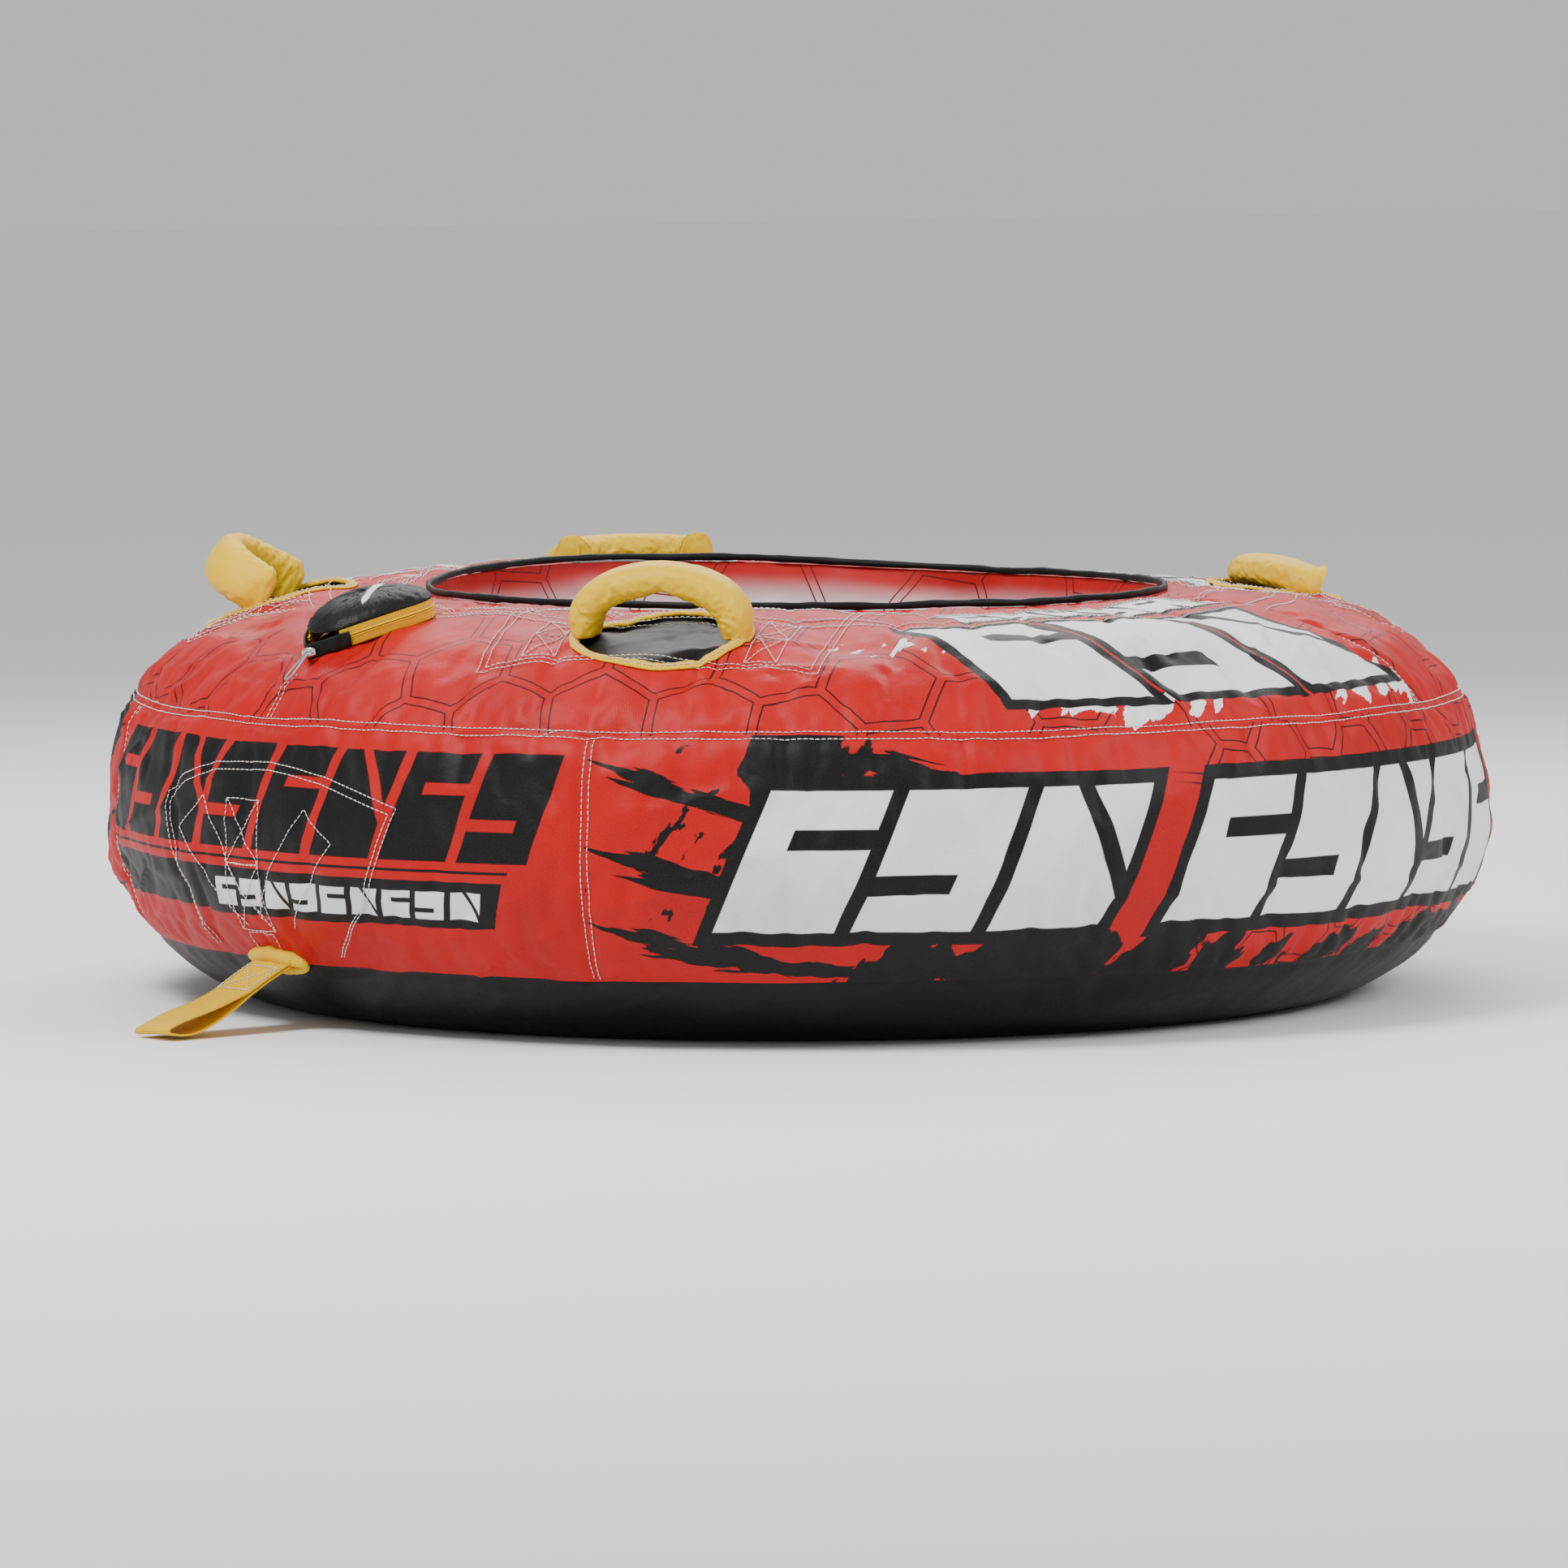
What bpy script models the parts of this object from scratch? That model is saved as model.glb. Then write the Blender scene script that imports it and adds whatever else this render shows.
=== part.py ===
"""Towable inflatable tube: bladder, sewn cover, four handles, tow loop and zipped valve hatch.

Metres, +Z up. The origin is on the ground under the middle of the whole length, and the tow loop points
to -Y. Everything is built about the middle of the rider well, and moved along Y at the end. Plan angles
run from -Y towards +X. Depths are measured inward from the outside of the cover.
"""

import math

import bmesh
import bpy
from mathutils import Matrix, Vector

# Inflated tube
TUBE_RADIUS = 0.6105
TUBE_HEIGHT = 0.352
BELT_HEIGHT = 0.148
WELL_RADIUS = 0.3285
SHOULDER_POWER = 2.7
HEEL_POWER = 1.67
CONTACT_OUTER = 0.4724
CONTACT_INNER = 0.400
SHOULDER_SEAM_HEIGHT = 0.264
HEEL_SEAM_HEIGHT = 0.058
WELL_FOOT_RADIUS = 0.345
WELL_FOOT_HEIGHT = 0.045
WELL_BULGE = 0.034
LIFT = 0.012
LIFT_ANGLE = -95.0
LIFT_HALF_WIDTH = 75.0

# How finely the turned shapes are faceted
RING_STEPS = 48
TOP_STEPS = 6
SIDE_STEPS = 4
BOTTOM_HEEL_STEPS = 2
BOTTOM_TURN_STEPS = 2
WELL_STEPS = 4

# Cover layers, from the outside in
PANEL_THICKNESS = 0.0010
WEB_THICKNESS = 0.0010
BACKING_THICKNESS = 0.0008
BLADDER_WALL = 0.0010
LAYER_GAP = 0.0004
SEAM_GAP = 0.0005
WEB_DEPTH = PANEL_THICKNESS + LAYER_GAP
BACKING_DEPTH = WEB_DEPTH + WEB_THICKNESS + LAYER_GAP
BLADDER_DEPTH = BACKING_DEPTH + BACKING_THICKNESS + LAYER_GAP
SURFACE_GAP = 0.0006

# Panel seams, in degrees of plan angle
TOP_SEAMS = (0.0, 117.0, 240.0)
TOW_PANEL_SEAMS = (-28.0, 33.6)
SIDE_REAR_SEAM = 180.0

# Well edge and floor
WELL_BINDING_RADIUS = 0.0030
WELL_BINDING_OFFSET = 0.0048
FLOOR_THICKNESS = 0.0010
FLOOR_FLAT_RADIUS = 0.260
FLOOR_HEIGHT = 0.008
DRAIN_HOLE_RADIUS = 0.030
DRAIN_RIM_RADIUS = 0.042
DRAIN_RIM_HEIGHT = 0.004
DRAIN_CLEARANCE = 0.0006
DRAIN_MESH_THICKNESS = 0.0012
DRAIN_MESH_PITCH = 0.0125
DRAIN_MESH_OPENING = 0.0085

# Handles: name, plan angle, lean outward from the surface normal, height of the arch, twist share at the top
HANDLES = (
    ("front_left", 36.5, -5.0, 0.060, 1.0),
    ("front_right", -47.5, 47.0, 0.074, 1.0),
    ("rear_right", -110.5, 70.0, 0.052, 0.1),
    ("rear_left", 160.0, -76.0, 0.046, 0.1),
)
HANDLE_RADIUS = 0.4675
HANDLE_AXIS_HEIGHT = 0.010
GRIP_SPAN = 0.157
GRIP_WIDTH = 0.045
GRIP_THICKNESS = 0.028
GRIP_ROOT_HALF_WIDTH = 0.009
GRIP_ROOT_TAPER = 0.42
GRIP_CHANNEL_MARGIN = 0.0035
GRIP_WEB_THICKNESS = 0.0020
GRIP_WEB_CLEARANCE = 0.0005
GRIP_STEPS = 13
GRIP_END_ANGLE = 7.0
OPENING_SPAN = 0.143
OPENING_LENGTH = 0.128
OPENING_SIDES = 24
OPENING_BINDING_WIDTH = 0.007
OPENING_BINDING_HEIGHT = 0.0018
TAB_LENGTH = 0.047
TAB_WIDTH = 0.100
TAB_START = 0.065
PATCH_HALF_SPAN = 0.151
PATCH_INWARD = 0.118
PATCH_OUTWARD = 0.062

# Tow point
SLIT_WIDTH = 0.060
SLIT_HEIGHT = 0.007
TOW_WEB_WIDTH = 0.050
TOW_WEB_THICKNESS = 0.0022
TOW_SEWN_GAP = 0.0005
TOW_LOOP_GAP = 0.0110
TOW_SEWN_SHARE = 0.42
TOW_STEPS = 16
TOW_ROUTE = (
    (0.5790, 0.0560), (0.5990, 0.0462), (0.6290, 0.0300),
    (0.6560, 0.0178), (0.6800, 0.0104), (0.7020, 0.0074),
)
TOW_TIP_HALF_GAP = 0.0024
CUFF_SPAN = 0.086
CUFF_DROP = 0.020
CUFF_THICKNESS = 0.0022
TOW_PATCH_BOTTOM_HALF = 0.095
TOW_PATCH_TOP_HALF = 0.150
TOW_PATCH_CORNER_HEIGHT = 0.197
TOW_PATCH_CROWN_HEIGHT = 0.229
TOW_PATCH_FOOT_HEIGHT = 0.070
TOW_STRIP_HALF_WIDTH = 0.023
TOW_STRIP_TOP = 0.200
TOW_STRIP_FOOT = 0.076
FAN_STRIP_SPREAD = 0.075
FAN_STRIP_TOP = 0.184
FAN_STRIP_GAP = 0.0015
FAN_STRIP_LEAN = 35.0

# Valve hatch
HATCH_RADIUS = 0.476
HATCH_HALF_WIDTH = 0.045
HATCH_TIP_REACH = 0.081
HATCH_ROUND_OFFSET = 0.018
TAPE_THICKNESS = 0.0012
TAPE_HEIGHT = 0.0070
COIL_GAP = 0.0024
TAPE_END_ANGLE = 41.0
GARAGE_START_ANGLE = 35.5
GARAGE_TIP_GAP_ANGLE = 1.5
GARAGE_THICKNESS = 0.0022
GARAGE_CLEARANCE = 0.0016
GARAGE_HEIGHT = 0.0135
DOME_RISE = 0.014
DOME_THICKNESS = 0.0016
DOME_END_REACH = 0.052
FLAP_AXIS_OFFSET = 0.0025
SLIDER_LENGTH = 0.012
SLIDER_WIDTH = 0.0085
SLIDER_THICKNESS = 0.0042
SLIDER_CLEARANCE = 0.0007
SLIDER_PARK_ANGLE = 57.0
PULL_LENGTH = 0.032
PULL_WIDTH = 0.009
PULL_THICKNESS = 0.0014
PULL_DROOP = 44.0

# Valve
VALVE_SIDES = 20
VALVE_HOLE_RADIUS = 0.022
VALVE_NECK_RADIUS = 0.0205
VALVE_FLANGE_RADIUS = 0.029
VALVE_FLANGE_THICKNESS = 0.0012
VALVE_NECK_WALL = 0.0020
VALVE_NECK_DEPTH = 0.012
VALVE_CLEARANCE = 0.0004
VALVE_BODY_WALL = 0.0030
VALVE_COLLAR_HEIGHT = 0.0030
VALVE_DISC_THICKNESS = 0.0010
CAP_RADIUS = 0.0225
CAP_HEIGHT = 0.0070
CAP_PLUG_DEPTH = 0.0040
CAP_GRIP_HEIGHT = 0.0035
CAP_GRIP_WIDTH = 0.0060
TETHER_WIDTH = 0.006
TETHER_THICKNESS = 0.0012
TETHER_LENGTH = 0.013

RED = (0.78, 0.02, 0.02)
BLACK = (0.012, 0.012, 0.013)
YELLOW = (0.90, 0.62, 0.01)
WHITE = (0.80, 0.80, 0.82)
STEEL = (0.60, 0.60, 0.62)
GREY = (0.22, 0.22, 0.23)
VINYL = (0.10, 0.12, 0.16)

AXIS_Z = Vector((0.0, 0.0, 1.0))


# ---------------------------------------------------------------- scene and meshes

def clear_scene():
    for item in list(bpy.data.objects):
        bpy.data.objects.remove(item, do_unlink=True)


def material(name, colour, roughness=0.6, metallic=0.0):
    made = bpy.data.materials.get(name)
    if made:
        return made
    made = bpy.data.materials.new(name)
    made.use_nodes = True
    shader = made.node_tree.nodes["Principled BSDF"]
    shader.inputs["Base Color"].default_value = (*colour, 1.0)
    shader.inputs["Roughness"].default_value = roughness
    shader.inputs["Metallic"].default_value = metallic
    return made


def add_object(name, vertices, faces, finish, smooth=True):
    mesh = bpy.data.meshes.new(name)
    mesh.from_pydata([tuple(point) for point in vertices], [], faces)
    work = bmesh.new()
    work.from_mesh(mesh)
    bmesh.ops.recalc_face_normals(work, faces=work.faces)
    if work.calc_volume(signed=True) < 0.0:
        bmesh.ops.reverse_faces(work, faces=work.faces)
    work.to_mesh(mesh)
    work.free()
    if smooth:
        mesh.shade_smooth()
        mesh.set_sharp_from_angle(angle=math.radians(32.0))
    item = bpy.data.objects.new(name, mesh)
    bpy.context.scene.collection.objects.link(item)
    if finish:
        mesh.materials.append(material(*finish))
    return item


def loft(rings, ends_closed=True, round_trip=False, split=False):
    """Vertices and faces through equal rings; round_trip joins the last ring to the first."""
    count = len(rings[0])
    vertices = [point for ring in rings for point in ring]
    faces = []
    spans = len(rings) if round_trip else len(rings) - 1
    for row in range(spans):
        here, there = row * count, ((row + 1) % len(rings)) * count
        for side in range(count):
            step = (side + 1) % count
            if split:
                faces.append((here + side, here + step, there + step))
                faces.append((here + side, there + step, there + side))
            else:
                faces.append((here + side, here + step, there + step, there + side))
    if ends_closed and not round_trip:
        faces.append(tuple(range(count)))
        faces.append(tuple(range((len(rings) - 1) * count, len(rings) * count)))
    return vertices, faces


def sleeve(outer, inner):
    """A tube whose outer rings have a whole multiple of the inner rings' points."""
    outer_vertices, outer_faces = loft(outer, ends_closed=False)
    inner_vertices, inner_faces = loft(inner, ends_closed=False, split=True)
    start = len(outer_vertices)
    vertices = outer_vertices + inner_vertices
    faces = outer_faces + [tuple(start + index for index in reversed(face)) for face in inner_faces]
    per_outer, per_inner = len(outer[0]), len(inner[0])
    for row in (0, len(outer) - 1):
        base, inside = row * per_outer, start + row * per_inner
        for side in range(per_outer):
            step = (side + 1) % per_outer
            here = side * per_inner // per_outer
            there = step * per_inner // per_outer
            if here == there:
                faces.append((base + side, base + step, inside + here))
            else:
                faces.append((base + side, base + step, inside + there, inside + here))
    return vertices, faces


def plate(top, bottom):
    """A closed plate between two outlines with the same number of points."""
    return loft([top, bottom])


def set_origin(item, point):
    """Moves an object's origin to a point and leaves its shape where it is."""
    item.data.transform(Matrix.Translation(-point))
    item.location = point


def cut_with(target, cutter, operation="DIFFERENCE"):
    change = target.modifiers.new(cutter.name, "BOOLEAN")
    change.operation = operation
    change.solver = "EXACT"
    change.object = cutter
    cutter.hide_render = True
    cutter.display_type = "WIRE"


# ---------------------------------------------------------------- tube profile

def quarter(centre, reach, power, start, end, steps):
    """Points on a superellipse quarter; angles in degrees from the horizontal."""
    points = []
    for step in range(steps + 1):
        angle = math.radians(start + (end - start) * step / steps)
        across, up = math.cos(angle), math.sin(angle)
        points.append((
            centre[0] + reach[0] * math.copysign(abs(across) ** (2.0 / power), across),
            centre[1] + reach[1] * math.copysign(abs(up) ** (2.0 / power), up),
        ))
    return points


def resample(points, steps):
    """The same outline with points at equal distances along it."""
    lengths = [0.0]
    for here, there in zip(points, points[1:]):
        lengths.append(lengths[-1] + math.dist(here, there))
    result, row = [], 0
    for step in range(steps + 1):
        target = lengths[-1] * step / steps
        while row < len(points) - 2 and lengths[row + 1] < target:
            row += 1
        share = (target - lengths[row]) / (lengths[row + 1] - lengths[row])
        here, there = points[row], points[row + 1]
        result.append(tuple(a + (b - a) * share for a, b in zip(here, there)))
    return result


def seam_split(points, height):
    """Splits a falling outline where it crosses a height."""
    for row in range(1, len(points)):
        above, below = points[row - 1], points[row]
        if below[1] <= height:
            share = (above[1] - height) / (above[1] - below[1])
            seam = (above[0] + (below[0] - above[0]) * share, height)
            return points[:row] + [seam], [seam] + points[row:]
    return points, [points[-1]]


def smooth_runs():
    """The four fine outlines of the cover: top, side, bottom and well wall, in order round the section."""
    crown = (WELL_RADIUS, TUBE_HEIGHT)
    shoulder = quarter(crown_centre(), (TUBE_RADIUS - WELL_RADIUS, TUBE_HEIGHT - BELT_HEIGHT),
                       SHOULDER_POWER, 90.0, 0.0, 240)
    heel = quarter((CONTACT_OUTER, BELT_HEIGHT), (TUBE_RADIUS - CONTACT_OUTER, BELT_HEIGHT),
                   HEEL_POWER, 0.0, -90.0, 240)
    top, upper_side = seam_split(shoulder, SHOULDER_SEAM_HEIGHT)
    lower_side, bottom = seam_split(heel, HEEL_SEAM_HEIGHT)
    turn = quarter((CONTACT_INNER, WELL_FOOT_HEIGHT), (CONTACT_INNER - WELL_FOOT_RADIUS, WELL_FOOT_HEIGHT),
                   2.0, 270.0, 180.0, 24)
    foot = turn[-1]
    wall = []
    for step in range(33):
        share = step / 32
        bulge = WELL_BULGE * math.sin(math.pi * share)
        wall.append((foot[0] + (crown[0] - foot[0]) * share - bulge, foot[1] + (crown[1] - foot[1]) * share))
    return top, upper_side[:-1] + lower_side, bottom, turn, wall


def crown_centre():
    return (WELL_RADIUS, BELT_HEIGHT)


def coarse_loop():
    """The faceted section, closed, with the index where each panel starts."""
    top, side, bottom, turn, wall = smooth_runs()
    runs = (
        resample(top, TOP_STEPS),
        resample(side, SIDE_STEPS),
        resample(bottom, BOTTOM_HEEL_STEPS) + resample(turn, BOTTOM_TURN_STEPS),
        resample(wall, WELL_STEPS),
    )
    loop, starts = [], []
    for run in runs:
        starts.append(len(loop))
        loop.extend(run[:-1])
    return loop, starts


def inset_loop(loop, depth):
    """The closed section moved inward by a depth, with mitred corners."""
    result = []
    for row, here in enumerate(loop):
        before = Vector(here) - Vector(loop[row - 1])
        after = Vector(loop[(row + 1) % len(loop)]) - Vector(here)
        first = Vector((-before.y, before.x)).normalized()
        second = Vector((-after.y, after.x)).normalized()
        outward = (first + second).normalized()
        result.append(tuple(Vector(here) - outward * (depth / outward.dot(first))))
    return result


LOOP, STARTS = coarse_loop()
TOP_OUTLINE = smooth_runs()[0]


def panel_run(panel, depth, gap=SEAM_GAP):
    """One panel's points (0 top, 1 side, 2 bottom, 3 well wall) at a depth, trimmed at its two seams."""
    moved = inset_loop(LOOP, depth)
    first = STARTS[panel]
    last = STARTS[panel + 1] if panel < 3 else len(LOOP)
    points = [Vector(moved[index % len(moved)]) for index in range(first, last + 1)]
    points[0] += (points[1] - points[0]).normalized() * gap * 0.5
    points[-1] += (points[-2] - points[-1]).normalized() * gap * 0.5
    return points


def lift_at(x, y, z):
    """The tube stands a little prouder at its right rear quarter."""
    plan = math.degrees(math.atan2(x, -y))
    away = abs((plan - LIFT_ANGLE + 180.0) % 360.0 - 180.0)
    if away >= LIFT_HALF_WIDTH:
        return 0.0
    share = 0.5 + 0.5 * math.cos(math.pi * away / LIFT_HALF_WIDTH)
    return LIFT * share * max(0.0, z / TUBE_HEIGHT) ** 2


def lifted(point):
    return Vector((point.x, point.y, point.z + lift_at(point.x, point.y, point.z)))


def faceted(radius, height, plan):
    """A point on the faceted ring through (radius, height) at a plan angle in degrees."""
    cell = 360.0 / RING_STEPS
    middle = (math.floor(plan / cell + 1e-9) + 0.5) * cell
    reach = radius * math.cos(math.radians(cell * 0.5)) / math.cos(math.radians(plan - middle))
    turn = math.radians(plan)
    return lifted(Vector((reach * math.sin(turn), -reach * math.cos(turn), height)))


def plan_angles(start, end):
    """The plan angles of a stretch: its two ends and every facet edge between them."""
    cell = 360.0 / RING_STEPS
    inside = [index * cell for index in range(math.floor(start / cell), math.ceil(end / cell) + 1)]
    return [start] + [angle for angle in inside if start + 0.05 < angle < end - 0.05] + [end]


def shell(name, outer, inner, finish, start=None, end=None):
    """A thin wall between two outlines, turned all the way or between two plan angles."""
    whole = start is None
    if whole:
        angles = [index * 360.0 / RING_STEPS for index in range(RING_STEPS)]
    else:
        angles = plan_angles(start, end)
    outline = list(outer) + list(reversed(inner))
    rings = [[faceted(point[0], point[1], angle) for point in outline] for angle in angles]
    vertices, faces = loft(rings, ends_closed=False, round_trip=whole)
    if not whole:
        half = len(outer)
        for base in (0, (len(rings) - 1) * len(outline)):
            for row in range(half - 1):
                mirror = len(outline) - 1 - row
                faces.append((base + row, base + row + 1, base + mirror - 1, base + mirror))
    return add_object(name, vertices, faces, finish)


def layer(name, panel, depth, thickness, finish, start=None, end=None, gap=SEAM_GAP):
    outer, inner = panel_run(panel, depth, gap), panel_run(panel, depth + thickness, gap)
    return shell(name, outer, inner, finish, start, end)


# ---------------------------------------------------------------- places on the cover

def cover_height(x, y):
    """Height of the smooth top of the cover over a point."""
    radius = math.hypot(x, y)
    share = min(1.0, max(0.0, (radius - WELL_RADIUS) / (TUBE_RADIUS - WELL_RADIUS)))
    up = (1.0 - share ** SHOULDER_POWER) ** (1.0 / SHOULDER_POWER)
    height = BELT_HEIGHT + (TUBE_HEIGHT - BELT_HEIGHT) * up
    return height + lift_at(x, y, height)


def surface_frame(plan, radius):
    """Axes on the top of the cover: X along the ring, Y down the slope outward, Z the surface normal.

    The three axes are left-handed, so add_object turns each shape's faces out again.
    """
    angle = math.radians(plan)
    outward = Vector((math.sin(angle), -math.cos(angle), 0.0))
    along = Vector((math.cos(angle), math.sin(angle), 0.0))
    origin = outward * radius
    origin.z = cover_height(origin.x, origin.y)
    step = 0.001
    rise = cover_height(*(outward * (radius + step)).xy) - cover_height(*(outward * (radius - step)).xy)
    down = (outward * (2.0 * step) + AXIS_Z * rise).normalized()
    normal = down.cross(along)
    columns = Matrix((along, down, normal)).transposed().to_4x4()
    return Matrix.Translation(origin) @ columns


def on_cover(frame, across, down, height):
    """A point at a height over the smooth cover, found straight above or below a place in a frame."""
    point = frame @ Vector((across, down, 0.0))
    normal = frame.to_3x3() @ AXIS_Z
    for _ in range(4):
        point += normal * (cover_height(point.x, point.y) - point.z) / normal.z
    return point + normal * height


def prism(name, frame, outline, low, high):
    """A straight cutter over an outline in a frame."""
    top = [frame @ Vector((u, v, high)) for u, v in outline]
    bottom = [frame @ Vector((u, v, low)) for u, v in outline]
    return add_object(name, *plate(top, bottom), None, smooth=False)


def rectangle(low_u, high_u, low_v, high_v):
    return [(low_u, low_v), (high_u, low_v), (high_u, high_v), (low_u, high_v)]


def oval(half_u, half_v, sides):
    turns = [2.0 * math.pi * side / sides for side in range(sides)]
    return [(half_u * math.cos(turn), half_v * math.sin(turn)) for turn in turns]


# ---------------------------------------------------------------- tube

def build_bladder():
    outer = inset_loop(LOOP, BLADDER_DEPTH)
    inner = inset_loop(LOOP, BLADDER_DEPTH + BLADDER_WALL)
    angles = [index * 360.0 / RING_STEPS for index in range(RING_STEPS)]
    skins = []
    for loop in (outer, inner):
        rings = [[faceted(point[0], point[1], angle) for point in loop] for angle in angles]
        skins.append(loft(rings, ends_closed=False, round_trip=True))
    (vertices, faces), (inner_vertices, inner_faces) = skins
    bladder = bpy.data.objects.new("bladder", bpy.data.meshes.new("bladder"))
    bpy.context.scene.collection.objects.link(bladder)
    work = bmesh.new()
    for points, sides, inward in ((vertices, faces, False), (inner_vertices, inner_faces, True)):
        made = [work.verts.new(point) for point in points]
        added = [work.faces.new([made[index] for index in side]) for side in sides]
        bmesh.ops.recalc_face_normals(work, faces=added)
        if inward:
            bmesh.ops.reverse_faces(work, faces=added)
    work.to_mesh(bladder.data)
    work.free()
    bladder.data.materials.append(material("vinyl", VINYL, 0.45))
    hatch = surface_frame(0.0, HATCH_RADIUS)
    cut_with(bladder, prism("bladder_hole", hatch, oval(VALVE_HOLE_RADIUS, VALVE_HOLE_RADIUS, VALVE_SIDES),
                            -0.016, 0.004))


def build_cover():
    red, black = ("red_fabric", RED), ("black_fabric", BLACK)
    tops = []
    for index, start in enumerate(TOP_SEAMS):
        end = TOP_SEAMS[index + 1] if index < 2 else 360.0
        gap = math.degrees(SEAM_GAP * 0.5 / WELL_RADIUS)
        tops.append(layer(f"top_panel_{'left rear right'.split()[index]}", 0, 0.0, PANEL_THICKNESS, red,
                          start + gap, end - gap))
    gap = math.degrees(SEAM_GAP * 0.5 / TUBE_RADIUS)
    right, left = TOW_PANEL_SEAMS
    tow_side = layer("side_panel_tow", 1, 0.0, PANEL_THICKNESS, red, right + gap, left - gap)
    layer("side_panel_left", 1, 0.0, PANEL_THICKNESS, red, left + gap, SIDE_REAR_SEAM - gap)
    layer("side_panel_right", 1, 0.0, PANEL_THICKNESS, red, SIDE_REAR_SEAM + gap, 360.0 + right - gap)
    layer("bottom_panel", 2, 0.0, PANEL_THICKNESS, black)
    layer("well_wall_panel", 3, 0.0, PANEL_THICKNESS, ("white_fabric", WHITE))
    return tops, tow_side


def build_well_binding():
    rings = []
    for index in range(RING_STEPS):
        plan = index * 360.0 / RING_STEPS
        ring = []
        for side in range(6):
            angle = math.radians(60.0 * side)
            radius = WELL_RADIUS - WELL_BINDING_OFFSET * 0.45 + WELL_BINDING_RADIUS * math.cos(angle)
            height = TUBE_HEIGHT + WELL_BINDING_OFFSET * 0.89 + WELL_BINDING_RADIUS * math.sin(angle)
            ring.append(faceted(radius, height, plan))
        rings.append(ring)
    vertices, faces = loft(rings, ends_closed=False, round_trip=True)
    add_object("well_binding", vertices, faces, ("black_fabric", BLACK))


def lathe(name, outline, frame, finish, sides=VALVE_SIDES):
    """A closed outline of (radius, height) points turned about a frame's Z axis."""
    rings = []
    for index in range(sides):
        angle = 2.0 * math.pi * index / sides
        rings.append([frame @ Vector((r * math.cos(angle), r * math.sin(angle), z)) for r, z in outline])
    vertices, faces = loft(rings, ends_closed=False, round_trip=True)
    return add_object(name, vertices, faces, finish)


def solid_disc(name, outline, frame, finish, sides=VALVE_SIDES):
    """A solid turned about a frame's Z axis; its outline runs from bottom to top beside the axis."""
    rings = [[frame @ Vector((u, v, z)) for u, v in oval(r, r, sides)] for r, z in outline]
    vertices, faces = loft(rings)
    return add_object(name, vertices, faces, finish)


def build_floor():
    rim = Vector(inset_loop(LOOP, 0.0)[STARTS[3]])
    edge = rim + Vector((-SEAM_GAP - 0.0006, -0.0012))
    outline = [(DRAIN_HOLE_RADIUS, FLOOR_HEIGHT), (FLOOR_FLAT_RADIUS, FLOOR_HEIGHT), tuple(edge)]
    upper = [(r, z + FLOOR_THICKNESS) for r, z in outline]
    shell("floor_panel", upper, outline, ("black_fabric", BLACK))
    flat = Matrix.Identity(4)
    low = FLOOR_HEIGHT - DRAIN_CLEARANCE - DRAIN_RIM_HEIGHT
    top = FLOOR_HEIGHT + FLOOR_THICKNESS + DRAIN_CLEARANCE
    bore = DRAIN_HOLE_RADIUS - DRAIN_CLEARANCE * 2.0
    mouth = bore - 0.004
    lathe("drain_rim", [
        (mouth, low), (DRAIN_RIM_RADIUS, low), (DRAIN_RIM_RADIUS, FLOOR_HEIGHT - DRAIN_CLEARANCE),
        (bore, FLOOR_HEIGHT - DRAIN_CLEARANCE), (bore, top), (DRAIN_RIM_RADIUS, top),
        (DRAIN_RIM_RADIUS, top + DRAIN_RIM_HEIGHT * 0.5), (mouth, top + DRAIN_RIM_HEIGHT * 0.5),
    ], flat, ("moulded_grey", GREY), 24)
    build_drain_mesh(mouth - DRAIN_CLEARANCE, low + 0.001)


def build_drain_mesh(radius, height):
    """A thin perforated disc: a round plate with square openings."""
    flat = Matrix.Translation((0.0, 0.0, height))
    plate_item = solid_disc("drain_mesh", [(radius, 0.0), (radius, DRAIN_MESH_THICKNESS)], flat,
                            ("moulded_grey", GREY), 24)
    half = DRAIN_MESH_OPENING * 0.5
    for row in range(-1, 2):
        for column in range(-1, 2):
            centre_x, centre_y = column * DRAIN_MESH_PITCH, row * DRAIN_MESH_PITCH
            hole = rectangle(centre_x - half, centre_x + half, centre_y - half, centre_y + half)
            cutter = prism(f"drain_hole_{row + 1}{column + 1}", flat, hole, -0.002, 0.004)
            cut_with(plate_item, cutter)


# ---------------------------------------------------------------- handles

def grip_path(frame, lean, height, twist):
    """Centres, half widths and axes along a grip's arch, from one root to the other."""
    rise = height - GRIP_THICKNESS * 0.5 - HANDLE_AXIS_HEIGHT
    half_span = (GRIP_SPAN - GRIP_THICKNESS) * 0.5
    tilt = math.radians(lean)
    up = Vector((0.0, math.sin(tilt), math.cos(tilt)))
    base = Vector((0.0, 0.0, HANDLE_AXIS_HEIGHT))
    turned = frame.to_3x3()
    stations = []
    for step in range(GRIP_STEPS):
        angle = math.radians(GRIP_END_ANGLE + (180.0 - 2.0 * GRIP_END_ANGLE) * step / (GRIP_STEPS - 1))
        lateral, climb = math.cos(angle), math.sin(angle)
        centre = base + Vector((half_span * lateral, 0.0, 0.0)) + up * rise * climb
        tangent = Vector((-half_span * climb, 0.0, 0.0)) + up * rise * lateral
        tangent.normalize()
        turn = tilt * twist * climb
        width_axis = Vector((0.0, math.cos(turn), -math.sin(turn)))
        width_axis = (width_axis - tangent * width_axis.dot(tangent)).normalized()
        thick_axis = tangent.cross(width_axis).normalized()
        if thick_axis.dot(centre - base) < 0.0:
            thick_axis = -thick_axis
        half_width = min(GRIP_WIDTH * 0.5, GRIP_ROOT_HALF_WIDTH + GRIP_ROOT_TAPER * rise * climb)
        stations.append((frame @ centre, turned @ width_axis, turned @ thick_axis, half_width))
    return stations


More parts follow.
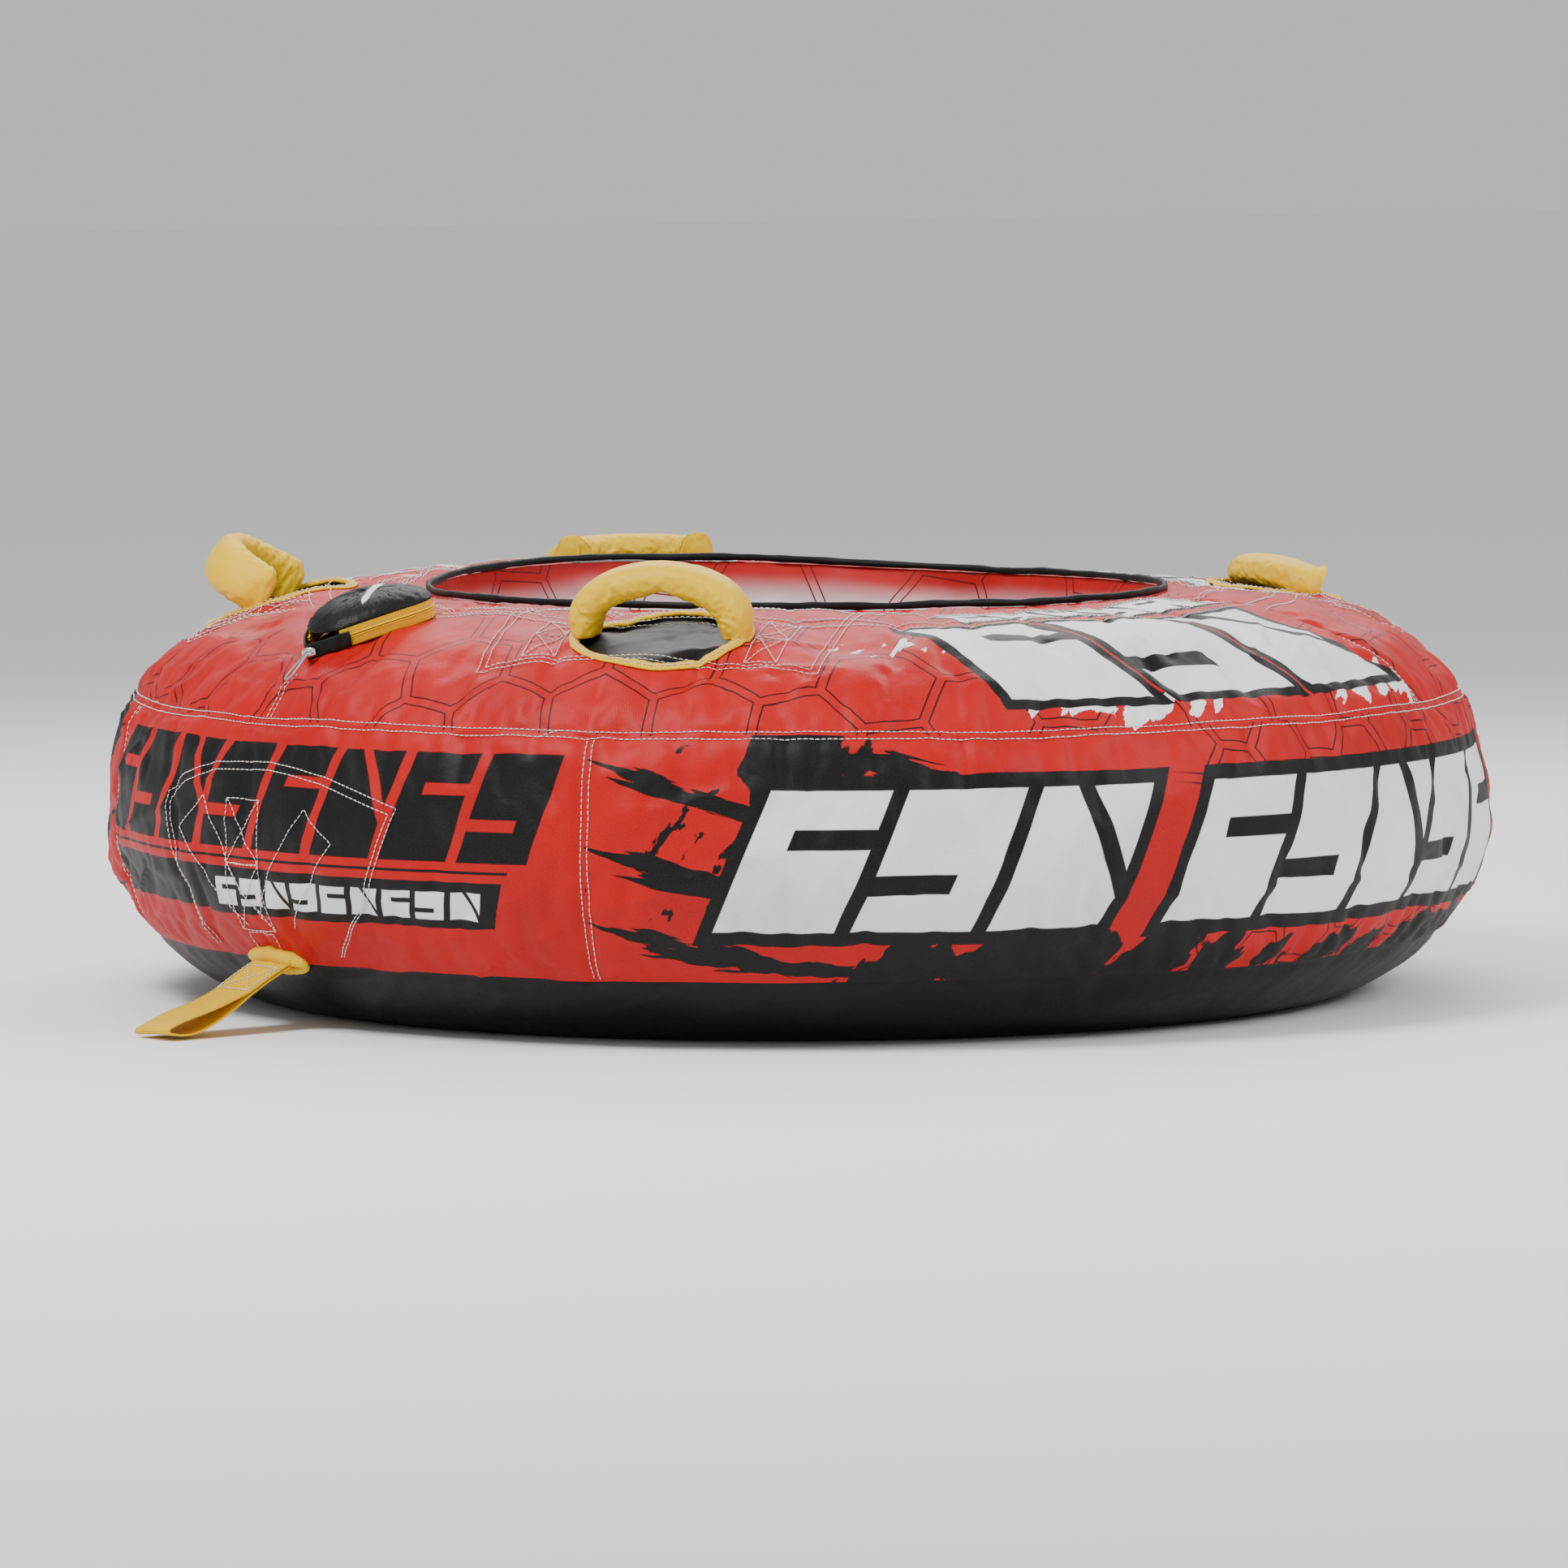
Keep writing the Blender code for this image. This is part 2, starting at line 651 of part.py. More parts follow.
def grip_ring(station, half_width, half_thickness, sides):
    centre, width_axis, thick_axis, _ = station
    if sides == 4:
        corners = ((1, 1), (-1, 1), (-1, -1), (1, -1))
        return [centre + width_axis * half_width * u + thick_axis * half_thickness * v for u, v in corners]
    ring = []
    for side in range(sides):
        angle = 2.0 * math.pi * (side + 0.5) / sides
        across = math.copysign(abs(math.cos(angle)) ** 0.75, math.cos(angle))
        through = math.copysign(abs(math.sin(angle)) ** 0.75, math.sin(angle))
        ring.append(centre + width_axis * half_width * across + thick_axis * half_thickness * through)
    return ring


def grip_axis_point(frame):
    return frame @ Vector((0.0, 0.0, HANDLE_AXIS_HEIGHT))


def build_grip(name, frame, stations):
    outer, channel, web = [], [], []
    for station in stations:
        half_width = station[3]
        thickness = min(GRIP_THICKNESS * 0.5, half_width * 0.85)
        channel_half = half_width - GRIP_CHANNEL_MARGIN
        web_half = channel_half - GRIP_WEB_CLEARANCE
        outer.append(grip_ring(station, half_width, thickness, 12))
        channel.append(grip_ring(station, channel_half, GRIP_WEB_THICKNESS * 0.5 + GRIP_WEB_CLEARANCE, 4))
        web.append(grip_ring(station, web_half, GRIP_WEB_THICKNESS * 0.5, 4))
    padding = add_object(f"grip_{name}", *sleeve(outer, channel), ("yellow_padding", YELLOW))
    webbing = add_object(f"grip_web_{name}", *loft(web, split=True), ("yellow_web", YELLOW))
    for item in (padding, webbing):
        set_origin(item, grip_axis_point(frame))


def build_opening_binding(name, frame):
    outline = oval(OPENING_SPAN * 0.5, OPENING_LENGTH * 0.5, OPENING_SIDES)
    wide = oval(OPENING_SPAN * 0.5 + OPENING_BINDING_WIDTH, OPENING_LENGTH * 0.5 + OPENING_BINDING_WIDTH,
                OPENING_SIDES)
    rings = []
    for (u, v), (wide_u, wide_v) in zip(outline, wide):
        low, high = SURFACE_GAP, SURFACE_GAP + OPENING_BINDING_HEIGHT
        rings.append([on_cover(frame, u, v, low), on_cover(frame, wide_u, wide_v, low),
                      on_cover(frame, wide_u, wide_v, high), on_cover(frame, u, v, high)])
    vertices, faces = loft(rings, ends_closed=False, round_trip=True)
    add_object(f"opening_binding_{name}", vertices, faces, ("yellow_web", YELLOW))


def build_handle(name, plan, lean, height, twist, panel):
    frame = surface_frame(plan, HANDLE_RADIUS)
    opening = oval(OPENING_SPAN * 0.5, OPENING_LENGTH * 0.5, OPENING_SIDES)
    cut_with(panel, prism(f"opening_{name}", frame, opening, -0.03, 0.03))
    build_grip(name, frame, grip_path(frame, lean, height, twist))
    build_opening_binding(name, frame)
    reach = math.degrees((PATCH_HALF_SPAN + 0.03) / HANDLE_RADIUS)
    for side, sign in (("a", -1.0), ("b", 1.0)):
        tab = layer(f"web_tab_{name}_{side}", 0, WEB_DEPTH, WEB_THICKNESS, ("yellow_web", YELLOW),
                    plan - reach, plan + reach, 0.012)
        ends = sorted((sign * TAB_START, sign * (TAB_START + TAB_LENGTH)))
        cut_with(tab, prism(f"tab_outline_{name}_{side}", frame,
                            rectangle(*ends, -TAB_WIDTH * 0.5, TAB_WIDTH * 0.5), -0.05, 0.05), "INTERSECT")
    backing = layer(f"backing_patch_{name}", 0, BACKING_DEPTH, BACKING_THICKNESS, ("black_fabric", BLACK),
                    plan - reach, plan + reach, 0.012)
    cut_with(backing, prism(f"backing_outline_{name}", frame,
                            rectangle(-PATCH_HALF_SPAN, PATCH_HALF_SPAN, -PATCH_INWARD, PATCH_OUTWARD),
                            -0.06, 0.06), "INTERSECT")


# ---------------------------------------------------------------- tow point

def curve_through(points, steps):
    """Points along a smooth curve through a few guide points."""
    result = []
    padded = [points[0]] + list(points) + [points[-1]]
    spans = len(points) - 1
    for step in range(steps + 1):
        place = min(spans - 1e-9, spans * step / steps)
        span, share = int(place), place - int(place)
        a, b, c, d = (Vector(padded[span + offset]) for offset in range(4))
        result.append(0.5 * ((2.0 * b) + (c - a) * share + (2.0 * a - 5.0 * b + 4.0 * c - d) * share ** 2
                             + (3.0 * b - a - 3.0 * c + d) * share ** 3))
    return result


def tow_fold():
    """The route of the folded webbing, out along its upper layer and back along its lower one."""
    centre = curve_through(TOW_ROUTE, TOW_STEPS)
    sewn_half = (TOW_WEB_THICKNESS + TOW_SEWN_GAP) * 0.5
    upper, lower = [], []
    for step, point in enumerate(centre):
        before, after = centre[max(0, step - 1)], centre[min(TOW_STEPS, step + 1)]
        along = (after - before).normalized()
        normal = Vector((-along.y, along.x))
        share = step / TOW_STEPS
        loose = max(0.0, (share - TOW_SEWN_SHARE) / (1.0 - TOW_SEWN_SHARE))
        half = sewn_half + TOW_LOOP_GAP * 0.5 * math.sin(math.pi * loose ** 1.25) ** 0.9
        half = max(half, TOW_TIP_HALF_GAP) if loose > 0.5 else half
        upper.append(point + normal * half)
        lower.append(point - normal * half)
    tip = centre[-1] + (centre[-1] - centre[-2]).normalized() * TOW_TIP_HALF_GAP
    return upper + [tip] + list(reversed(lower))


def tow_axis_point():
    return Vector((0.0, -TOW_ROUTE[0][0], TOW_ROUTE[0][1]))


def build_tow_loop():
    route = tow_fold()
    rings = []
    for index, point in enumerate(route):
        before, after = route[max(0, index - 1)], route[min(len(route) - 1, index + 1)]
        along = (after - before).normalized()
        normal = Vector((-along.y, along.x)) * TOW_WEB_THICKNESS * 0.5
        ring = []
        for offset, side in ((normal, 1), (normal, -1), (-normal, -1), (-normal, 1)):
            place = point + offset
            ring.append(Vector((side * TOW_WEB_WIDTH * 0.5, -place.x, max(place.y, 0.0))))
        rings.append(ring)
    loop = add_object("tow_loop", *loft(rings), ("yellow_web", YELLOW))
    set_origin(loop, tow_axis_point())


def side_frame():
    """Axes on the tow side: X along the ring, Y up, Z outward, with its origin on the ground."""
    columns = Matrix((Vector((1, 0, 0)), Vector((0, 0, 1)), Vector((0, -1, 0)))).transposed().to_4x4()
    return Matrix.Translation((0.0, -TUBE_RADIUS, 0.0)) @ columns


def build_tow_cuff():
    """A folded tape lying on the cover over the slit."""
    run = smooth_runs()[1]
    rings = []
    span_steps = 8
    for index in range(span_steps + 1):
        share = index / span_steps * 2.0 - 1.0
        across = share * CUFF_SPAN * 0.5
        bottom = HEEL_SEAM_HEIGHT + SLIT_HEIGHT * (1.0 - share ** 4) + 0.001
        depth = CUFF_DROP * (1.0 - 0.75 * share ** 2)
        ring = []
        for height, outward in ((bottom, SURFACE_GAP), (bottom, SURFACE_GAP + CUFF_THICKNESS),
                                (bottom + depth * 0.5, SURFACE_GAP + CUFF_THICKNESS * 1.4),
                                (bottom + depth, SURFACE_GAP + CUFF_THICKNESS * 0.6),
                                (bottom + depth, SURFACE_GAP), (bottom + depth * 0.5, SURFACE_GAP)):
            radius = side_radius(run, height) + outward
            plan = across / radius
            ring.append(Vector((radius * math.sin(plan), -radius * math.cos(plan), height)))
        rings.append(ring)
    add_object("tow_cuff", *loft(rings), ("yellow_web", YELLOW))


def side_radius(run, height):
    for above, below in zip(run, run[1:]):
        if above[1] >= height >= below[1]:
            share = (above[1] - height) / max(1e-9, above[1] - below[1])
            return above[0] + (below[0] - above[0]) * share
    return run[-1][0]


def build_tow_point(tow_side):
    frame = side_frame()
    low, high = HEEL_SEAM_HEIGHT - SLIT_HEIGHT, HEEL_SEAM_HEIGHT + SLIT_HEIGHT
    slit = rectangle(-SLIT_WIDTH * 0.5, SLIT_WIDTH * 0.5, low, high)
    cut_with(tow_side, prism("tow_slit", frame, slit, -0.08, 0.02))
    build_tow_loop()
    build_tow_cuff()
    arc = []
    for step in range(9):
        share = step / 8.0 * 2.0 - 1.0
        rise = (TOW_PATCH_CROWN_HEIGHT - TOW_PATCH_CORNER_HEIGHT) * (1.0 - share ** 2)
        arc.append((-share * TOW_PATCH_TOP_HALF, TOW_PATCH_CORNER_HEIGHT + rise))
    patch_outline = [(-TOW_PATCH_BOTTOM_HALF, TOW_PATCH_FOOT_HEIGHT),
                     (TOW_PATCH_BOTTOM_HALF, TOW_PATCH_FOOT_HEIGHT)] + arc
    reach = math.degrees(TOW_PATCH_TOP_HALF / TUBE_RADIUS) + 4.0
    trim = 0.004
    patch = layer("tow_patch", 1, BACKING_DEPTH, BACKING_THICKNESS, ("red_fabric", RED), -reach, reach, trim)
    cut_with(patch, prism("tow_patch_outline", frame, patch_outline, -0.1, 0.02), "INTERSECT")
    for side, outline in tow_strip_outlines().items():
        strip = layer(f"tow_web_{side}", 1, WEB_DEPTH, WEB_THICKNESS, ("yellow_web", YELLOW),
                      -reach, reach, trim)
        cut_with(strip, prism(f"tow_web_outline_{side}", frame, outline, -0.1, 0.02), "INTERSECT")


def tow_strip_outlines():
    """The upright webbing strip and the two that fan out beside it, seen from outside."""
    half = TOW_STRIP_HALF_WIDTH
    inner = half + FAN_STRIP_GAP
    lean = math.radians(FAN_STRIP_LEAN)
    across, up = half * math.cos(lean), half * math.sin(lean)
    fan = [(inner, TOW_STRIP_FOOT), (inner + 0.03, TOW_STRIP_FOOT + 0.012),
           (FAN_STRIP_SPREAD + across, FAN_STRIP_TOP - up), (FAN_STRIP_SPREAD - across, FAN_STRIP_TOP + up),
           (inner, FAN_STRIP_TOP - 0.048)]
    return {
        "centre": rectangle(-half, half, TOW_STRIP_FOOT, TOW_STRIP_TOP),
        "left": fan,
        "right": [(-u, v) for u, v in reversed(fan)],
    }


# ---------------------------------------------------------------- valve hatch

def side_arc_radius():
    """Radius of each long side of the hatch, from its widest point to its pointed outer end."""
    return (HATCH_HALF_WIDTH ** 2 + HATCH_TIP_REACH ** 2) / (2.0 * HATCH_HALF_WIDTH)


def hatch_point(angle, side, offset=0.0):
    """A point on a long side: angle 0 at the widest place, growing towards the outer tip."""
    radius = side_arc_radius()
    centre = HATCH_HALF_WIDTH - radius
    turn = math.radians(angle)
    return (side * (centre + (radius + offset) * math.cos(turn)),
            -HATCH_ROUND_OFFSET + (radius + offset) * math.sin(turn))


def hatch_outline(end_angle, offset=0.0, side_steps=4, round_steps=8):
    """The U of the zip: one long side, the round inner end, and the other long side."""
    points = [hatch_point(end_angle * (1.0 - step / side_steps), 1.0, offset) for step in range(side_steps)]
    for step in range(round_steps + 1):
        turn = math.pi * step / round_steps
        points.append(((HATCH_HALF_WIDTH + offset) * math.cos(turn),
                       -HATCH_ROUND_OFFSET - (HATCH_HALF_WIDTH + offset) * math.sin(turn)))
    points += [hatch_point(end_angle * (step + 1) / side_steps, -1.0, offset) for step in range(side_steps)]
    return points


def tip_angle():
    return math.degrees(math.asin(HATCH_TIP_REACH / side_arc_radius()))


def build_wall(name, frame, outer, inner, low, high, finish):
    rings = []
    for (outer_u, outer_v), (inner_u, inner_v) in zip(outer, inner):
        rings.append([on_cover(frame, outer_u, outer_v, low), on_cover(frame, outer_u, outer_v, high),
                      on_cover(frame, inner_u, inner_v, high), on_cover(frame, inner_u, inner_v, low)])
    return add_object(name, *loft(rings), finish)


def build_zip_tapes(frame):
    outer = hatch_outline(TAPE_END_ANGLE)
    inner = hatch_outline(TAPE_END_ANGLE, -TAPE_THICKNESS)
    low = SURFACE_GAP
    yellow = ("yellow_web", YELLOW)
    build_wall("zip_tape_lower", frame, outer, inner, low, low + TAPE_HEIGHT, yellow)


def coil_height():
    return SURFACE_GAP + TAPE_HEIGHT + COIL_GAP * 0.5


def dome_outline(scale):
    """The flap's plan outline, closed across its outer end, shrunk towards its middle."""
    points = hatch_outline(TAPE_END_ANGLE, 0.0)
    end = (0.0, DOME_END_REACH)
    closed = points + [((points[-1][0] + end[0]) * 0.5, (points[-1][1] + end[1]) * 0.5 + 0.001), end,
                       ((points[0][0] + end[0]) * 0.5, (points[0][1] + end[1]) * 0.5 + 0.001)]
    middle = (0.0, -HATCH_ROUND_OFFSET + 0.008)
    return [(middle[0] + (u - middle[0]) * scale, middle[1] + (v - middle[1]) * scale) for u, v in closed]


def build_hatch_flap(frame):
    """The flap: an upper tape wall under a domed lid, one thin skin that is open below."""
    rim_low = coil_height() + COIL_GAP * 0.5
    rim_high = rim_low + TAPE_HEIGHT
    outside, inside = hatch_outline(TAPE_END_ANGLE), hatch_outline(TAPE_END_ANGLE, -TAPE_THICKNESS)
    tape = build_wall("zip_tape_upper", frame, outside, inside, rim_low, rim_high, ("yellow_web", YELLOW))
    levels = ((1.0, 0.0), (0.90, 0.42), (0.66, 0.80), (0.34, 0.97))
    base = rim_high + LAYER_GAP
    outer, inner = [], []
    for scale, share in levels:
        outline = dome_outline(scale)
        outer.append([on_cover(frame, u, v, base + DOME_THICKNESS + DOME_RISE * share) for u, v in outline])
        inner.append([on_cover(frame, u, v, base + DOME_RISE * share) for u, v in outline])
    flap = add_object("hatch_flap", *loft(list(reversed(inner)) + outer), ("black_fabric", BLACK))
    for item in (tape, flap):
        set_origin(item, flap_axis_point(frame))


def build_garage(frame):
    """The folded black piece that covers both zip ends at the outer tip."""
    steps = 4
    turn = tip_angle() - GARAGE_TIP_GAP_ANGLE - GARAGE_START_ANGLE
    inner, outer = [], []
    for side in (1.0, -1.0):
        angles = [GARAGE_START_ANGLE + turn * step / steps for step in range(steps + 1)]
        if side < 0:
            angles.reverse()
        for angle in angles:
            inner.append(hatch_point(angle, side, GARAGE_CLEARANCE))
            outer.append(hatch_point(angle, side, GARAGE_CLEARANCE + GARAGE_THICKNESS))
    black = ("black_fabric", BLACK)
    build_wall("zip_garage", frame, outer, inner, SURFACE_GAP, SURFACE_GAP + GARAGE_HEIGHT, black)


def slider_frame(frame):
    """Axes of the parked slider: X along its travel towards the tip, Y away from the tapes, Z up."""
    radius = side_arc_radius() + GARAGE_CLEARANCE + GARAGE_THICKNESS
    radius += SLIDER_CLEARANCE + SLIDER_THICKNESS * 0.5
    angle = math.radians(SLIDER_PARK_ANGLE)
    across, down = math.cos(angle), math.sin(angle)
    place = (HATCH_HALF_WIDTH - side_arc_radius() + radius * across, -HATCH_ROUND_OFFSET + radius * down)
    turn = frame.to_3x3()
    along, away = turn @ Vector((-down, across, 0.0)), turn @ Vector((across, down, 0.0))
    columns = Matrix((along, away, turn @ AXIS_Z))
    return Matrix.Translation(on_cover(frame, *place, coil_height())) @ columns.transposed().to_4x4()


def slider_axis(frame):
    """A point and a direction: the slider turns about the middle of the hatch's long side."""
    parked = frame.inverted() @ slider_frame(frame).translation
    widest = frame.inverted() @ on_cover(frame, HATCH_HALF_WIDTH, -HATCH_ROUND_OFFSET, coil_height())
    tilt = math.atan2(widest.z - parked.z, parked.y - widest.y)
    centre = frame @ Vector((HATCH_HALF_WIDTH - side_arc_radius(), -HATCH_ROUND_OFFSET, widest.z))
    return centre, frame.to_3x3() @ Vector((0.0, math.sin(tilt), math.cos(tilt)))


def flap_axis_point(frame):
    """A point on the flap's hinge line, which runs along the ring at the flap's outer end."""
    rim = coil_height() + COIL_GAP * 0.5 + TAPE_HEIGHT
    return on_cover(frame, 0.0, DOME_END_REACH + FLAP_AXIS_OFFSET, rim)


def build_slider(frame):
    local = slider_frame(frame)
    half_length, half_thickness, half_width = SLIDER_LENGTH * 0.5, SLIDER_THICKNESS * 0.5, SLIDER_WIDTH * 0.5
    rings = []
    for share, width in ((-1.0, 0.62), (-0.4, 1.0), (0.5, 1.0), (1.0, 0.72)):
        rings.append([local @ Vector((share * half_length, v * half_thickness, n * half_width * width))
                      for v, n in ((1, 1), (-1, 1), (-1, -1), (1, -1))])
    slider = add_object("zip_slider", *loft(rings), ("steel", STEEL, 0.3, 1.0), smooth=False)
    set_origin(slider, slider_axis(frame)[0])


def pull_frame(frame):
    local = slider_frame(frame)
    hinge = local @ Vector((0.0, SLIDER_THICKNESS * 0.5 + SLIDER_CLEARANCE + PULL_THICKNESS, 0.001))
    across = Vector((1.0, 0.0, 0.0))
    droop = math.radians(PULL_DROOP)
    along = Vector((0.0, -math.cos(droop), -math.sin(droop)))
    columns = Matrix((across, along, along.cross(across))).transposed().to_4x4()
    return Matrix.Translation(hinge) @ columns


def build_pull(frame):
    local = pull_frame(frame)
    half = PULL_WIDTH * 0.5
    right_edge = [(half * 0.55, 0.0), (half * 0.7, PULL_LENGTH * 0.3),
                  (half, PULL_LENGTH * 0.75), (half * 0.6, PULL_LENGTH)]
    outline = right_edge + [(-u, v) for u, v in reversed(right_edge)]
    slot = [(-half * 0.3, PULL_LENGTH * 0.5), (half * 0.3, PULL_LENGTH * 0.5),
            (half * 0.45, PULL_LENGTH * 0.88), (-half * 0.45, PULL_LENGTH * 0.88)]
    top = [local @ Vector((u, v, PULL_THICKNESS * 0.5)) for u, v in outline]
    bottom = [local @ Vector((u, v, -PULL_THICKNESS * 0.5)) for u, v in outline]
    pull = add_object("zip_pull", *plate(top, bottom), ("steel", STEEL, 0.3, 1.0), smooth=False)
    cut_with(pull, prism("zip_pull_slot", local, slot, -0.003, 0.003))
    set_origin(pull, local.translation)


def build_hatch(tops):
    frame = surface_frame(0.0, HATCH_RADIUS)
    inset = -TAPE_THICKNESS - 0.003
    opening = hatch_outline(TAPE_END_ANGLE - 3.0, inset) + [(0.0, DOME_END_REACH - 0.012)]
    for name in ("left", "right"):
        panel = tops[0] if name == "left" else tops[2]
        cut_with(panel, prism(f"hatch_opening_{name}", frame, opening, -0.03, 0.02))
    build_zip_tapes(frame)
    build_hatch_flap(frame)
    build_garage(frame)
    build_slider(frame)
    build_pull(frame)


# ---------------------------------------------------------------- valve

def build_valve():
    frame = surface_frame(0.0, HATCH_RADIUS)
    seat = -BLADDER_DEPTH + LAYER_GAP
    bottom = seat - VALVE_NECK_DEPTH
    neck_bore = VALVE_NECK_RADIUS - VALVE_NECK_WALL
    grey = ("moulded_grey", GREY)
    lathe("valve_base", [
        (neck_bore, bottom), (VALVE_NECK_RADIUS, bottom), (VALVE_NECK_RADIUS, seat),
        (VALVE_FLANGE_RADIUS, seat), (VALVE_FLANGE_RADIUS, seat + VALVE_FLANGE_THICKNESS),
        (neck_bore, seat + VALVE_FLANGE_THICKNESS),
    ], frame, grey)
    collar = seat + VALVE_FLANGE_THICKNESS + VALVE_CLEARANCE
    body_radius = neck_bore - VALVE_CLEARANCE
    bore = body_radius - VALVE_BODY_WALL
    lathe("valve_body", [
        (bore, bottom), (body_radius, bottom), (body_radius, collar), (CAP_RADIUS, collar),
        (CAP_RADIUS, collar + VALVE_COLLAR_HEIGHT), (bore, collar + VALVE_COLLAR_HEIGHT),
    ], frame, grey)
    disc = bore - VALVE_CLEARANCE
    disc_low = bottom + 0.002
    solid_disc("valve_diaphragm", [(disc, disc_low), (disc, disc_low + VALVE_DISC_THICKNESS)], frame,
               ("rubber", BLACK, 0.8))
    cap_low = collar + VALVE_COLLAR_HEIGHT + VALVE_CLEARANCE
    plug = bore - VALVE_CLEARANCE
    cap = solid_disc("valve_cap", [
        (plug, cap_low - CAP_PLUG_DEPTH), (plug, cap_low), (CAP_RADIUS, cap_low),
        (CAP_RADIUS, cap_low + CAP_HEIGHT - 0.001), (CAP_RADIUS - 0.001, cap_low + CAP_HEIGHT),
        (CAP_GRIP_WIDTH, cap_low + CAP_HEIGHT),
        (CAP_GRIP_WIDTH * 0.8, cap_low + CAP_HEIGHT + CAP_GRIP_HEIGHT),
    ], frame, grey)
    set_origin(cap, frame.translation)
    start = CAP_RADIUS + VALVE_CLEARANCE * 2.0
    top = [frame @ Vector((u, v, cap_low + 0.002 + TETHER_THICKNESS)) for u, v in
           rectangle(-TETHER_WIDTH / 2, TETHER_WIDTH / 2, -start - TETHER_LENGTH, -start)]
    low = [frame @ Vector((u, v, cap_low + 0.002)) for u, v in
           rectangle(-TETHER_WIDTH / 2, TETHER_WIDTH / 2, -start - TETHER_LENGTH, -start)]
    add_object("valve_tether", *plate(top, low), grey, smooth=False)


def frame_shift():
    """Brings the middle of the whole length, tube and tow loop, to Y = 0."""
    tip = TOW_ROUTE[-1][0] + TOW_TIP_HALF_GAP + TOW_WEB_THICKNESS * 0.5
    return (tip - TUBE_RADIUS) * 0.5


def main():
    clear_scene()
    build_bladder()
    tops, tow_side = build_cover()
    build_well_binding()
    build_floor()
    homes = {"front_left": tops[0], "front_right": tops[2], "rear_right": tops[2], "rear_left": tops[1]}
    for name, plan, lean, height, twist in HANDLES:
        build_handle(name, plan, lean, height, twist, homes[name])
    build_tow_point(tow_side)
    build_hatch(tops)
    build_valve()
    for item in bpy.data.objects:
        item.location.y += frame_shift()


main()
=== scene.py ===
"""Looks of a towable inflatable tube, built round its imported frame.

Metres, +Z up, in the frame's own axes. Plan angles are in degrees about the tube's own axis and run from -Y
towards +X. A place on the cover is a plan angle and a drop: the arc length down the outside of the section,
counted from the crown at the edge of the rider's well.
"""

import logging
import math
from dataclasses import dataclass, field
from enum import Enum
from typing import Callable, Iterable, Sequence

import bmesh
import bpy
import numpy as np
from mathutils import Matrix, Vector


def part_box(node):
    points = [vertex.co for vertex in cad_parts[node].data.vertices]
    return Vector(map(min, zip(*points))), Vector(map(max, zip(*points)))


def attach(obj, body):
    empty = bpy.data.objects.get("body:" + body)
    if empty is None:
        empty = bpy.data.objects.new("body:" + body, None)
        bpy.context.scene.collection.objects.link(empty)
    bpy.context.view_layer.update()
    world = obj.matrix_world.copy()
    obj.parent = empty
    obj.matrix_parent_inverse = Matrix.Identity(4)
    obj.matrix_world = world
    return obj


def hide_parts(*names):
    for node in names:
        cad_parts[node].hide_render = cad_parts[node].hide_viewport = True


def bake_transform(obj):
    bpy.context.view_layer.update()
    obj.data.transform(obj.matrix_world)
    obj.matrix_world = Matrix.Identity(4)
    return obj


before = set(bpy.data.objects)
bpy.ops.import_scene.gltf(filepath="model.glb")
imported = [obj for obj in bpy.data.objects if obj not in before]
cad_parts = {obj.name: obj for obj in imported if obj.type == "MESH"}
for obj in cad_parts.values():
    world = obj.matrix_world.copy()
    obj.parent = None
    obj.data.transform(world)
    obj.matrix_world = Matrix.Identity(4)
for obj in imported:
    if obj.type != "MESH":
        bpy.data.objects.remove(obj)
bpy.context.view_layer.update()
LOG = logging.getLogger("tube")

Place = tuple[float, float]
Socket = bpy.types.NodeSocket

MILLIMETRE = 0.001
UV_NAME = "cover_map"


class Panel(Enum):
    """The four runs of cloth round the section, in order from the crown."""

    TOP = "top"
    SIDE = "side"
    BOTTOM = "bottom"
    WALL = "well_wall"


def wrapped(angle: np.ndarray | float) -> np.ndarray | float:
    """An angle between -180 and 180 degrees."""
    return (angle + 180.0) % 360.0 - 180.0


def squared(value: float, power: float) -> float:
    """A sine or cosine that is drawn out towards its ends, to square a round outline."""
    return math.copysign(abs(value) ** power, value)


def round_ring(middle: Vector, across: Vector, up: Vector, sides: int) -> list[Vector]:
    """Points of an oval about a middle, from its two half axes."""
    turns = (2.0 * math.pi * side / sides for side in range(sides))
    return [middle + across * math.cos(turn) + up * math.sin(turn) for turn in turns]


# ---------------------------------------------------------------- section of the tube


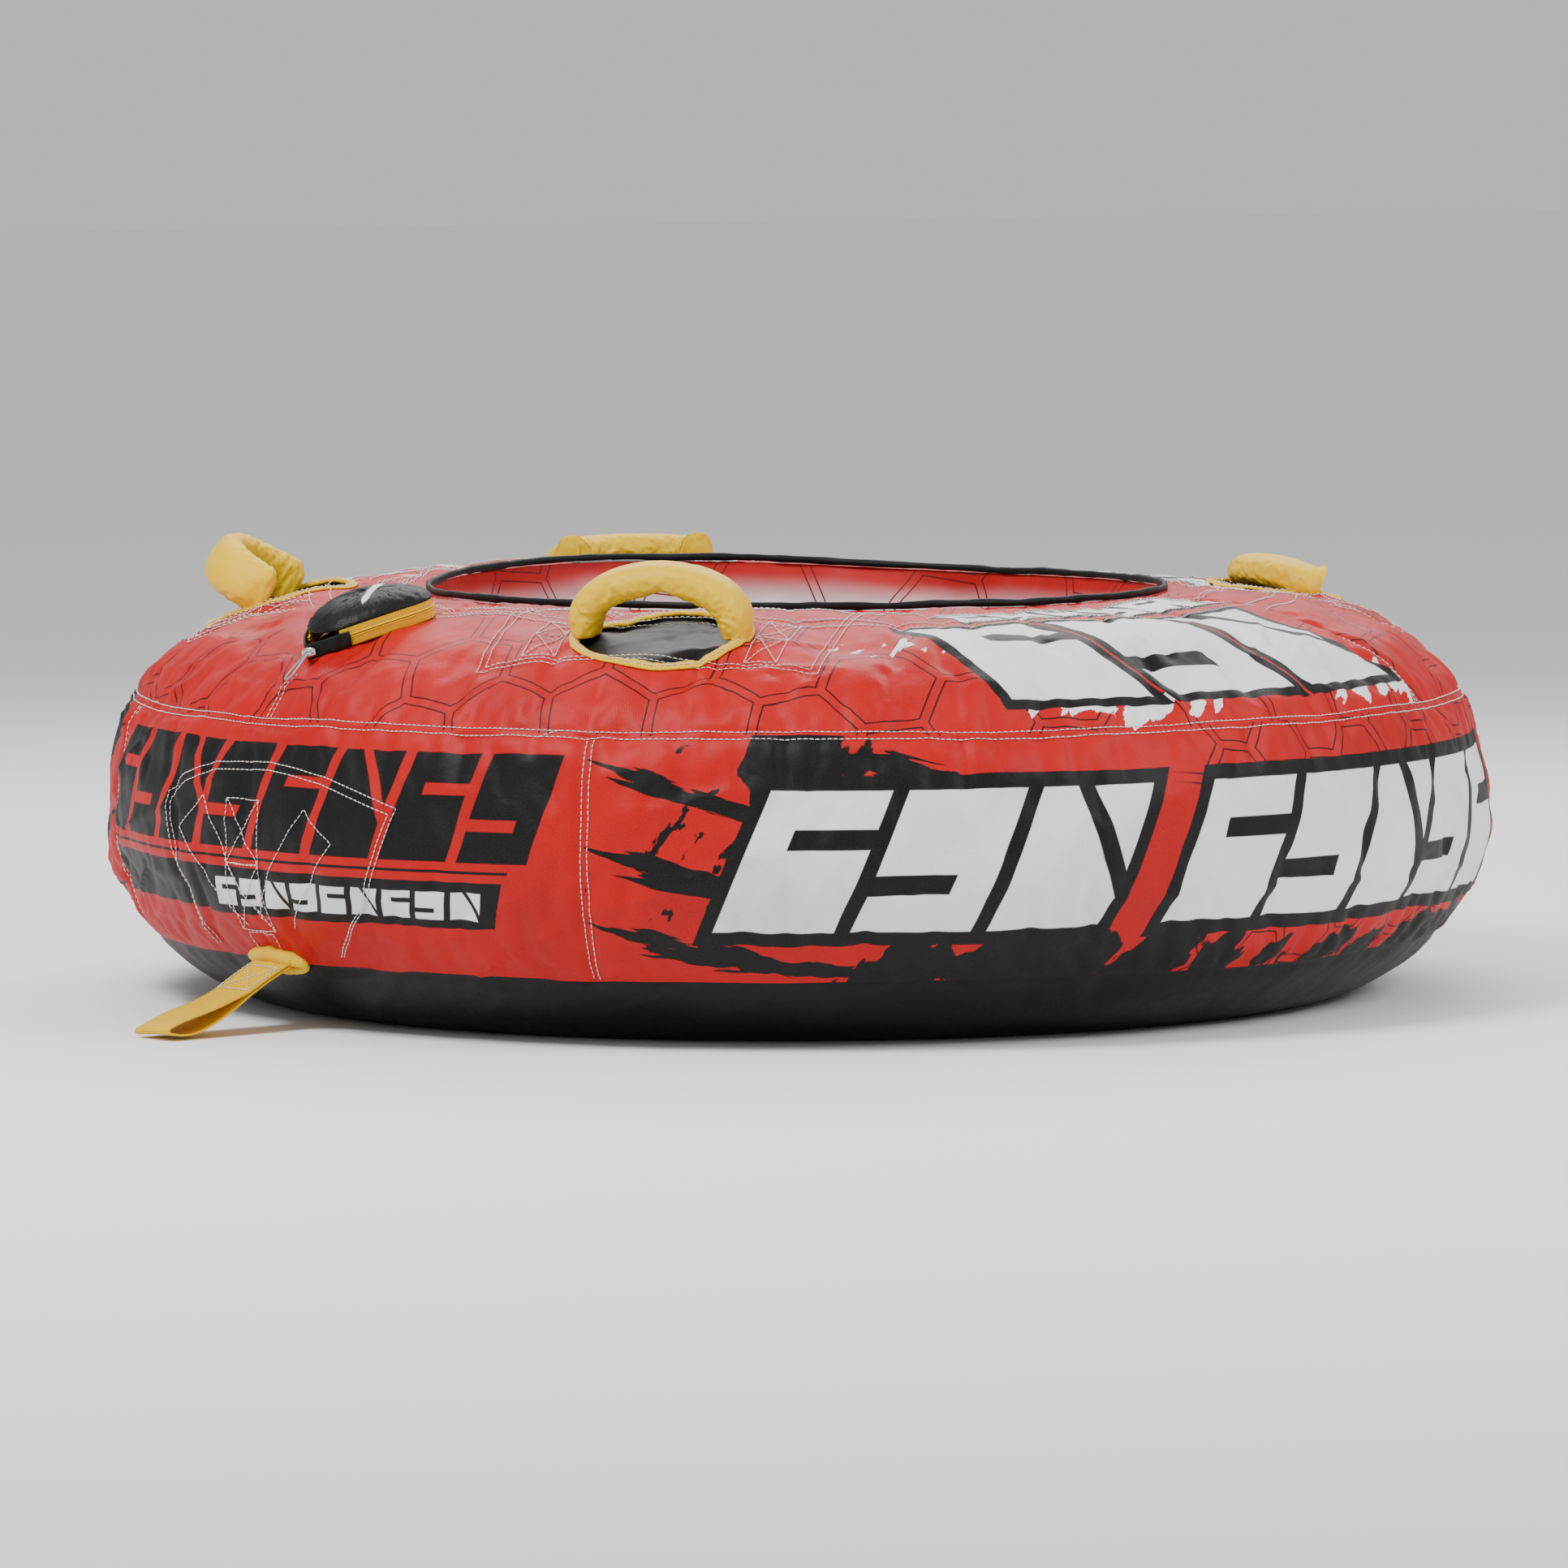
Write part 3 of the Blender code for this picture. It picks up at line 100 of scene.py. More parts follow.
@dataclass(frozen=True)
class Section:
    """Cross-section of the inflated tube, in radius and height."""

    tube_radius: float = 0.6105
    height: float = 0.352
    belt_height: float = 0.148
    well_radius: float = 0.3285
    shoulder_power: float = 2.7
    heel_power: float = 1.67
    contact_outer: float = 0.4724
    contact_inner: float = 0.400
    shoulder_seam: float = 0.264
    heel_seam: float = 0.058
    foot_radius: float = 0.345
    foot_height: float = 0.045
    bulge: float = 0.034
    lift: float = 0.012
    lift_angle: float = -95.0
    lift_half_width: float = 75.0

    def quarter(self, centre: Place, reach: Place, power: float, start: float, end: float) -> np.ndarray:
        """Points on a superellipse quarter.

        Args:
            centre: Radius and height of its centre.
            reach: Its two half axes.
            power: Its exponent.
            start: First angle from the horizontal, in degrees.
            end: Last angle.

        Returns:
            Radius and height of each point.
        """
        turn = np.radians(np.linspace(start, end, 400))
        across, up = np.cos(turn), np.sin(turn)
        radius = centre[0] + reach[0] * np.sign(across) * np.abs(across) ** (2.0 / power)
        height = centre[1] + reach[1] * np.sign(up) * np.abs(up) ** (2.0 / power)
        return np.column_stack((radius, height))

    def outline(self) -> np.ndarray:
        """The whole section from the crown, down the outside, under, and up the well wall."""
        width = self.tube_radius - self.well_radius
        shoulder = self.quarter((self.well_radius, self.belt_height), (width, self.height - self.belt_height),
                                self.shoulder_power, 90.0, 0.0)
        heel = self.quarter((self.contact_outer, self.belt_height),
                            (self.tube_radius - self.contact_outer, self.belt_height),
                            self.heel_power, 0.0, -90.0)
        turn = self.quarter((self.contact_inner, self.foot_height),
                            (self.contact_inner - self.foot_radius, self.foot_height), 2.0, 270.0, 180.0)
        share = np.linspace(0.0, 1.0, 60)[1:]
        wall = np.column_stack((
            self.foot_radius + (self.well_radius - self.foot_radius) * share
            - self.bulge * np.sin(math.pi * share),
            self.foot_height + (self.height - self.foot_height) * share,
        ))
        return np.vstack((shoulder, heel[1:], turn, wall))

    def lift_at(self, plan: np.ndarray, height: np.ndarray) -> np.ndarray:
        """How much prouder the tube stands at its right rear quarter.

        Args:
            plan: Plan angles.
            height: Heights before the lift.

        Returns:
            The extra height at each place.
        """
        away = np.abs(wrapped(plan - self.lift_angle))
        share = np.where(away < self.lift_half_width,
                         0.5 + 0.5 * np.cos(math.pi * away / self.lift_half_width), 0.0)
        return self.lift * share * np.clip(height / self.height, 0.0, None) ** 2


SECTION = Section()
AXIS_Y = float(sum(corner.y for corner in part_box("bladder")) * 0.5)


# ---------------------------------------------------------------- number fields


class Roughcast:
    """Seeded smooth noise over the cover, which closes on itself round the ring."""

    def __init__(self, seed: int) -> None:
        self.random = np.random.default_rng(seed)

    def field(self, around: np.ndarray, along: np.ndarray, cells: int, pitch: float) -> np.ndarray:
        """Smooth noise between -1 and 1.

        Args:
            around: Turns round the ring, 0 to 1.
            along: Distance the other way, in metres.
            cells: Lattice cells round the ring.
            pitch: Lattice pitch the other way.

        Returns:
            The noise at each place.
        """
        rows = 64
        lattice = self.random.uniform(-1.0, 1.0, (rows, cells))
        u, v = (around % 1.0) * cells, (along / pitch) % rows
        column, row = np.floor(u).astype(int), np.floor(v).astype(int)
        fu, fv = u - column, v - row
        fu, fv = fu * fu * (3.0 - 2.0 * fu), fv * fv * (3.0 - 2.0 * fv)
        right, below = (column + 1) % cells, (row + 1) % rows
        column, row = column % cells, row % rows
        upper = lattice[row, column] * (1.0 - fu) + lattice[row, right] * fu
        lower = lattice[below, column] * (1.0 - fu) + lattice[below, right] * fu
        return upper * (1.0 - fv) + lower * fv

    def at(self, around: float, along: float, cells: int, pitch: float) -> float:
        """The noise at one place."""
        return float(self.field(np.array((around,)), np.array((along,)), cells, pitch)[0])


def face_towards(piece: bpy.types.Object, way: Vector) -> None:
    """Turns a sheet over if its first face points away from a direction."""
    if Vector(piece.data.polygons[0].normal).dot(way) < 0.0:
        piece.data.flip_normals()


def spline_rows(values: np.ndarray, places: np.ndarray, wrap: bool) -> np.ndarray:
    """Smooth reading between the rows of an array.

    Args:
        values: The array; its first axis is read.
        places: Row numbers with fractions.
        wrap: Whether the last row meets the first.

    Returns:
        One row for each place.
    """
    count = len(values)
    base = np.floor(places).astype(int)
    share = (places - base).reshape((-1,) + (1,) * (values.ndim - 1))
    taken = []
    for offset in (-1, 0, 1, 2):
        index = base + offset
        taken.append(values[index % count if wrap else np.clip(index, 0, count - 1)])
    a, b, c, d = taken
    return 0.5 * (2.0 * b + (c - a) * share + (2.0 * a - 5.0 * b + 4.0 * c - d) * share ** 2
                  + (3.0 * b - a - 3.0 * c + d) * share ** 3)


# ---------------------------------------------------------------- meshes


def new_piece(name: str, vertices: Sequence, faces: Sequence,
              material: bpy.types.Material) -> bpy.types.Object:
    """A smooth-shaded object with one material.

    Args:
        name: Its name.
        vertices: Its points.
        faces: Its faces, as rows of point numbers.
        material: Its material.

    Returns:
        The new object, linked to the scene.
    """
    mesh = bpy.data.meshes.new(name)
    mesh.from_pydata([tuple(map(float, point)) for point in vertices], [],
                     [tuple(map(int, f)) for f in faces])
    mesh.update()
    mesh.shade_smooth()
    mesh.materials.append(material)
    piece = bpy.data.objects.new(name, mesh)
    bpy.context.scene.collection.objects.link(piece)
    return piece


def turn_faces_out(piece: bpy.types.Object) -> None:
    """Makes the faces of a closed piece point out."""
    work = bmesh.new()
    work.from_mesh(piece.data)
    bmesh.ops.recalc_face_normals(work, faces=work.faces)
    work.to_mesh(piece.data)
    work.free()


def grid_faces(rows: int, columns: int, close_rows: bool = False, close_columns: bool = False) -> list:
    """Faces of a grid of points.

    Args:
        rows: Rows of points.
        columns: Points in a row.
        close_rows: Whether the last row joins the first.
        close_columns: Whether each row joins up with itself.

    Returns:
        Four point numbers for each face.
    """
    faces = []
    for row in range(rows if close_rows else rows - 1):
        here, there = row * columns, ((row + 1) % rows) * columns
        for column in range(columns if close_columns else columns - 1):
            step = (column + 1) % columns
            faces.append((here + column, here + step, there + step, there + column))
    return faces


def tube_piece(name: str, rings: Sequence, material: bpy.types.Material,
               closed: bool = False) -> bpy.types.Object:
    """A skin through equal closed rings, with flat ends unless it closes on itself.

    Args:
        name: Its name.
        rings: The rings of points.
        material: Its material.
        closed: Whether the last ring joins the first.

    Returns:
        The new object.
    """
    count, sides = len(rings), len(rings[0])
    faces = grid_faces(count, sides, close_rows=closed, close_columns=True)
    if not closed:
        faces.append(tuple(range(sides)))
        faces.append(tuple(range((count - 1) * sides, count * sides)))
    piece = new_piece(name, [point for ring in rings for point in ring], faces, material)
    turn_faces_out(piece)
    return piece


def subdivide(piece: bpy.types.Object, levels: int = 1) -> None:
    """Adds a subdivision surface that looks the same on screen and in renders."""
    change = piece.modifiers.new("Subdivision", "SUBSURF")
    change.levels = change.render_levels = levels


def thicken(piece: bpy.types.Object, thickness: float) -> None:
    """Gives a sheet its thickness, inward."""
    change = piece.modifiers.new("Thickness", "SOLIDIFY")
    change.thickness = thickness
    change.offset = -1.0


def soften_edges(piece: bpy.types.Object, width: float) -> None:
    """Rounds the hard edges of a piece."""
    change = piece.modifiers.new("Edges", "BEVEL")
    change.width = width
    change.segments = 3
    change.limit_method = "ANGLE"


# ---------------------------------------------------------------- cloth


@dataclass(frozen=True)
class Cloth:
    """How one skin is inflated before it is used.

    Attributes:
        pressure: Push of the air inside.
        slack: Extra cloth, as a share of its size.
        stiffness: Resistance to stretching.
        bending: Resistance to folding.
        frames: Length of the simulation.
    """

    pressure: float = 4.0
    slack: float = 0.012
    stiffness: float = 15.0
    bending: float = 0.05
    frames: int = 20

    def inflate(self, points: np.ndarray, faces: list, pins: Iterable[int]) -> np.ndarray:
        """Runs the cloth with gravity off and some points held.

        Args:
            points: The skin before it fills, one row for each point.
            faces: Its faces.
            pins: Numbers of the points that are held.

        Returns:
            The points after the last frame.
        """
        mesh = bpy.data.meshes.new("cloth_work")
        mesh.from_pydata([tuple(point) for point in points.tolist()], [], faces)
        work = bpy.data.objects.new("cloth_work", mesh)
        bpy.context.scene.collection.objects.link(work)
        held = work.vertex_groups.new(name="held")
        held.add([int(pin) for pin in pins], 1.0, "REPLACE")
        change = work.modifiers.new("Cloth", "CLOTH")
        setting = change.settings
        setting.quality = 6
        setting.mass = 0.2
        setting.tension_stiffness = setting.compression_stiffness = self.stiffness
        setting.shear_stiffness = self.stiffness * 0.5
        setting.bending_stiffness = self.bending
        setting.air_damping = 2.0
        setting.use_pressure = True
        setting.uniform_pressure_force = self.pressure
        setting.shrink_min = -self.slack
        setting.vertex_group_mass = "held"
        setting.effector_weights.gravity = 0.0
        change.point_cache.frame_end = self.frames
        scene = bpy.context.scene
        for number in range(1, self.frames + 1):
            scene.frame_set(number)
        solved = work.evaluated_get(bpy.context.evaluated_depsgraph_get()).to_mesh()
        moved = np.empty(len(points) * 3, np.float32)
        solved.vertices.foreach_get("co", moved)
        bpy.data.objects.remove(work, do_unlink=True)
        scene.frame_set(1)
        return moved.reshape(-1, 3).astype(float)


# ---------------------------------------------------------------- the cover's skin


@dataclass
class Skin:
    """The wrinkled skin of the cover, as one grid of points that every sewn piece is laid on.

    Attributes:
        top_seams: Plan angles of the seams in the top.
        side_seams: Plan angles of the seams in the side.
        column_pitch: Distance between columns at the outside.
        row_pitch: Distance between rows.
    """

    top_seams: tuple[float, ...] = (0.0, 117.0, 240.0)
    side_seams: tuple[float, ...] = (-28.0, 33.6, 180.0)
    column_pitch: float = 0.0042
    row_pitch: float = 0.0048
    seam_groove: float = 0.0016
    pucker: float = 0.0042
    fold: float = 0.0068
    drops: np.ndarray = field(init=False)
    plans: np.ndarray = field(init=False)
    points: np.ndarray = field(init=False)
    normals: np.ndarray = field(init=False)

    def __post_init__(self) -> None:
        outline = SECTION.outline()
        steps = np.linalg.norm(np.diff(outline, axis=0), axis=1)
        self.outline = outline
        self.outline_drops = np.concatenate(([0.0], np.cumsum(steps)))
        crossing = len(outline) - 59
        self.shoulder_drop = self.drop_at_height(SECTION.shoulder_seam)
        self.heel_drop = self.drop_at_height(SECTION.heel_seam)
        self.foot_drop = float(self.outline_drops[crossing - 1])
        self.total_drop = float(self.outline_drops[-1])
        self.drops = self.row_places()
        self.plans = self.column_places()
        self.build()

    def drop_at_height(self, height: float) -> float:
        """Drop of the place on the outer side with that height."""
        outer = self.outline[:799]
        return float(np.interp(-height, -outer[:, 1], self.outline_drops[:799]))

    def drop_at_radius(self, radius: float) -> float:
        """Drop of the place on the top with that radius."""
        return float(np.interp(radius, self.outline[:400, 0], self.outline_drops[:400]))

    def base_height(self, radius: float) -> float:
        """Height of the smooth top at a radius, before the lift."""
        return float(np.interp(radius, self.outline[:400, 0], self.outline[:400, 1]))

    def row_places(self) -> np.ndarray:
        """Drops of the rows: even, and closer at the seams."""
        near = np.array((-0.011, -0.0075, -0.0048, -0.0032, -0.0016, 0.0,
                         0.0016, 0.0032, 0.0048, 0.0075, 0.011))
        return self.even_with_near(0.0, self.total_drop, self.row_pitch, near,
                                   (self.shoulder_drop, self.heel_drop),
                                   (0.0, self.foot_drop, self.total_drop))

    def column_places(self) -> np.ndarray:
        """Plan angles of the columns: even, and closer at the seams."""
        degree = math.degrees(1.0 / SECTION.tube_radius)
        near = np.array((-0.0085, -0.005, -0.0032, -0.0016, 0.0, 0.0016, 0.0032, 0.005, 0.0085)) * degree
        seams = tuple(angle % 360.0 for angle in self.top_seams + self.side_seams)
        return self.even_with_near(0.0, 360.0, self.column_pitch * degree, near, seams, (0.0,))[:-1]

    def even_with_near(self, start: float, end: float, pitch: float, near: np.ndarray,
                       seams: Iterable[float], kept: Iterable[float]) -> np.ndarray:
        """Even places with closer ones round each seam.

        Args:
            start: First place.
            end: Last place.
            pitch: Even distance.
            near: Distances from a seam at which places are added.
            seams: The seams.
            kept: Places that must be there.

        Returns:
            The places in order.
        """
        span = end - start
        even = np.linspace(start, end, int(round(span / pitch)) + 1)
        exact = []
        for seam in seams:
            away = np.abs((even - seam + span * 0.5) % span - span * 0.5)
            even = even[away > near[-1] + pitch * 0.4]
            exact.extend(start + (seam + near - start) % span)
        exact.extend(kept)
        exact = np.array(exact)
        clear = np.min(np.abs(even[:, None] - exact[None, :]), axis=1) > pitch * 0.4
        return np.unique(np.round(np.concatenate((even[clear], exact, (start, end))), 7))

    def smooth_points(self, plans: np.ndarray, drops: np.ndarray) -> tuple[np.ndarray, np.ndarray]:
        """The skin with no wrinkles.

        Args:
            plans: Plan angles of the columns.
            drops: Drops of the rows.

        Returns:
            Points and outward normals, by row and column.
        """
        radius = np.interp(drops, self.outline_drops, self.outline[:, 0])[:, None]
        height = np.interp(drops, self.outline_drops, self.outline[:, 1])[:, None]
        turn = np.radians(plans)[None, :]
        lifted = height + SECTION.lift_at(plans[None, :] + 0.0 * height, height + 0.0 * turn)
        points = np.stack((radius * np.sin(turn), AXIS_Y - radius * np.cos(turn), lifted), axis=-1)
        return points, self.grid_normals(points, plans, drops)

    def grid_normals(self, points: np.ndarray, plans: np.ndarray, drops: np.ndarray) -> np.ndarray:
        """Outward normals of a grid of points that closes round the ring."""
        wrapped = np.concatenate((points[:, -1:], points, points[:, :1]), axis=1)
        turns = np.concatenate(((plans[-1] - 360.0,), plans, (plans[0] + 360.0,)))
        around = np.gradient(wrapped, turns, axis=1)[:, 1:-1]
        down = np.gradient(points, drops, axis=0)
        normal = np.cross(down, around)
        normal /= np.maximum(np.linalg.norm(normal, axis=-1, keepdims=True), 1e-12)
        centre = np.array((0.0, AXIS_Y, SECTION.belt_height))
        middle = (SECTION.tube_radius + SECTION.well_radius) * 0.5
        turn = np.radians(plans)[None, :]
        core = np.stack((middle * np.sin(turn), centre[1] - middle * np.cos(turn), centre[2] + 0.0 * turn),
                        axis=-1)
        outward = np.sum((points - core) * normal, axis=-1, keepdims=True)
        return normal * np.sign(np.median(outward))

    def distance_to(self, seams: Iterable[float], plans: np.ndarray) -> np.ndarray:
        """Distance along the outside to the nearest of some seams, in metres."""
        away = [np.abs(wrapped(plans - seam)) for seam in seams]
        return np.radians(np.min(away, axis=0)) * SECTION.tube_radius

    def wrinkles(self) -> np.ndarray:
        """How far the skin stands off its smooth shape: grooves and puckers at seams, and soft folds."""
        plans, drops = np.meshgrid(self.plans, self.drops)
        around = plans / 360.0
        rough = Roughcast(11)
        height = np.zeros_like(plans)
        on_side = (drops > self.shoulder_drop) & (drops < self.heel_drop)
        on_top = drops <= self.shoulder_drop
        for seam, reach, strength in ((self.shoulder_drop, 0.034, 1.0), (self.heel_drop, 0.024, 0.7),
                                      (0.0, 0.022, 0.55)):
            away = np.abs(drops - seam)
            lean = around + (drops - seam) * 0.10 * np.sin(around * 2.0 * math.pi * 5.0)
            fine = rough.field(lean, drops - seam, 210, 0.050)
            wide = rough.field(lean + 0.13, drops - seam, 92, 0.070)
            gate = 0.35 + 0.65 * np.clip(rough.field(around, drops * 0.0, 26, 1.0) + 0.45, 0.0, 1.0)
            edge = 1.0 - np.exp(-(away / 0.006) ** 2)
            near = self.pucker * strength * gate * edge * np.exp(-away / reach)
            height += near * (0.75 * fine + 0.6 * wide)
            height -= self.seam_groove * strength * np.exp(-(away / 0.0085) ** 2)
            height += 0.0009 * strength * np.exp(-(away / 0.0026) ** 2)
        for seams, area in ((self.top_seams, on_top), (self.side_seams, on_side)):
            away = self.distance_to(seams, plans)
            fine = rough.field(around * 3.0, drops, 90, 0.017)
            edge = 1.0 - np.exp(-(away / 0.006) ** 2)
            height += area * self.pucker * 0.8 * edge * np.exp(-away / 0.030) * fine
            height -= area * self.seam_groove * np.exp(-(away / 0.0085) ** 2)
            height += area * 0.0008 * np.exp(-(away / 0.0026) ** 2)
        skew = around + drops * 0.16
        broad = rough.field(skew, drops, 34, 0.055)
        broad = broad + 0.6 * rough.field(around - drops * 0.2, drops, 58, 0.034)
        soft = 1.0 - np.exp(-((drops - self.heel_drop) / 0.05) ** 2) * 0.5
        height += self.fold * 0.5 * broad * soft
        crease = rough.field(around + drops * 0.42, drops, 60, 0.045)
        height += self.fold * 0.45 * (np.exp(-(crease / 0.16) ** 2) - 0.25) * np.clip(
            rough.field(around, drops, 17, 0.09) + 0.1, 0.0, 1.0)
        flat = np.clip((self.base_heights(drops) - 0.004) / 0.03, 0.0, 1.0)
        flat = flat * (1.0 - np.exp(-(np.minimum(drops, self.total_drop - drops) / 0.012) ** 2))
        return height * flat

    def base_heights(self, drops: np.ndarray) -> np.ndarray:
        """Height of the smooth skin at each drop, before the lift."""
        return np.interp(drops, self.outline_drops, self.outline[:, 1])

    def simulated(self) -> np.ndarray:
        """Folds from inflating the cover as cloth between its seams, read on the fine grid."""
        columns, rows = 400, 56
        plans = np.arange(columns) * 360.0 / columns
        drops = np.linspace(0.0, self.heel_drop, rows)
        shoulder = int(np.argmin(np.abs(drops - self.shoulder_drop)))
        drops[shoulder] = self.shoulder_drop
        smooth, normals = self.smooth_points(plans, drops)
        grid = np.arange(rows * columns).reshape(rows, columns)
        held = [grid[0], grid[-1], grid[shoulder]]
        for seams, low, high in ((self.top_seams, 0, shoulder), (self.side_seams, shoulder, rows)):
            for seam in seams:
                held.append(grid[low:high, int(round(seam / 360.0 * columns)) % columns])
        faces = grid_faces(rows, columns, close_columns=True)
        rough = Roughcast(5)
        start = smooth + normals * (0.0006 * rough.field(
            np.tile(plans / 360.0, (rows, 1)), np.tile(drops[:, None], (1, columns)), 260, 0.02))[..., None]
        moved = Cloth(pressure=2.2, slack=0.014, bending=0.02).inflate(
            start.reshape(-1, 3), [tuple(reversed(face)) for face in faces], np.concatenate(held))
        offset = np.sum((moved.reshape(rows, columns, 3) - smooth) * normals, axis=-1)
        offset -= offset.mean(axis=1, keepdims=True)
        offset = np.clip(offset, -0.007, 0.007)
        LOG.info("cover cloth moved between %.1f and %.1f mm", offset.min() * 1000, offset.max() * 1000)
        fine = spline_rows(offset.T, self.plans / 360.0 * columns, True).T
        inside = self.drops <= self.heel_drop
        places = np.interp(self.drops[inside], drops, np.arange(rows))
        result = np.zeros((len(self.drops), len(self.plans)))
        result[inside] = spline_rows(fine, places, False)
        return result

    def build(self) -> None:
        """Makes the final points and normals."""
        smooth, normals = self.smooth_points(self.plans, self.drops)
        height = self.wrinkles()
        height = height + self.simulated()
        self.points = smooth + normals * height[..., None]
        self.points[..., 2] = np.maximum(self.points[..., 2], 0.0)
        self.normals = self.grid_normals(self.points, self.plans, self.drops)

    def read(self, plans: np.ndarray, drops: np.ndarray, proud: float | np.ndarray = 0.0) -> np.ndarray:
        """Points on the skin.

        Args:
            plans: Plan angles.
            drops: Drops.
            proud: Distance outside the skin.

        Returns:
            One row for each place.
        """
        plans, drops = np.asarray(plans, float) % 360.0, np.asarray(drops, float)
        turns = np.concatenate((self.plans, (360.0,)))
        column = np.interp(plans, turns, np.arange(len(turns)))
        row = np.interp(drops, self.drops, np.arange(len(self.drops)))
        left, upper = np.floor(column).astype(int), np.minimum(np.floor(row).astype(int), len(self.drops) - 2)
        fc, fr = (column - left)[..., None], (row - upper)[..., None]
        right = (left + 1) % len(self.plans)
        left = left % len(self.plans)
        result = []
        for grid in (self.points, self.normals):
            top = grid[upper, left] * (1.0 - fc) + grid[upper, right] * fc
            low = grid[upper + 1, left] * (1.0 - fc) + grid[upper + 1, right] * fc
            result.append(top * (1.0 - fr) + low * fr)
        return result[0] + result[1] * np.asarray(proud)[..., None]

    def normal(self, plan: float, drop: float) -> Vector:
        """The outward direction at one place."""
        pair = self.read(np.array((plan, plan)), np.array((drop, drop)), np.array((0.0, 1.0)))
        return Vector(pair[1] - pair[0]).normalized()

    def strip(self, name: str, panel: Panel, material: bpy.types.Material, start: float = 0.0,
              end: float = 360.0, holes: Sequence["Hole"] = ()) -> bpy.types.Object:
        """One cut panel of the cover, with its holes and its print map.

        Args:
            name: The panel's name.
            panel: Which run of the section it belongs to.
            material: Its material.
            start: First plan angle.
            end: Last plan angle.
            holes: Openings to leave.

        Returns:
            The panel as a sheet.
        """
        low, high = self.run(panel)
        rows = np.where((self.drops >= low - 1e-6) & (self.drops <= high + 1e-6))[0]
        if end - start >= 360.0:
            columns = np.arange(len(self.plans))
            columns = np.concatenate((columns, columns[:1]))
            angles = np.concatenate((self.plans, (360.0,)))
        else:
            turned = (self.plans - start) % 360.0
            columns = np.where(turned <= end - start + 1e-4)[0]
            columns = columns[np.argsort(turned[columns])]
            first = int(np.argmin(np.abs(wrapped(self.plans - start))))
            if columns[0] != first:
                columns = np.concatenate(((first,), columns))
            angles = start + ((self.plans[columns] - start + 1e-3) % 360.0)
        points = self.points[np.ix_(rows, columns)].reshape(-1, 3)
        plans = np.tile(angles, len(rows))
        drops = np.repeat(self.drops[rows], len(columns))
        faces = np.array(grid_faces(len(rows), len(columns)))
        for hole in holes:
            faces = hole.cut(self, faces, points, plans, drops)
        used, faces = np.unique(faces, return_inverse=True)
        faces = faces.reshape(-1, 4)
        piece = new_piece(name, points[used], faces, material)
        chart = self.chart(panel, plans[used], drops[used])
        layer = piece.data.uv_layers.new(name=UV_NAME)
        layer.uv.foreach_set("vector", chart[faces.ravel()].astype(np.float32).ravel())
        face_towards(piece, Vector(self.normals[rows[0], columns[0]]))
        return piece

    def run(self, panel: Panel) -> Place:
        """First and last drop of a run of cloth."""
        return {Panel.TOP: (0.0, self.shoulder_drop), Panel.SIDE: (self.shoulder_drop, self.heel_drop),
                Panel.BOTTOM: (self.heel_drop, self.foot_drop),
                Panel.WALL: (self.foot_drop, self.total_drop)}[panel]

    def cut_area(self, panel: Panel, start: float = 0.0, end: float = 360.0,
                 holes: Sequence["Hole"] = ()) -> float:
        """Flat area of a panel as it is cut, from the smooth section alone.

        Args:
            panel: Which run of the section it belongs to.
            start: First plan angle.
            end: Last plan angle.
            holes: Openings cut out of it.

        Returns:
            Square metres of cloth, before it is filled or wrinkled.
        """
        drops = np.linspace(*self.run(panel), 600)
        reach = np.interp(drops, self.outline_drops, self.outline[:, 0])
        length = float(np.sum((reach[1:] + reach[:-1]) * np.diff(drops)) * 0.5)
        return length * math.radians(end - start) - sum(hole.area() for hole in holes)

    def chart(self, panel: Panel, plans: np.ndarray, drops: np.ndarray) -> np.ndarray:
        """Flat places of points on the cloth, in metres: the cut pattern that prints are drawn on."""
        turn = np.radians(plans if panel is Panel.WALL else wrapped(plans))
        if panel is Panel.TOP:
            reach = SECTION.well_radius + drops
            return np.column_stack((reach * np.sin(turn), -reach * np.cos(turn)))
        radius = SECTION.well_radius if panel is Panel.WALL else SECTION.tube_radius
        origin = self.total_drop if panel is Panel.WALL else self.shoulder_drop
        return np.column_stack((turn * radius, drops - origin))


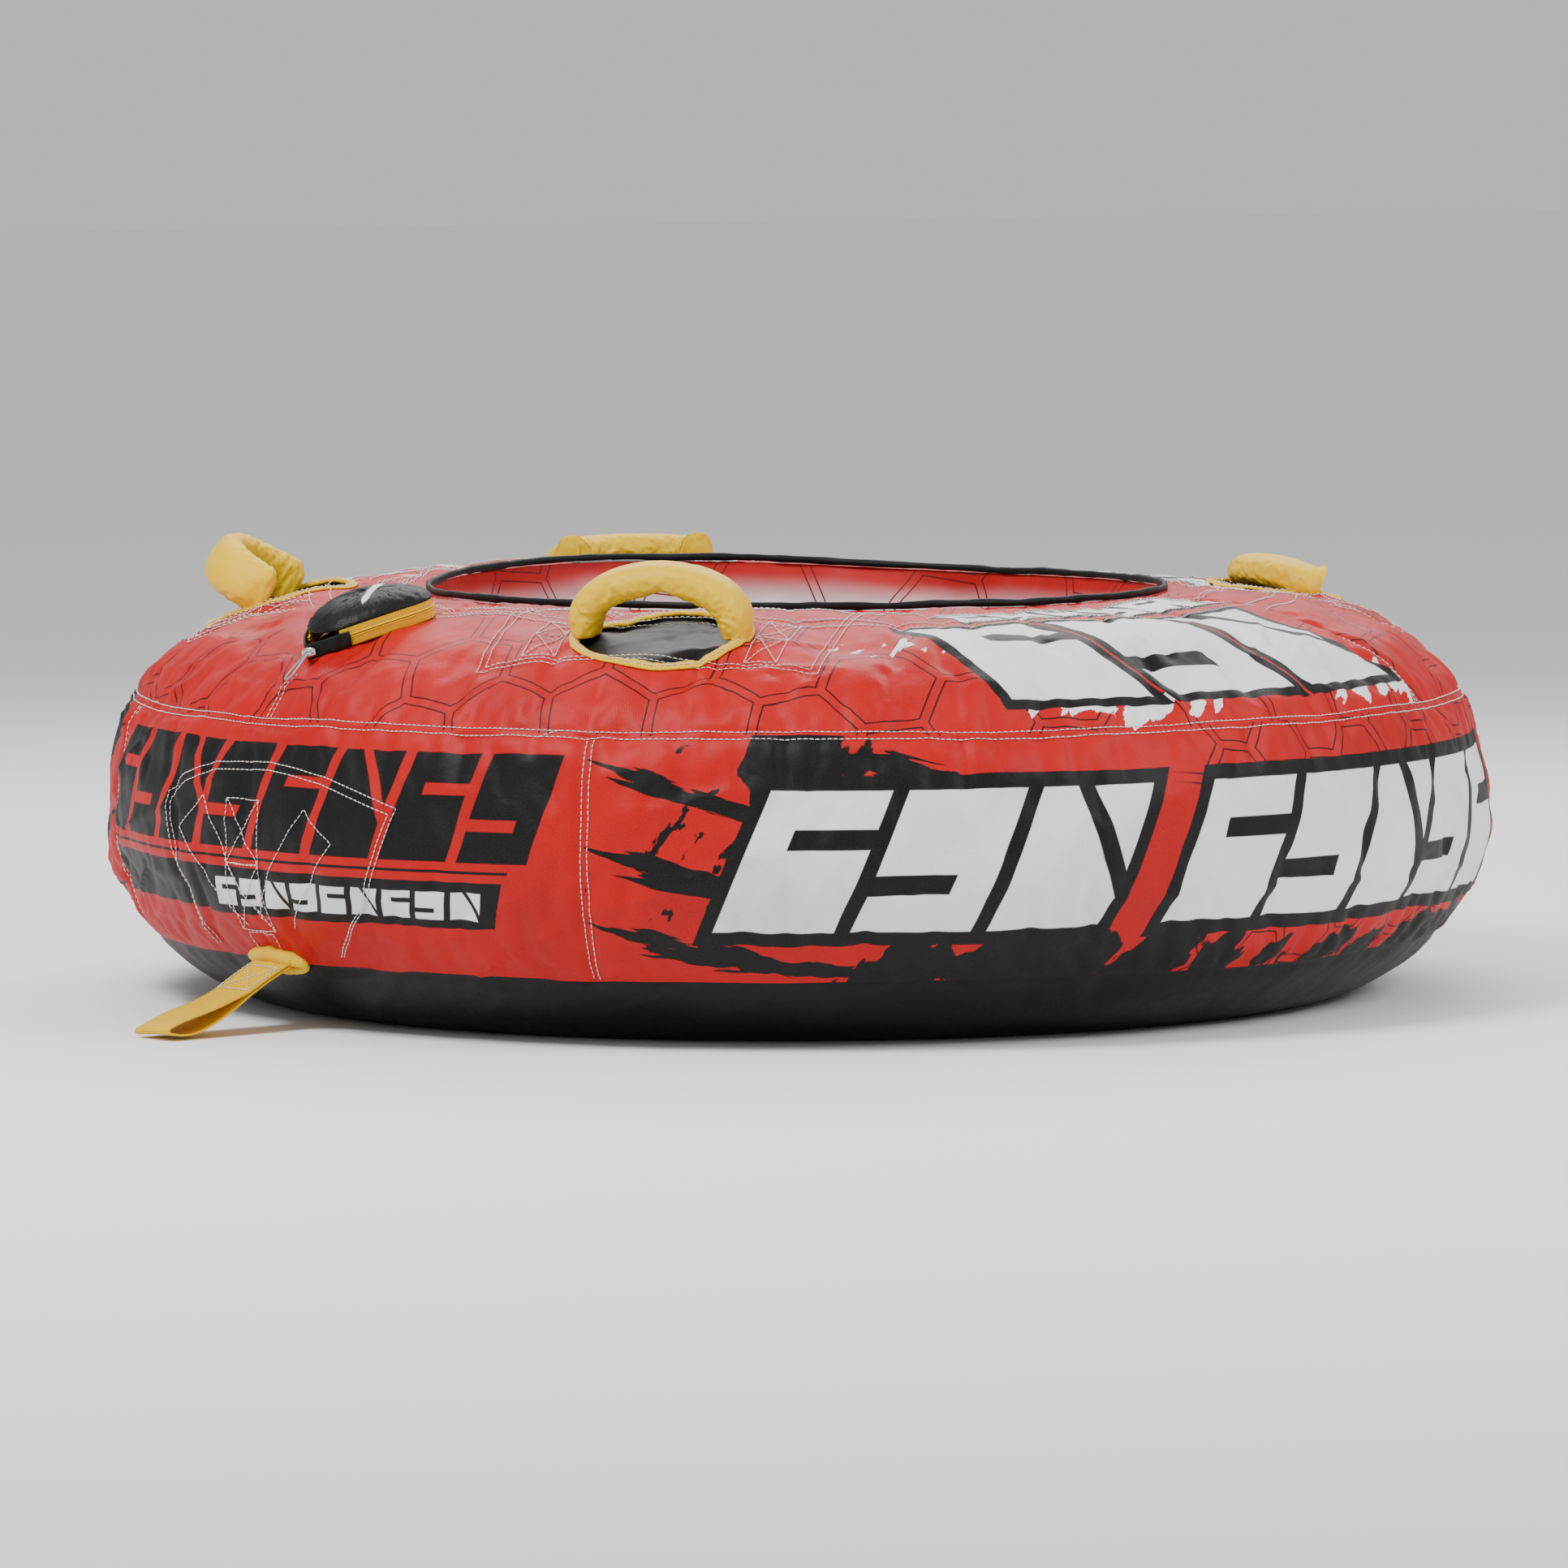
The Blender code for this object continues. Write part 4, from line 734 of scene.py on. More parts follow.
@dataclass(frozen=True)
class Hole:
    """An opening in a panel, drawn in a local frame on the cover.

    Attributes:
        spot: Where it is.
        reach: For a direction from its middle, the distance to its edge.
        middle: Its middle in the local frame.
        share: How much of it lies in each panel that it is cut from.
    """

    spot: "Spot"
    reach: Callable[[np.ndarray], np.ndarray]
    middle: Place = (0.0, 0.0)
    share: float = 1.0

    def area(self) -> float:
        """Area that it takes out of one panel."""
        turn = np.linspace(-math.pi, math.pi, 720, endpoint=False)
        return self.share * math.pi * float(np.mean(self.reach(turn) ** 2))

    def cut(self, skin: Skin, faces: np.ndarray, points: np.ndarray, plans: np.ndarray,
            drops: np.ndarray) -> np.ndarray:
        """Takes faces out and draws the panel's edge to the outline.

        Args:
            skin: The cover's skin.
            faces: The panel's faces.
            points: Its points, which change at the edge.
            plans: Plan angles of the points, which change too.
            drops: Drops of the points, which change too.

        Returns:
            The faces that stay.
        """
        local = self.spot.local(points) - np.array(self.middle)
        distance = np.linalg.norm(local, axis=1)
        near = self.spot.near(points)
        turn = np.arctan2(local[:, 1], local[:, 0])
        inside = near & (distance < self.reach(turn))
        gone = inside[faces].all(axis=1)
        kept = faces[~gone]
        edge = np.intersect1d(np.unique(kept), np.where(inside)[0])
        rim = self.reach(turn[edge])
        ways = np.column_stack((np.cos(turn[edge]), np.sin(turn[edge])))
        target = ways * rim[:, None] + np.array(self.middle)
        for index, (u, v) in zip(edge, target):
            plan, drop = self.spot.place(u, v)
            points[index] = skin.read(np.array((plan,)), np.array((drop,)))[0]
            drops[index] = drop
            plans[index] += wrapped(plan - plans[index])
        return kept


@dataclass
class Spot:
    """A place on the top of the cover with axes along the ring and down the slope.

    Attributes:
        skin: The cover's skin.
        plan: Its plan angle.
        radius: Its distance from the tube's axis.
    """

    skin: Skin
    plan: float
    radius: float

    def __post_init__(self) -> None:
        turn = math.radians(self.plan)
        self.outward = Vector((math.sin(turn), -math.cos(turn), 0.0))
        self.along = Vector((math.cos(turn), math.sin(turn), 0.0))
        step = 0.001
        rise = self.skin.base_height(self.radius + step) - self.skin.base_height(self.radius - step)
        self.down = (self.outward * 2.0 * step + Vector((0.0, 0.0, rise))).normalized()
        self.up = self.down.cross(self.along)
        if self.up.z < 0.0:
            self.up.negate()
        self.origin = self.outward * self.radius + Vector((0.0, AXIS_Y, self.height(self.plan, self.radius)))

    def height(self, plan: float, radius: float) -> float:
        """Height of the smooth top."""
        base = self.skin.base_height(radius)
        return base + float(SECTION.lift_at(np.array(plan), np.array(base)))

    def world(self, u: float, v: float, n: float = 0.0) -> Vector:
        """A point in the local frame, along, down and up."""
        return self.origin + self.along * u + self.down * v + self.up * n

    def local(self, points: np.ndarray) -> np.ndarray:
        """Points read along the local axes."""
        away = points - np.array(self.origin)
        return np.column_stack((away @ np.array(self.along), away @ np.array(self.down)))

    def near(self, points: np.ndarray) -> np.ndarray:
        """Whether points are round this spot and on the same side of the tube."""
        away = np.linalg.norm(points - np.array(self.origin), axis=1)
        return (away < 0.2) & (points[:, 2] > SECTION.shoulder_seam - 0.02)

    def settle(self, u: float, v: float) -> Vector:
        """The point of the smooth cover under a local point."""
        point = self.world(u, v)
        for _ in range(4):
            radius = math.hypot(point.x, point.y - AXIS_Y)
            plan = math.degrees(math.atan2(point.x, AXIS_Y - point.y))
            point += self.up * (self.height(plan, radius) - point.z) / self.up.z
        return point

    def place(self, u: float, v: float) -> Place:
        """Plan angle and drop of the cover under a local point."""
        point = self.settle(u, v)
        radius = math.hypot(point.x, point.y - AXIS_Y)
        plan = math.degrees(math.atan2(point.x, AXIS_Y - point.y))
        return plan, self.skin.drop_at_radius(radius)

    def places(self, outline: Iterable[Place]) -> list[Place]:
        """Plan angle and drop under each of some local points."""
        return [self.place(u, v) for u, v in outline]

    def on_skin(self, u: float, v: float, proud: float = 0.0) -> Vector:
        """A point over the wrinkled cover."""
        plan, drop = self.place(u, v)
        return Vector(self.skin.read(np.array((plan,)), np.array((drop,)), np.array((proud,)))[0])


# ---------------------------------------------------------------- shader nodes

Colour = tuple[float, float, float]


class Value:
    """What a node gives, which can be used in sums."""

    def __init__(self, graph: "Graph", socket: Socket) -> None:
        self.graph = graph
        self.socket = socket

    def __add__(self, other) -> "Value":
        """This plus another."""
        return self.graph.math("ADD", self, other)

    def __radd__(self, other) -> "Value":
        """A plain number plus this."""
        return self.graph.math("ADD", other, self)

    def __sub__(self, other) -> "Value":
        """This less another."""
        return self.graph.math("SUBTRACT", self, other)

    def __rsub__(self, other) -> "Value":
        """A plain number less this."""
        return self.graph.math("SUBTRACT", other, self)

    def __mul__(self, other) -> "Value":
        """This times another."""
        return self.graph.math("MULTIPLY", self, other)

    def __rmul__(self, other) -> "Value":
        """A plain number times this."""
        return self.graph.math("MULTIPLY", other, self)

    def __truediv__(self, other) -> "Value":
        """This over another."""
        return self.graph.math("DIVIDE", self, other)

    def __rtruediv__(self, other) -> "Value":
        """A plain number over this."""
        return self.graph.math("DIVIDE", other, self)


class Graph:
    """Writes nodes in one node tree."""

    def __init__(self, tree: bpy.types.NodeTree) -> None:
        self.tree = tree

    def node(self, kind: str, **settings) -> bpy.types.Node:
        """A new node of a kind with its settings."""
        made = self.tree.nodes.new(kind)
        for key, value in settings.items():
            setattr(made, key, value)
        return made

    def feed(self, target: Socket, value) -> None:
        """Links a socket, or sets a plain value, on an input."""
        value = value.socket if isinstance(value, Value) else value
        if isinstance(value, bpy.types.NodeSocket):
            self.tree.links.new(value, target)
        elif target.type == "RGBA":
            target.default_value = (*value[:3], 1.0)
        else:
            target.default_value = value

    def math(self, operation: str, *values, clamp: bool = False) -> Value:
        """The result of one sum."""
        made = self.node("ShaderNodeMath", operation=operation, use_clamp=clamp)
        for target, value in zip(made.inputs, values):
            self.feed(target, value)
        return Value(self, made.outputs[0])

    def vector(self, operation: str, *values) -> Value:
        """The result of one vector sum."""
        made = self.node("ShaderNodeVectorMath", operation=operation)
        for target, value in zip(made.inputs, values):
            self.feed(target, value)
        label = "Value" if operation in ("DOT_PRODUCT", "LENGTH", "DISTANCE") else "Vector"
        return Value(self, made.outputs[label])

    def scaled(self, vector, scale) -> Value:
        """A vector times a number."""
        made = self.node("ShaderNodeVectorMath", operation="SCALE")
        self.feed(made.inputs[0], vector)
        self.feed(made.inputs["Scale"], scale)
        return Value(self, made.outputs[0])

    def split(self, vector) -> tuple[Value, Value, Value]:
        """The three parts of a vector."""
        made = self.node("ShaderNodeSeparateXYZ")
        self.feed(made.inputs[0], vector)
        return tuple(Value(self, made.outputs[index]) for index in range(3))

    def joined(self, x=0.0, y=0.0, z=0.0) -> Value:
        """A vector from three parts."""
        made = self.node("ShaderNodeCombineXYZ")
        for target, value in zip(made.inputs, (x, y, z)):
            self.feed(target, value)
        return Value(self, made.outputs[0])

    def noise(self, vector, scale: float, detail: float = 2.0) -> Value:
        """Smooth noise from 0 to 1."""
        made = self.node("ShaderNodeTexNoise")
        self.feed(made.inputs["Vector"], vector)
        made.inputs["Scale"].default_value = scale
        made.inputs["Detail"].default_value = detail
        return Value(self, made.outputs[0])

    def step(self, value, low, high) -> Value:
        """0 below low and 1 above high, with a smooth rise between."""
        made = self.node("ShaderNodeMapRange", interpolation_type="SMOOTHSTEP")
        self.feed(made.inputs["Value"], value)
        self.feed(made.inputs["From Min"], low)
        self.feed(made.inputs["From Max"], high)
        return Value(self, made.outputs[0])

    def mix(self, share, first, second) -> Value:
        """One colour over another."""
        made = self.node("ShaderNodeMix", data_type="RGBA")
        self.feed(made.inputs[0], share)
        self.feed(made.inputs[6], first)
        self.feed(made.inputs[7], second)
        return Value(self, made.outputs[2])

    def within(self, value, low: float, high: float, soft: float) -> Value:
        """1 between two values, 0 outside them."""
        return self.step(value, low, low + soft) * self.step(value, high, high - soft)

    def call(self, group: bpy.types.NodeTree, output: str, **values) -> Value:
        """One output of a node group."""
        made = self.node("ShaderNodeGroup", node_tree=group)
        for key, value in values.items():
            self.feed(made.inputs[key], value)
        return Value(self, made.outputs[output])


def shared_group(name: str, inputs: Sequence[tuple[str, str]], outputs: Sequence[tuple[str, str]],
                 write: Callable) -> bpy.types.NodeTree:
    """A shader node group.

    Args:
        name: Its name.
        inputs: Name and socket kind of each input.
        outputs: Name and socket kind of each output.
        write: Called with the graph and the input sockets, and returns the output sockets.

    Returns:
        The group.
    """
    tree = bpy.data.node_groups.new(name, "ShaderNodeTree")
    for label, kind in inputs:
        tree.interface.new_socket(label, in_out="INPUT", socket_type=f"NodeSocket{kind}")
    for label, kind in outputs:
        tree.interface.new_socket(label, in_out="OUTPUT", socket_type=f"NodeSocket{kind}")
    graph = Graph(tree)
    entry, leave = graph.node("NodeGroupInput"), graph.node("NodeGroupOutput")
    results = write(graph, [Value(graph, entry.outputs[label]) for label, _ in inputs])
    for (label, _), result in zip(outputs, results):
        graph.feed(leave.inputs[label], result)
    return tree


@dataclass
class Effects:
    """The shared shader effects, each one node group."""

    def __post_init__(self) -> None:
        vector, number, colour = "Vector", "Float", "Color"
        self.hexagons = shared_group(
            "hexagon_lines", [("Place", vector), ("Cell", number), ("Gap", number), ("Line", number)],
            [("Mask", number)], self.write_hexagons)
        self.blocks = shared_group(
            "slanted_blocks",
            [("Place", vector), ("Pitch", number), ("Count", number), ("Half Width", number),
             ("Half Height", number), ("Slant", number), ("Cut", number)],
            [("Distance", number)], self.write_blocks)
        self.stroke = shared_group(
            "brush_stroke", [("Place", vector), ("Start", vector), ("End", vector), ("Width", number)],
            [("Mask", number)], self.write_stroke)
        self.splatter = shared_group(
            "splatter", [("Place", vector), ("Size", number), ("Amount", number)], [("Mask", number)],
            self.write_splatter)
        self.tone = shared_group(
            "cloth_tone", [("Colour", colour), ("Place", vector)],
            [("Colour", colour), ("Roughness", number)],
            self.write_tone)
        self.weave = shared_group(
            "weave", [("Place", vector), ("Pitch", number), ("Crumple", number)], [("Height", number)],
            self.write_weave)
        self.ribs = shared_group(
            "webbing_ribs", [("Place", vector), ("Pitch", number)], [("Height", number), ("Mask", number)],
            self.write_ribs)
        self.scuffs = shared_group(
            "scuffs", [("Place", vector), ("Scale", number)], [("Mask", number), ("Height", number)],
            self.write_scuffs)

    def write_hexagons(self, graph: Graph, sockets: list) -> list:
        """A double line along every side of a honeycomb."""
        place, cell, gap, line = sockets
        scaled = graph.vector("ADD", graph.scaled(place, 1.0 / cell), (86.5, 86.6025, 0.0))
        repeat, half = (1.0, 1.7320508, 1.0), (0.5, 0.8660254, 0.5)
        near = graph.vector("SUBTRACT", graph.vector("MODULO", scaled, repeat), half)
        shifted = graph.vector("SUBTRACT", scaled, half)
        far = graph.vector("SUBTRACT", graph.vector("MODULO", shifted, repeat), half)
        distances = []
        for cell_vector in (near, far):
            flat = graph.vector("MULTIPLY", graph.vector("ABSOLUTE", cell_vector), (1.0, 1.0, 0.0))
            slant = graph.vector("DOT_PRODUCT", flat, half[:2] + (0.0,))
            distances.append(graph.math("MAXIMUM", slant, graph.split(flat)[0]))
        nearest = graph.math("MINIMUM", *distances)
        edge = (0.5 - nearest) * cell
        away = graph.math("ABSOLUTE", edge - gap)
        return [graph.step(away, line, line * 0.45)]

    def write_blocks(self, graph: Graph, sockets: list) -> list:
        """Signed distance to a row of leaning blocks with cuts in them."""
        place, pitch, count, half_width, half_height, slant, cut = sockets
        x, y, _ = graph.split(place)
        leaned = x + y * slant
        index = graph.math("FLOOR", leaned / pitch)
        index = graph.math("MINIMUM", graph.math("MAXIMUM", index, 0.0), count - 1.0)
        centre = (index + 0.5) * pitch
        local = leaned - centre
        block = graph.math("MAXIMUM", graph.math("ABSOLUTE", local) - half_width,
                           graph.math("ABSOLUTE", y) - half_height)
        odd = graph.math("MODULO", index, 2.0)
        side = 1.0 - odd * 2.0
        mirrored = local * side
        bar = graph.math("ABSOLUTE", y + half_height * (side * 0.32)) - cut
        slot = graph.math("MAXIMUM", bar, half_width * -0.35 - mirrored)
        diagonal = local * 0.8 + y * -0.6
        diagonal = graph.math("ABSOLUTE", diagonal + half_height * -0.45) - cut * 0.8
        third = graph.math("COMPARE", graph.math("MODULO", index, 3.0), 2.0, 0.1)
        choice = third * diagonal + (1.0 - third) * slot
        return [graph.math("MAXIMUM", block, choice * -1.0)]

    def write_stroke(self, graph: Graph, sockets: list) -> list:
        """A dry brush stroke from one point to another."""
        place, start, end, width = sockets
        span = graph.vector("SUBTRACT", end, start)
        length = graph.vector("LENGTH", span)
        along = graph.scaled(span, 1.0 / length)
        away = graph.vector("SUBTRACT", place, start)
        run = graph.vector("DOT_PRODUCT", away, along)
        x, y, _ = graph.split(along)
        across = graph.vector("DOT_PRODUCT", away, graph.joined(y * -1.0, x))
        grain = graph.noise(graph.joined(run * 14.0, across * 130.0), 1.0, 3.0)
        share = run / length
        taper = graph.step(share, -0.05, 0.35) * graph.step(share, 1.08, 0.8)
        wave = (graph.noise(place, 22.0, 3.0) - 0.5) * (width * 0.9)
        edge = graph.math("ABSOLUTE", across) + wave
        edge = edge + (grain - 0.46) * (width * 2.6)
        return [graph.step(edge, width * taper, width * taper - 0.0007) * graph.step(taper, 0.02, 0.08)]

    def write_splatter(self, graph: Graph, sockets: list) -> list:
        """Torn blots of paint."""
        place, size, amount = sockets
        scaled = graph.scaled(place, 1.0 / size)
        x, y, _ = graph.split(scaled)
        leaned = graph.joined(x + y * 0.5, y * 0.55)
        blot = graph.noise(leaned, 1.0, 4.0)
        return [graph.step(blot, 0.68 - amount * 0.3, 0.695 - amount * 0.3)]

    def write_tone(self, graph: Graph, sockets: list) -> list:
        """Small changes of tone and shine over dyed or printed cloth."""
        colour, place = sockets
        cloud = graph.noise(place, 9.0, 3.0)
        thread = graph.noise(place, 900.0, 1.0)
        darker = graph.step(cloud, 0.62, 0.3) * 0.12
        toned = graph.mix(darker, colour, (0.004, 0.0, 0.0))
        paler = graph.step(thread, 0.45, 0.8) * 0.012
        toned = graph.mix(paler, toned, (0.9, 0.86, 0.84))
        shine = 0.4 + cloud * 0.14
        return [toned, shine]

    def write_weave(self, graph: Graph, sockets: list) -> list:
        """Height of a plain weave with fine crumples."""
        place, pitch, crumple = sockets
        x, y, _ = graph.split(graph.scaled(place, math.pi / pitch))
        over = graph.math("SINE", x) * graph.math("SINE", y)
        fine = graph.noise(place, 55.0, 3.0)
        wide = graph.noise(graph.vector("MULTIPLY", place, (1.0, 0.45, 1.0)), 21.0, 2.0)
        folds = fine * 0.35 + wide
        return [over * 6e-05 + folds * crumple]

    def write_ribs(self, graph: Graph, sockets: list) -> list:
        """Ribs across a strap, with a herringbone step in them, and a mask of the rib grooves for painted
        shade.
        """
        place, pitch = sockets
        x, y, _ = graph.split(graph.scaled(place, 2.0 * math.pi / pitch))
        turn = y + graph.math("SINE", x * 0.35) * 0.8
        rib = graph.math("SINE", turn)
        cross = graph.math("SINE", x * 1.3)
        height = rib * 0.00018 + cross * 5e-05
        # The mask is 1 down in the grooves, where painted shade goes.
        return [height, graph.step(rib, -0.2, -0.95)]

    def write_scuffs(self, graph: Graph, sockets: list) -> list:
        """Fine scratches and a pebbled face for hard parts."""
        place, scale = sockets
        scaled = graph.scaled(place, scale)
        lines = graph.noise(graph.vector("MULTIPLY", scaled, (0.15, 3.0, 1.2)), 1.0, 3.0)
        pebbles = graph.noise(scaled, 2.6, 2.0)
        return [graph.step(lines, 0.6, 0.74), pebbles * 0.0001]


@dataclass(frozen=True)
class Palette:
    """Colours of the cloth, thread and hard parts, in linear light."""

    red: Colour = (0.470, 0.0002, 0.0008)
    deep_red: Colour = (0.130, 0.0008, 0.001)
    black: Colour = (0.0015, 0.0015, 0.0017)
    line: Colour = (0.020, 0.0004, 0.0006)
    white: Colour = (0.80, 0.80, 0.83)
    yellow: Colour = (0.860, 0.530, 0.0)
    amber: Colour = (0.72, 0.330, 0.0)
    thread: Colour = (0.78, 0.74, 0.70)
    steel: Colour = (0.55, 0.55, 0.56)
    grey: Colour = (0.24, 0.24, 0.25)
    vinyl: Colour = (0.09, 0.11, 0.15)


PALETTE = Palette()


class Print(Enum):
    """What is printed on a cloth panel."""

    PLAIN = "plain"
    TOP_LEFT = "top_left"
    TOP_RIGHT = "top_right"
    TOP_REAR = "top_rear"
    TOW = "tow"
    SIDE_LEFT = "side_left"
    SIDE_RIGHT = "side_right"
    WELL = "well"


@dataclass(frozen=True)
class Cloths:
    """Makes the materials of every soft piece.

    Attributes:
        effects: The shared shader effects.
    """

    effects: Effects

    def start(self, name: str) -> tuple[bpy.types.Material, Graph, bpy.types.Node]:
        """A new material with its graph and its main shader."""
        material = bpy.data.materials.new(name)
        material.use_nodes = True
        graph = Graph(material.node_tree)
        shader = next(node for node in material.node_tree.nodes if node.type == "BSDF_PRINCIPLED")
        return material, graph, shader

    def chart(self, graph: Graph) -> Socket:
        """Place on the cut cloth, in metres."""
        return graph.node("ShaderNodeUVMap", uv_map=UV_NAME).outputs[0]

    def solid(self, graph: Graph) -> Socket:
        """Place in the piece, in metres."""
        return graph.node("ShaderNodeTexCoord").outputs["Object"]

    def finish_cloth(self, graph: Graph, shader: bpy.types.Node, colour, place: Socket, pitch: float = 0.0009,
                     crumple: float = 0.0028, sheen: float = 0.0) -> None:
        """Joins colour, shine and weave to a shader.

        Args:
            graph: The material's graph.
            shader: Its main shader.
            colour: Colour or colour socket.
            place: Place socket in metres.
            pitch: Distance between threads.
            crumple: Height of the fine crumples.
            sheen: Soft edge light of the threads.
        """
        effects = self.effects
        graph.feed(shader.inputs["Base Color"], graph.call(effects.tone, "Colour", Colour=colour,
                                                           Place=place))
        graph.feed(shader.inputs["Roughness"], graph.call(effects.tone, "Roughness", Colour=colour,
                                                          Place=place))
        shader.inputs["Sheen Weight"].default_value = sheen
        shader.inputs["Sheen Roughness"].default_value = 0.4
        shader.inputs["Specular IOR Level"].default_value = 0.22
        self.bump(graph, shader, graph.call(effects.weave, "Height", Place=place, Pitch=pitch,
                                            Crumple=crumple))

    def bump(self, graph: Graph, shader: bpy.types.Node, height: Socket, strength: float = 1.0) -> None:
        """Joins a height in metres to a shader's normal."""
        bump = graph.node("ShaderNodeBump")
        bump.inputs["Strength"].default_value = strength
        bump.inputs["Distance"].default_value = 1.0
        graph.feed(bump.inputs["Height"], height)
        graph.feed(shader.inputs["Normal"], bump.outputs[0])

    def panel(self, kind: Print, base: Colour) -> bpy.types.Material:
        """Printed cover cloth.

        Args:
            kind: The print.
            base: Colour of the cloth under the print.

        Returns:
            The material.
        """
        material, graph, shader = self.start(f"cloth_{kind.value}_{'dark' if base[0] < 0.1 else 'dyed'}")
        place = self.chart(graph)
        colour = base
        if kind is not Print.PLAIN:
            colour = getattr(self, f"print_{kind.value}")(graph, place)
        self.finish_cloth(graph, shader, colour, place)
        return material

    def honeycomb(self, graph: Graph, place: Socket, under, cell: float = 0.092, line: Colour = PALETTE.line,
                  gate: Socket | None = None) -> Socket:
        """Double honeycomb lines over a colour."""
        turned = graph.node("ShaderNodeVectorRotate", rotation_type="Z_AXIS")
        graph.feed(turned.inputs["Vector"], place)
        turned.inputs["Angle"].default_value = 0.42
        mask = graph.call(self.effects.hexagons, "Mask", Place=turned.outputs[0], Cell=cell, Gap=0.0042,
                          Line=0.0010)
        if gate is not None:
            mask = mask * gate
        return graph.mix(mask, under, line)

    def blocks(self, graph: Graph, place: Socket, origin: Place, pitch: float, count: int, half_height: float,
               slant: float, cut: float, fill: float = 0.42) -> Socket:
        """Distance to a row of leaning blocks that starts at a place."""
        moved = graph.vector("SUBTRACT", place, (origin[0], origin[1], 0.0))
        return graph.call(self.effects.blocks, "Distance", Place=moved, Pitch=pitch, Count=float(count),
                          **{"Half Width": pitch * fill, "Half Height": half_height, "Slant": slant,
                             "Cut": cut})

    def outlined(self, graph: Graph, under, distance: Socket, outline: float, fill: Colour) -> Socket:
        """Blocks with a heavy black outline over a colour."""
        dark = graph.mix(graph.step(distance, outline + 0.0006, outline - 0.0006), under, PALETTE.black)
        return graph.mix(graph.step(distance, 0.0006, -0.0006), dark, fill)

    def strokes(self, graph: Graph, place: Socket, under, runs: Sequence, colour: Colour) -> Socket:
        """Dry brush strokes over a colour.

        Args:
            graph: The material's graph.
            place: Place socket.
            under: Colour under the strokes.
            runs: Start, end and half width of each stroke.
            colour: Paint colour.

        Returns:
            The painted colour.
        """
        for start, end, width in runs:
            mask = graph.call(self.effects.stroke, "Mask", Place=place, Start=(*start, 0.0), End=(*end, 0.0),
                              Width=width)
            under = graph.mix(mask, under, colour)
        return under

    def blots(self, graph: Graph, place: Socket, under, centre: Place, reach: Place, size: float,
              amount: float,
              colour: Colour) -> Socket:
        """Torn blots inside an oval region."""
        away = graph.vector("MULTIPLY", graph.vector("SUBTRACT", place, (*centre, 0.0)),
                            (1.0 / reach[0], 1.0 / reach[1], 0.0))
        share = 1.0 - graph.vector("LENGTH", away)
        local = graph.step(share, -0.1, 0.8) * amount
        mask = graph.call(self.effects.splatter, "Mask", Place=place, Size=size, Amount=local)
        mask = mask * graph.step(share, 0.0, 0.06)
        return graph.mix(mask, under, colour)

    def polar(self, graph: Graph, place: Socket, radius: float = 0.50) -> Socket:
        """Place on the flat top as arc length at a radius, and distance from the tube's axis."""
        x, y, _ = graph.split(place)
        turn = graph.math("ARCTAN2", x, y * -1.0)
        return graph.joined(turn * radius, graph.vector("LENGTH", place))

    def print_top_left(self, graph: Graph, place: Socket) -> Socket:
        """Honeycomb with a band of large outlined blocks and white blots."""
        colour = self.honeycomb(graph, place, PALETTE.red)
        ring = self.polar(graph, place)
        colour = self.blots(graph, ring, colour, (0.70, 0.588), (0.12, 0.030), 0.018, 0.85, PALETTE.white)
        colour = self.blots(graph, ring, colour, (0.98, 0.585), (0.10, 0.035), 0.020, 0.95, PALETTE.white)
        colour = self.blots(graph, ring, colour, (0.52, 0.50), (0.07, 0.035), 0.014, 0.35, PALETTE.white)
        small = self.blocks(graph, ring, (0.60, 0.398), 0.060, 9, 0.022, -0.35, 0.0040)
        colour = self.outlined(graph, colour, small, 0.006, PALETTE.white)
        large = self.blocks(graph, ring, (0.560, 0.512), 0.142, 3, 0.066, -0.45, 0.0090)
        return self.outlined(graph, colour, large, 0.010, PALETTE.white)

    def print_top_rear(self, graph: Graph, place: Socket) -> Socket:
        """Honeycomb with outlined blocks towards the well."""
        colour = self.honeycomb(graph, place, PALETTE.red)
        x, y, _ = graph.split(self.polar(graph, graph.vector("MULTIPLY", place, (1.0, -1.0, 1.0))))
        ring = graph.joined(x + 0.3, y)
        colour = self.blots(graph, ring, colour, (0.25, 0.53), (0.30, 0.06), 0.022, 0.70, PALETTE.white)
        small = self.blocks(graph, ring, (0.02, 0.392), 0.060, 9, 0.020, -0.35, 0.004)
        colour = self.outlined(graph, colour, small, 0.007, PALETTE.white)
        large = self.blocks(graph, ring, (0.06, 0.485), 0.118, 4, 0.046, -0.45, 0.0075)
        return self.outlined(graph, colour, large, 0.010, PALETTE.white)

    def print_top_right(self, graph: Graph, place: Socket) -> Socket:
        """Honeycomb, a black quarter, and white brush work between."""
        colour = self.honeycomb(graph, place, PALETTE.red)
        ring = self.polar(graph, place)
        angle = graph.split(ring)[0]
        ragged = angle + graph.noise(place, 16.0, 4.0) * 0.1
        dark = graph.step(ragged, -0.766, -0.772)
        runs = [((-0.72 + 0.045 * k, 0.36 + 0.02 * (k % 2)), (-0.66 + 0.045 * k, 0.60),
                 0.012) for k in range(4)]
        colour = self.strokes(graph, ring, colour, runs, PALETTE.white)
        return graph.mix(dark, colour, (0.012, 0.0125, 0.013))

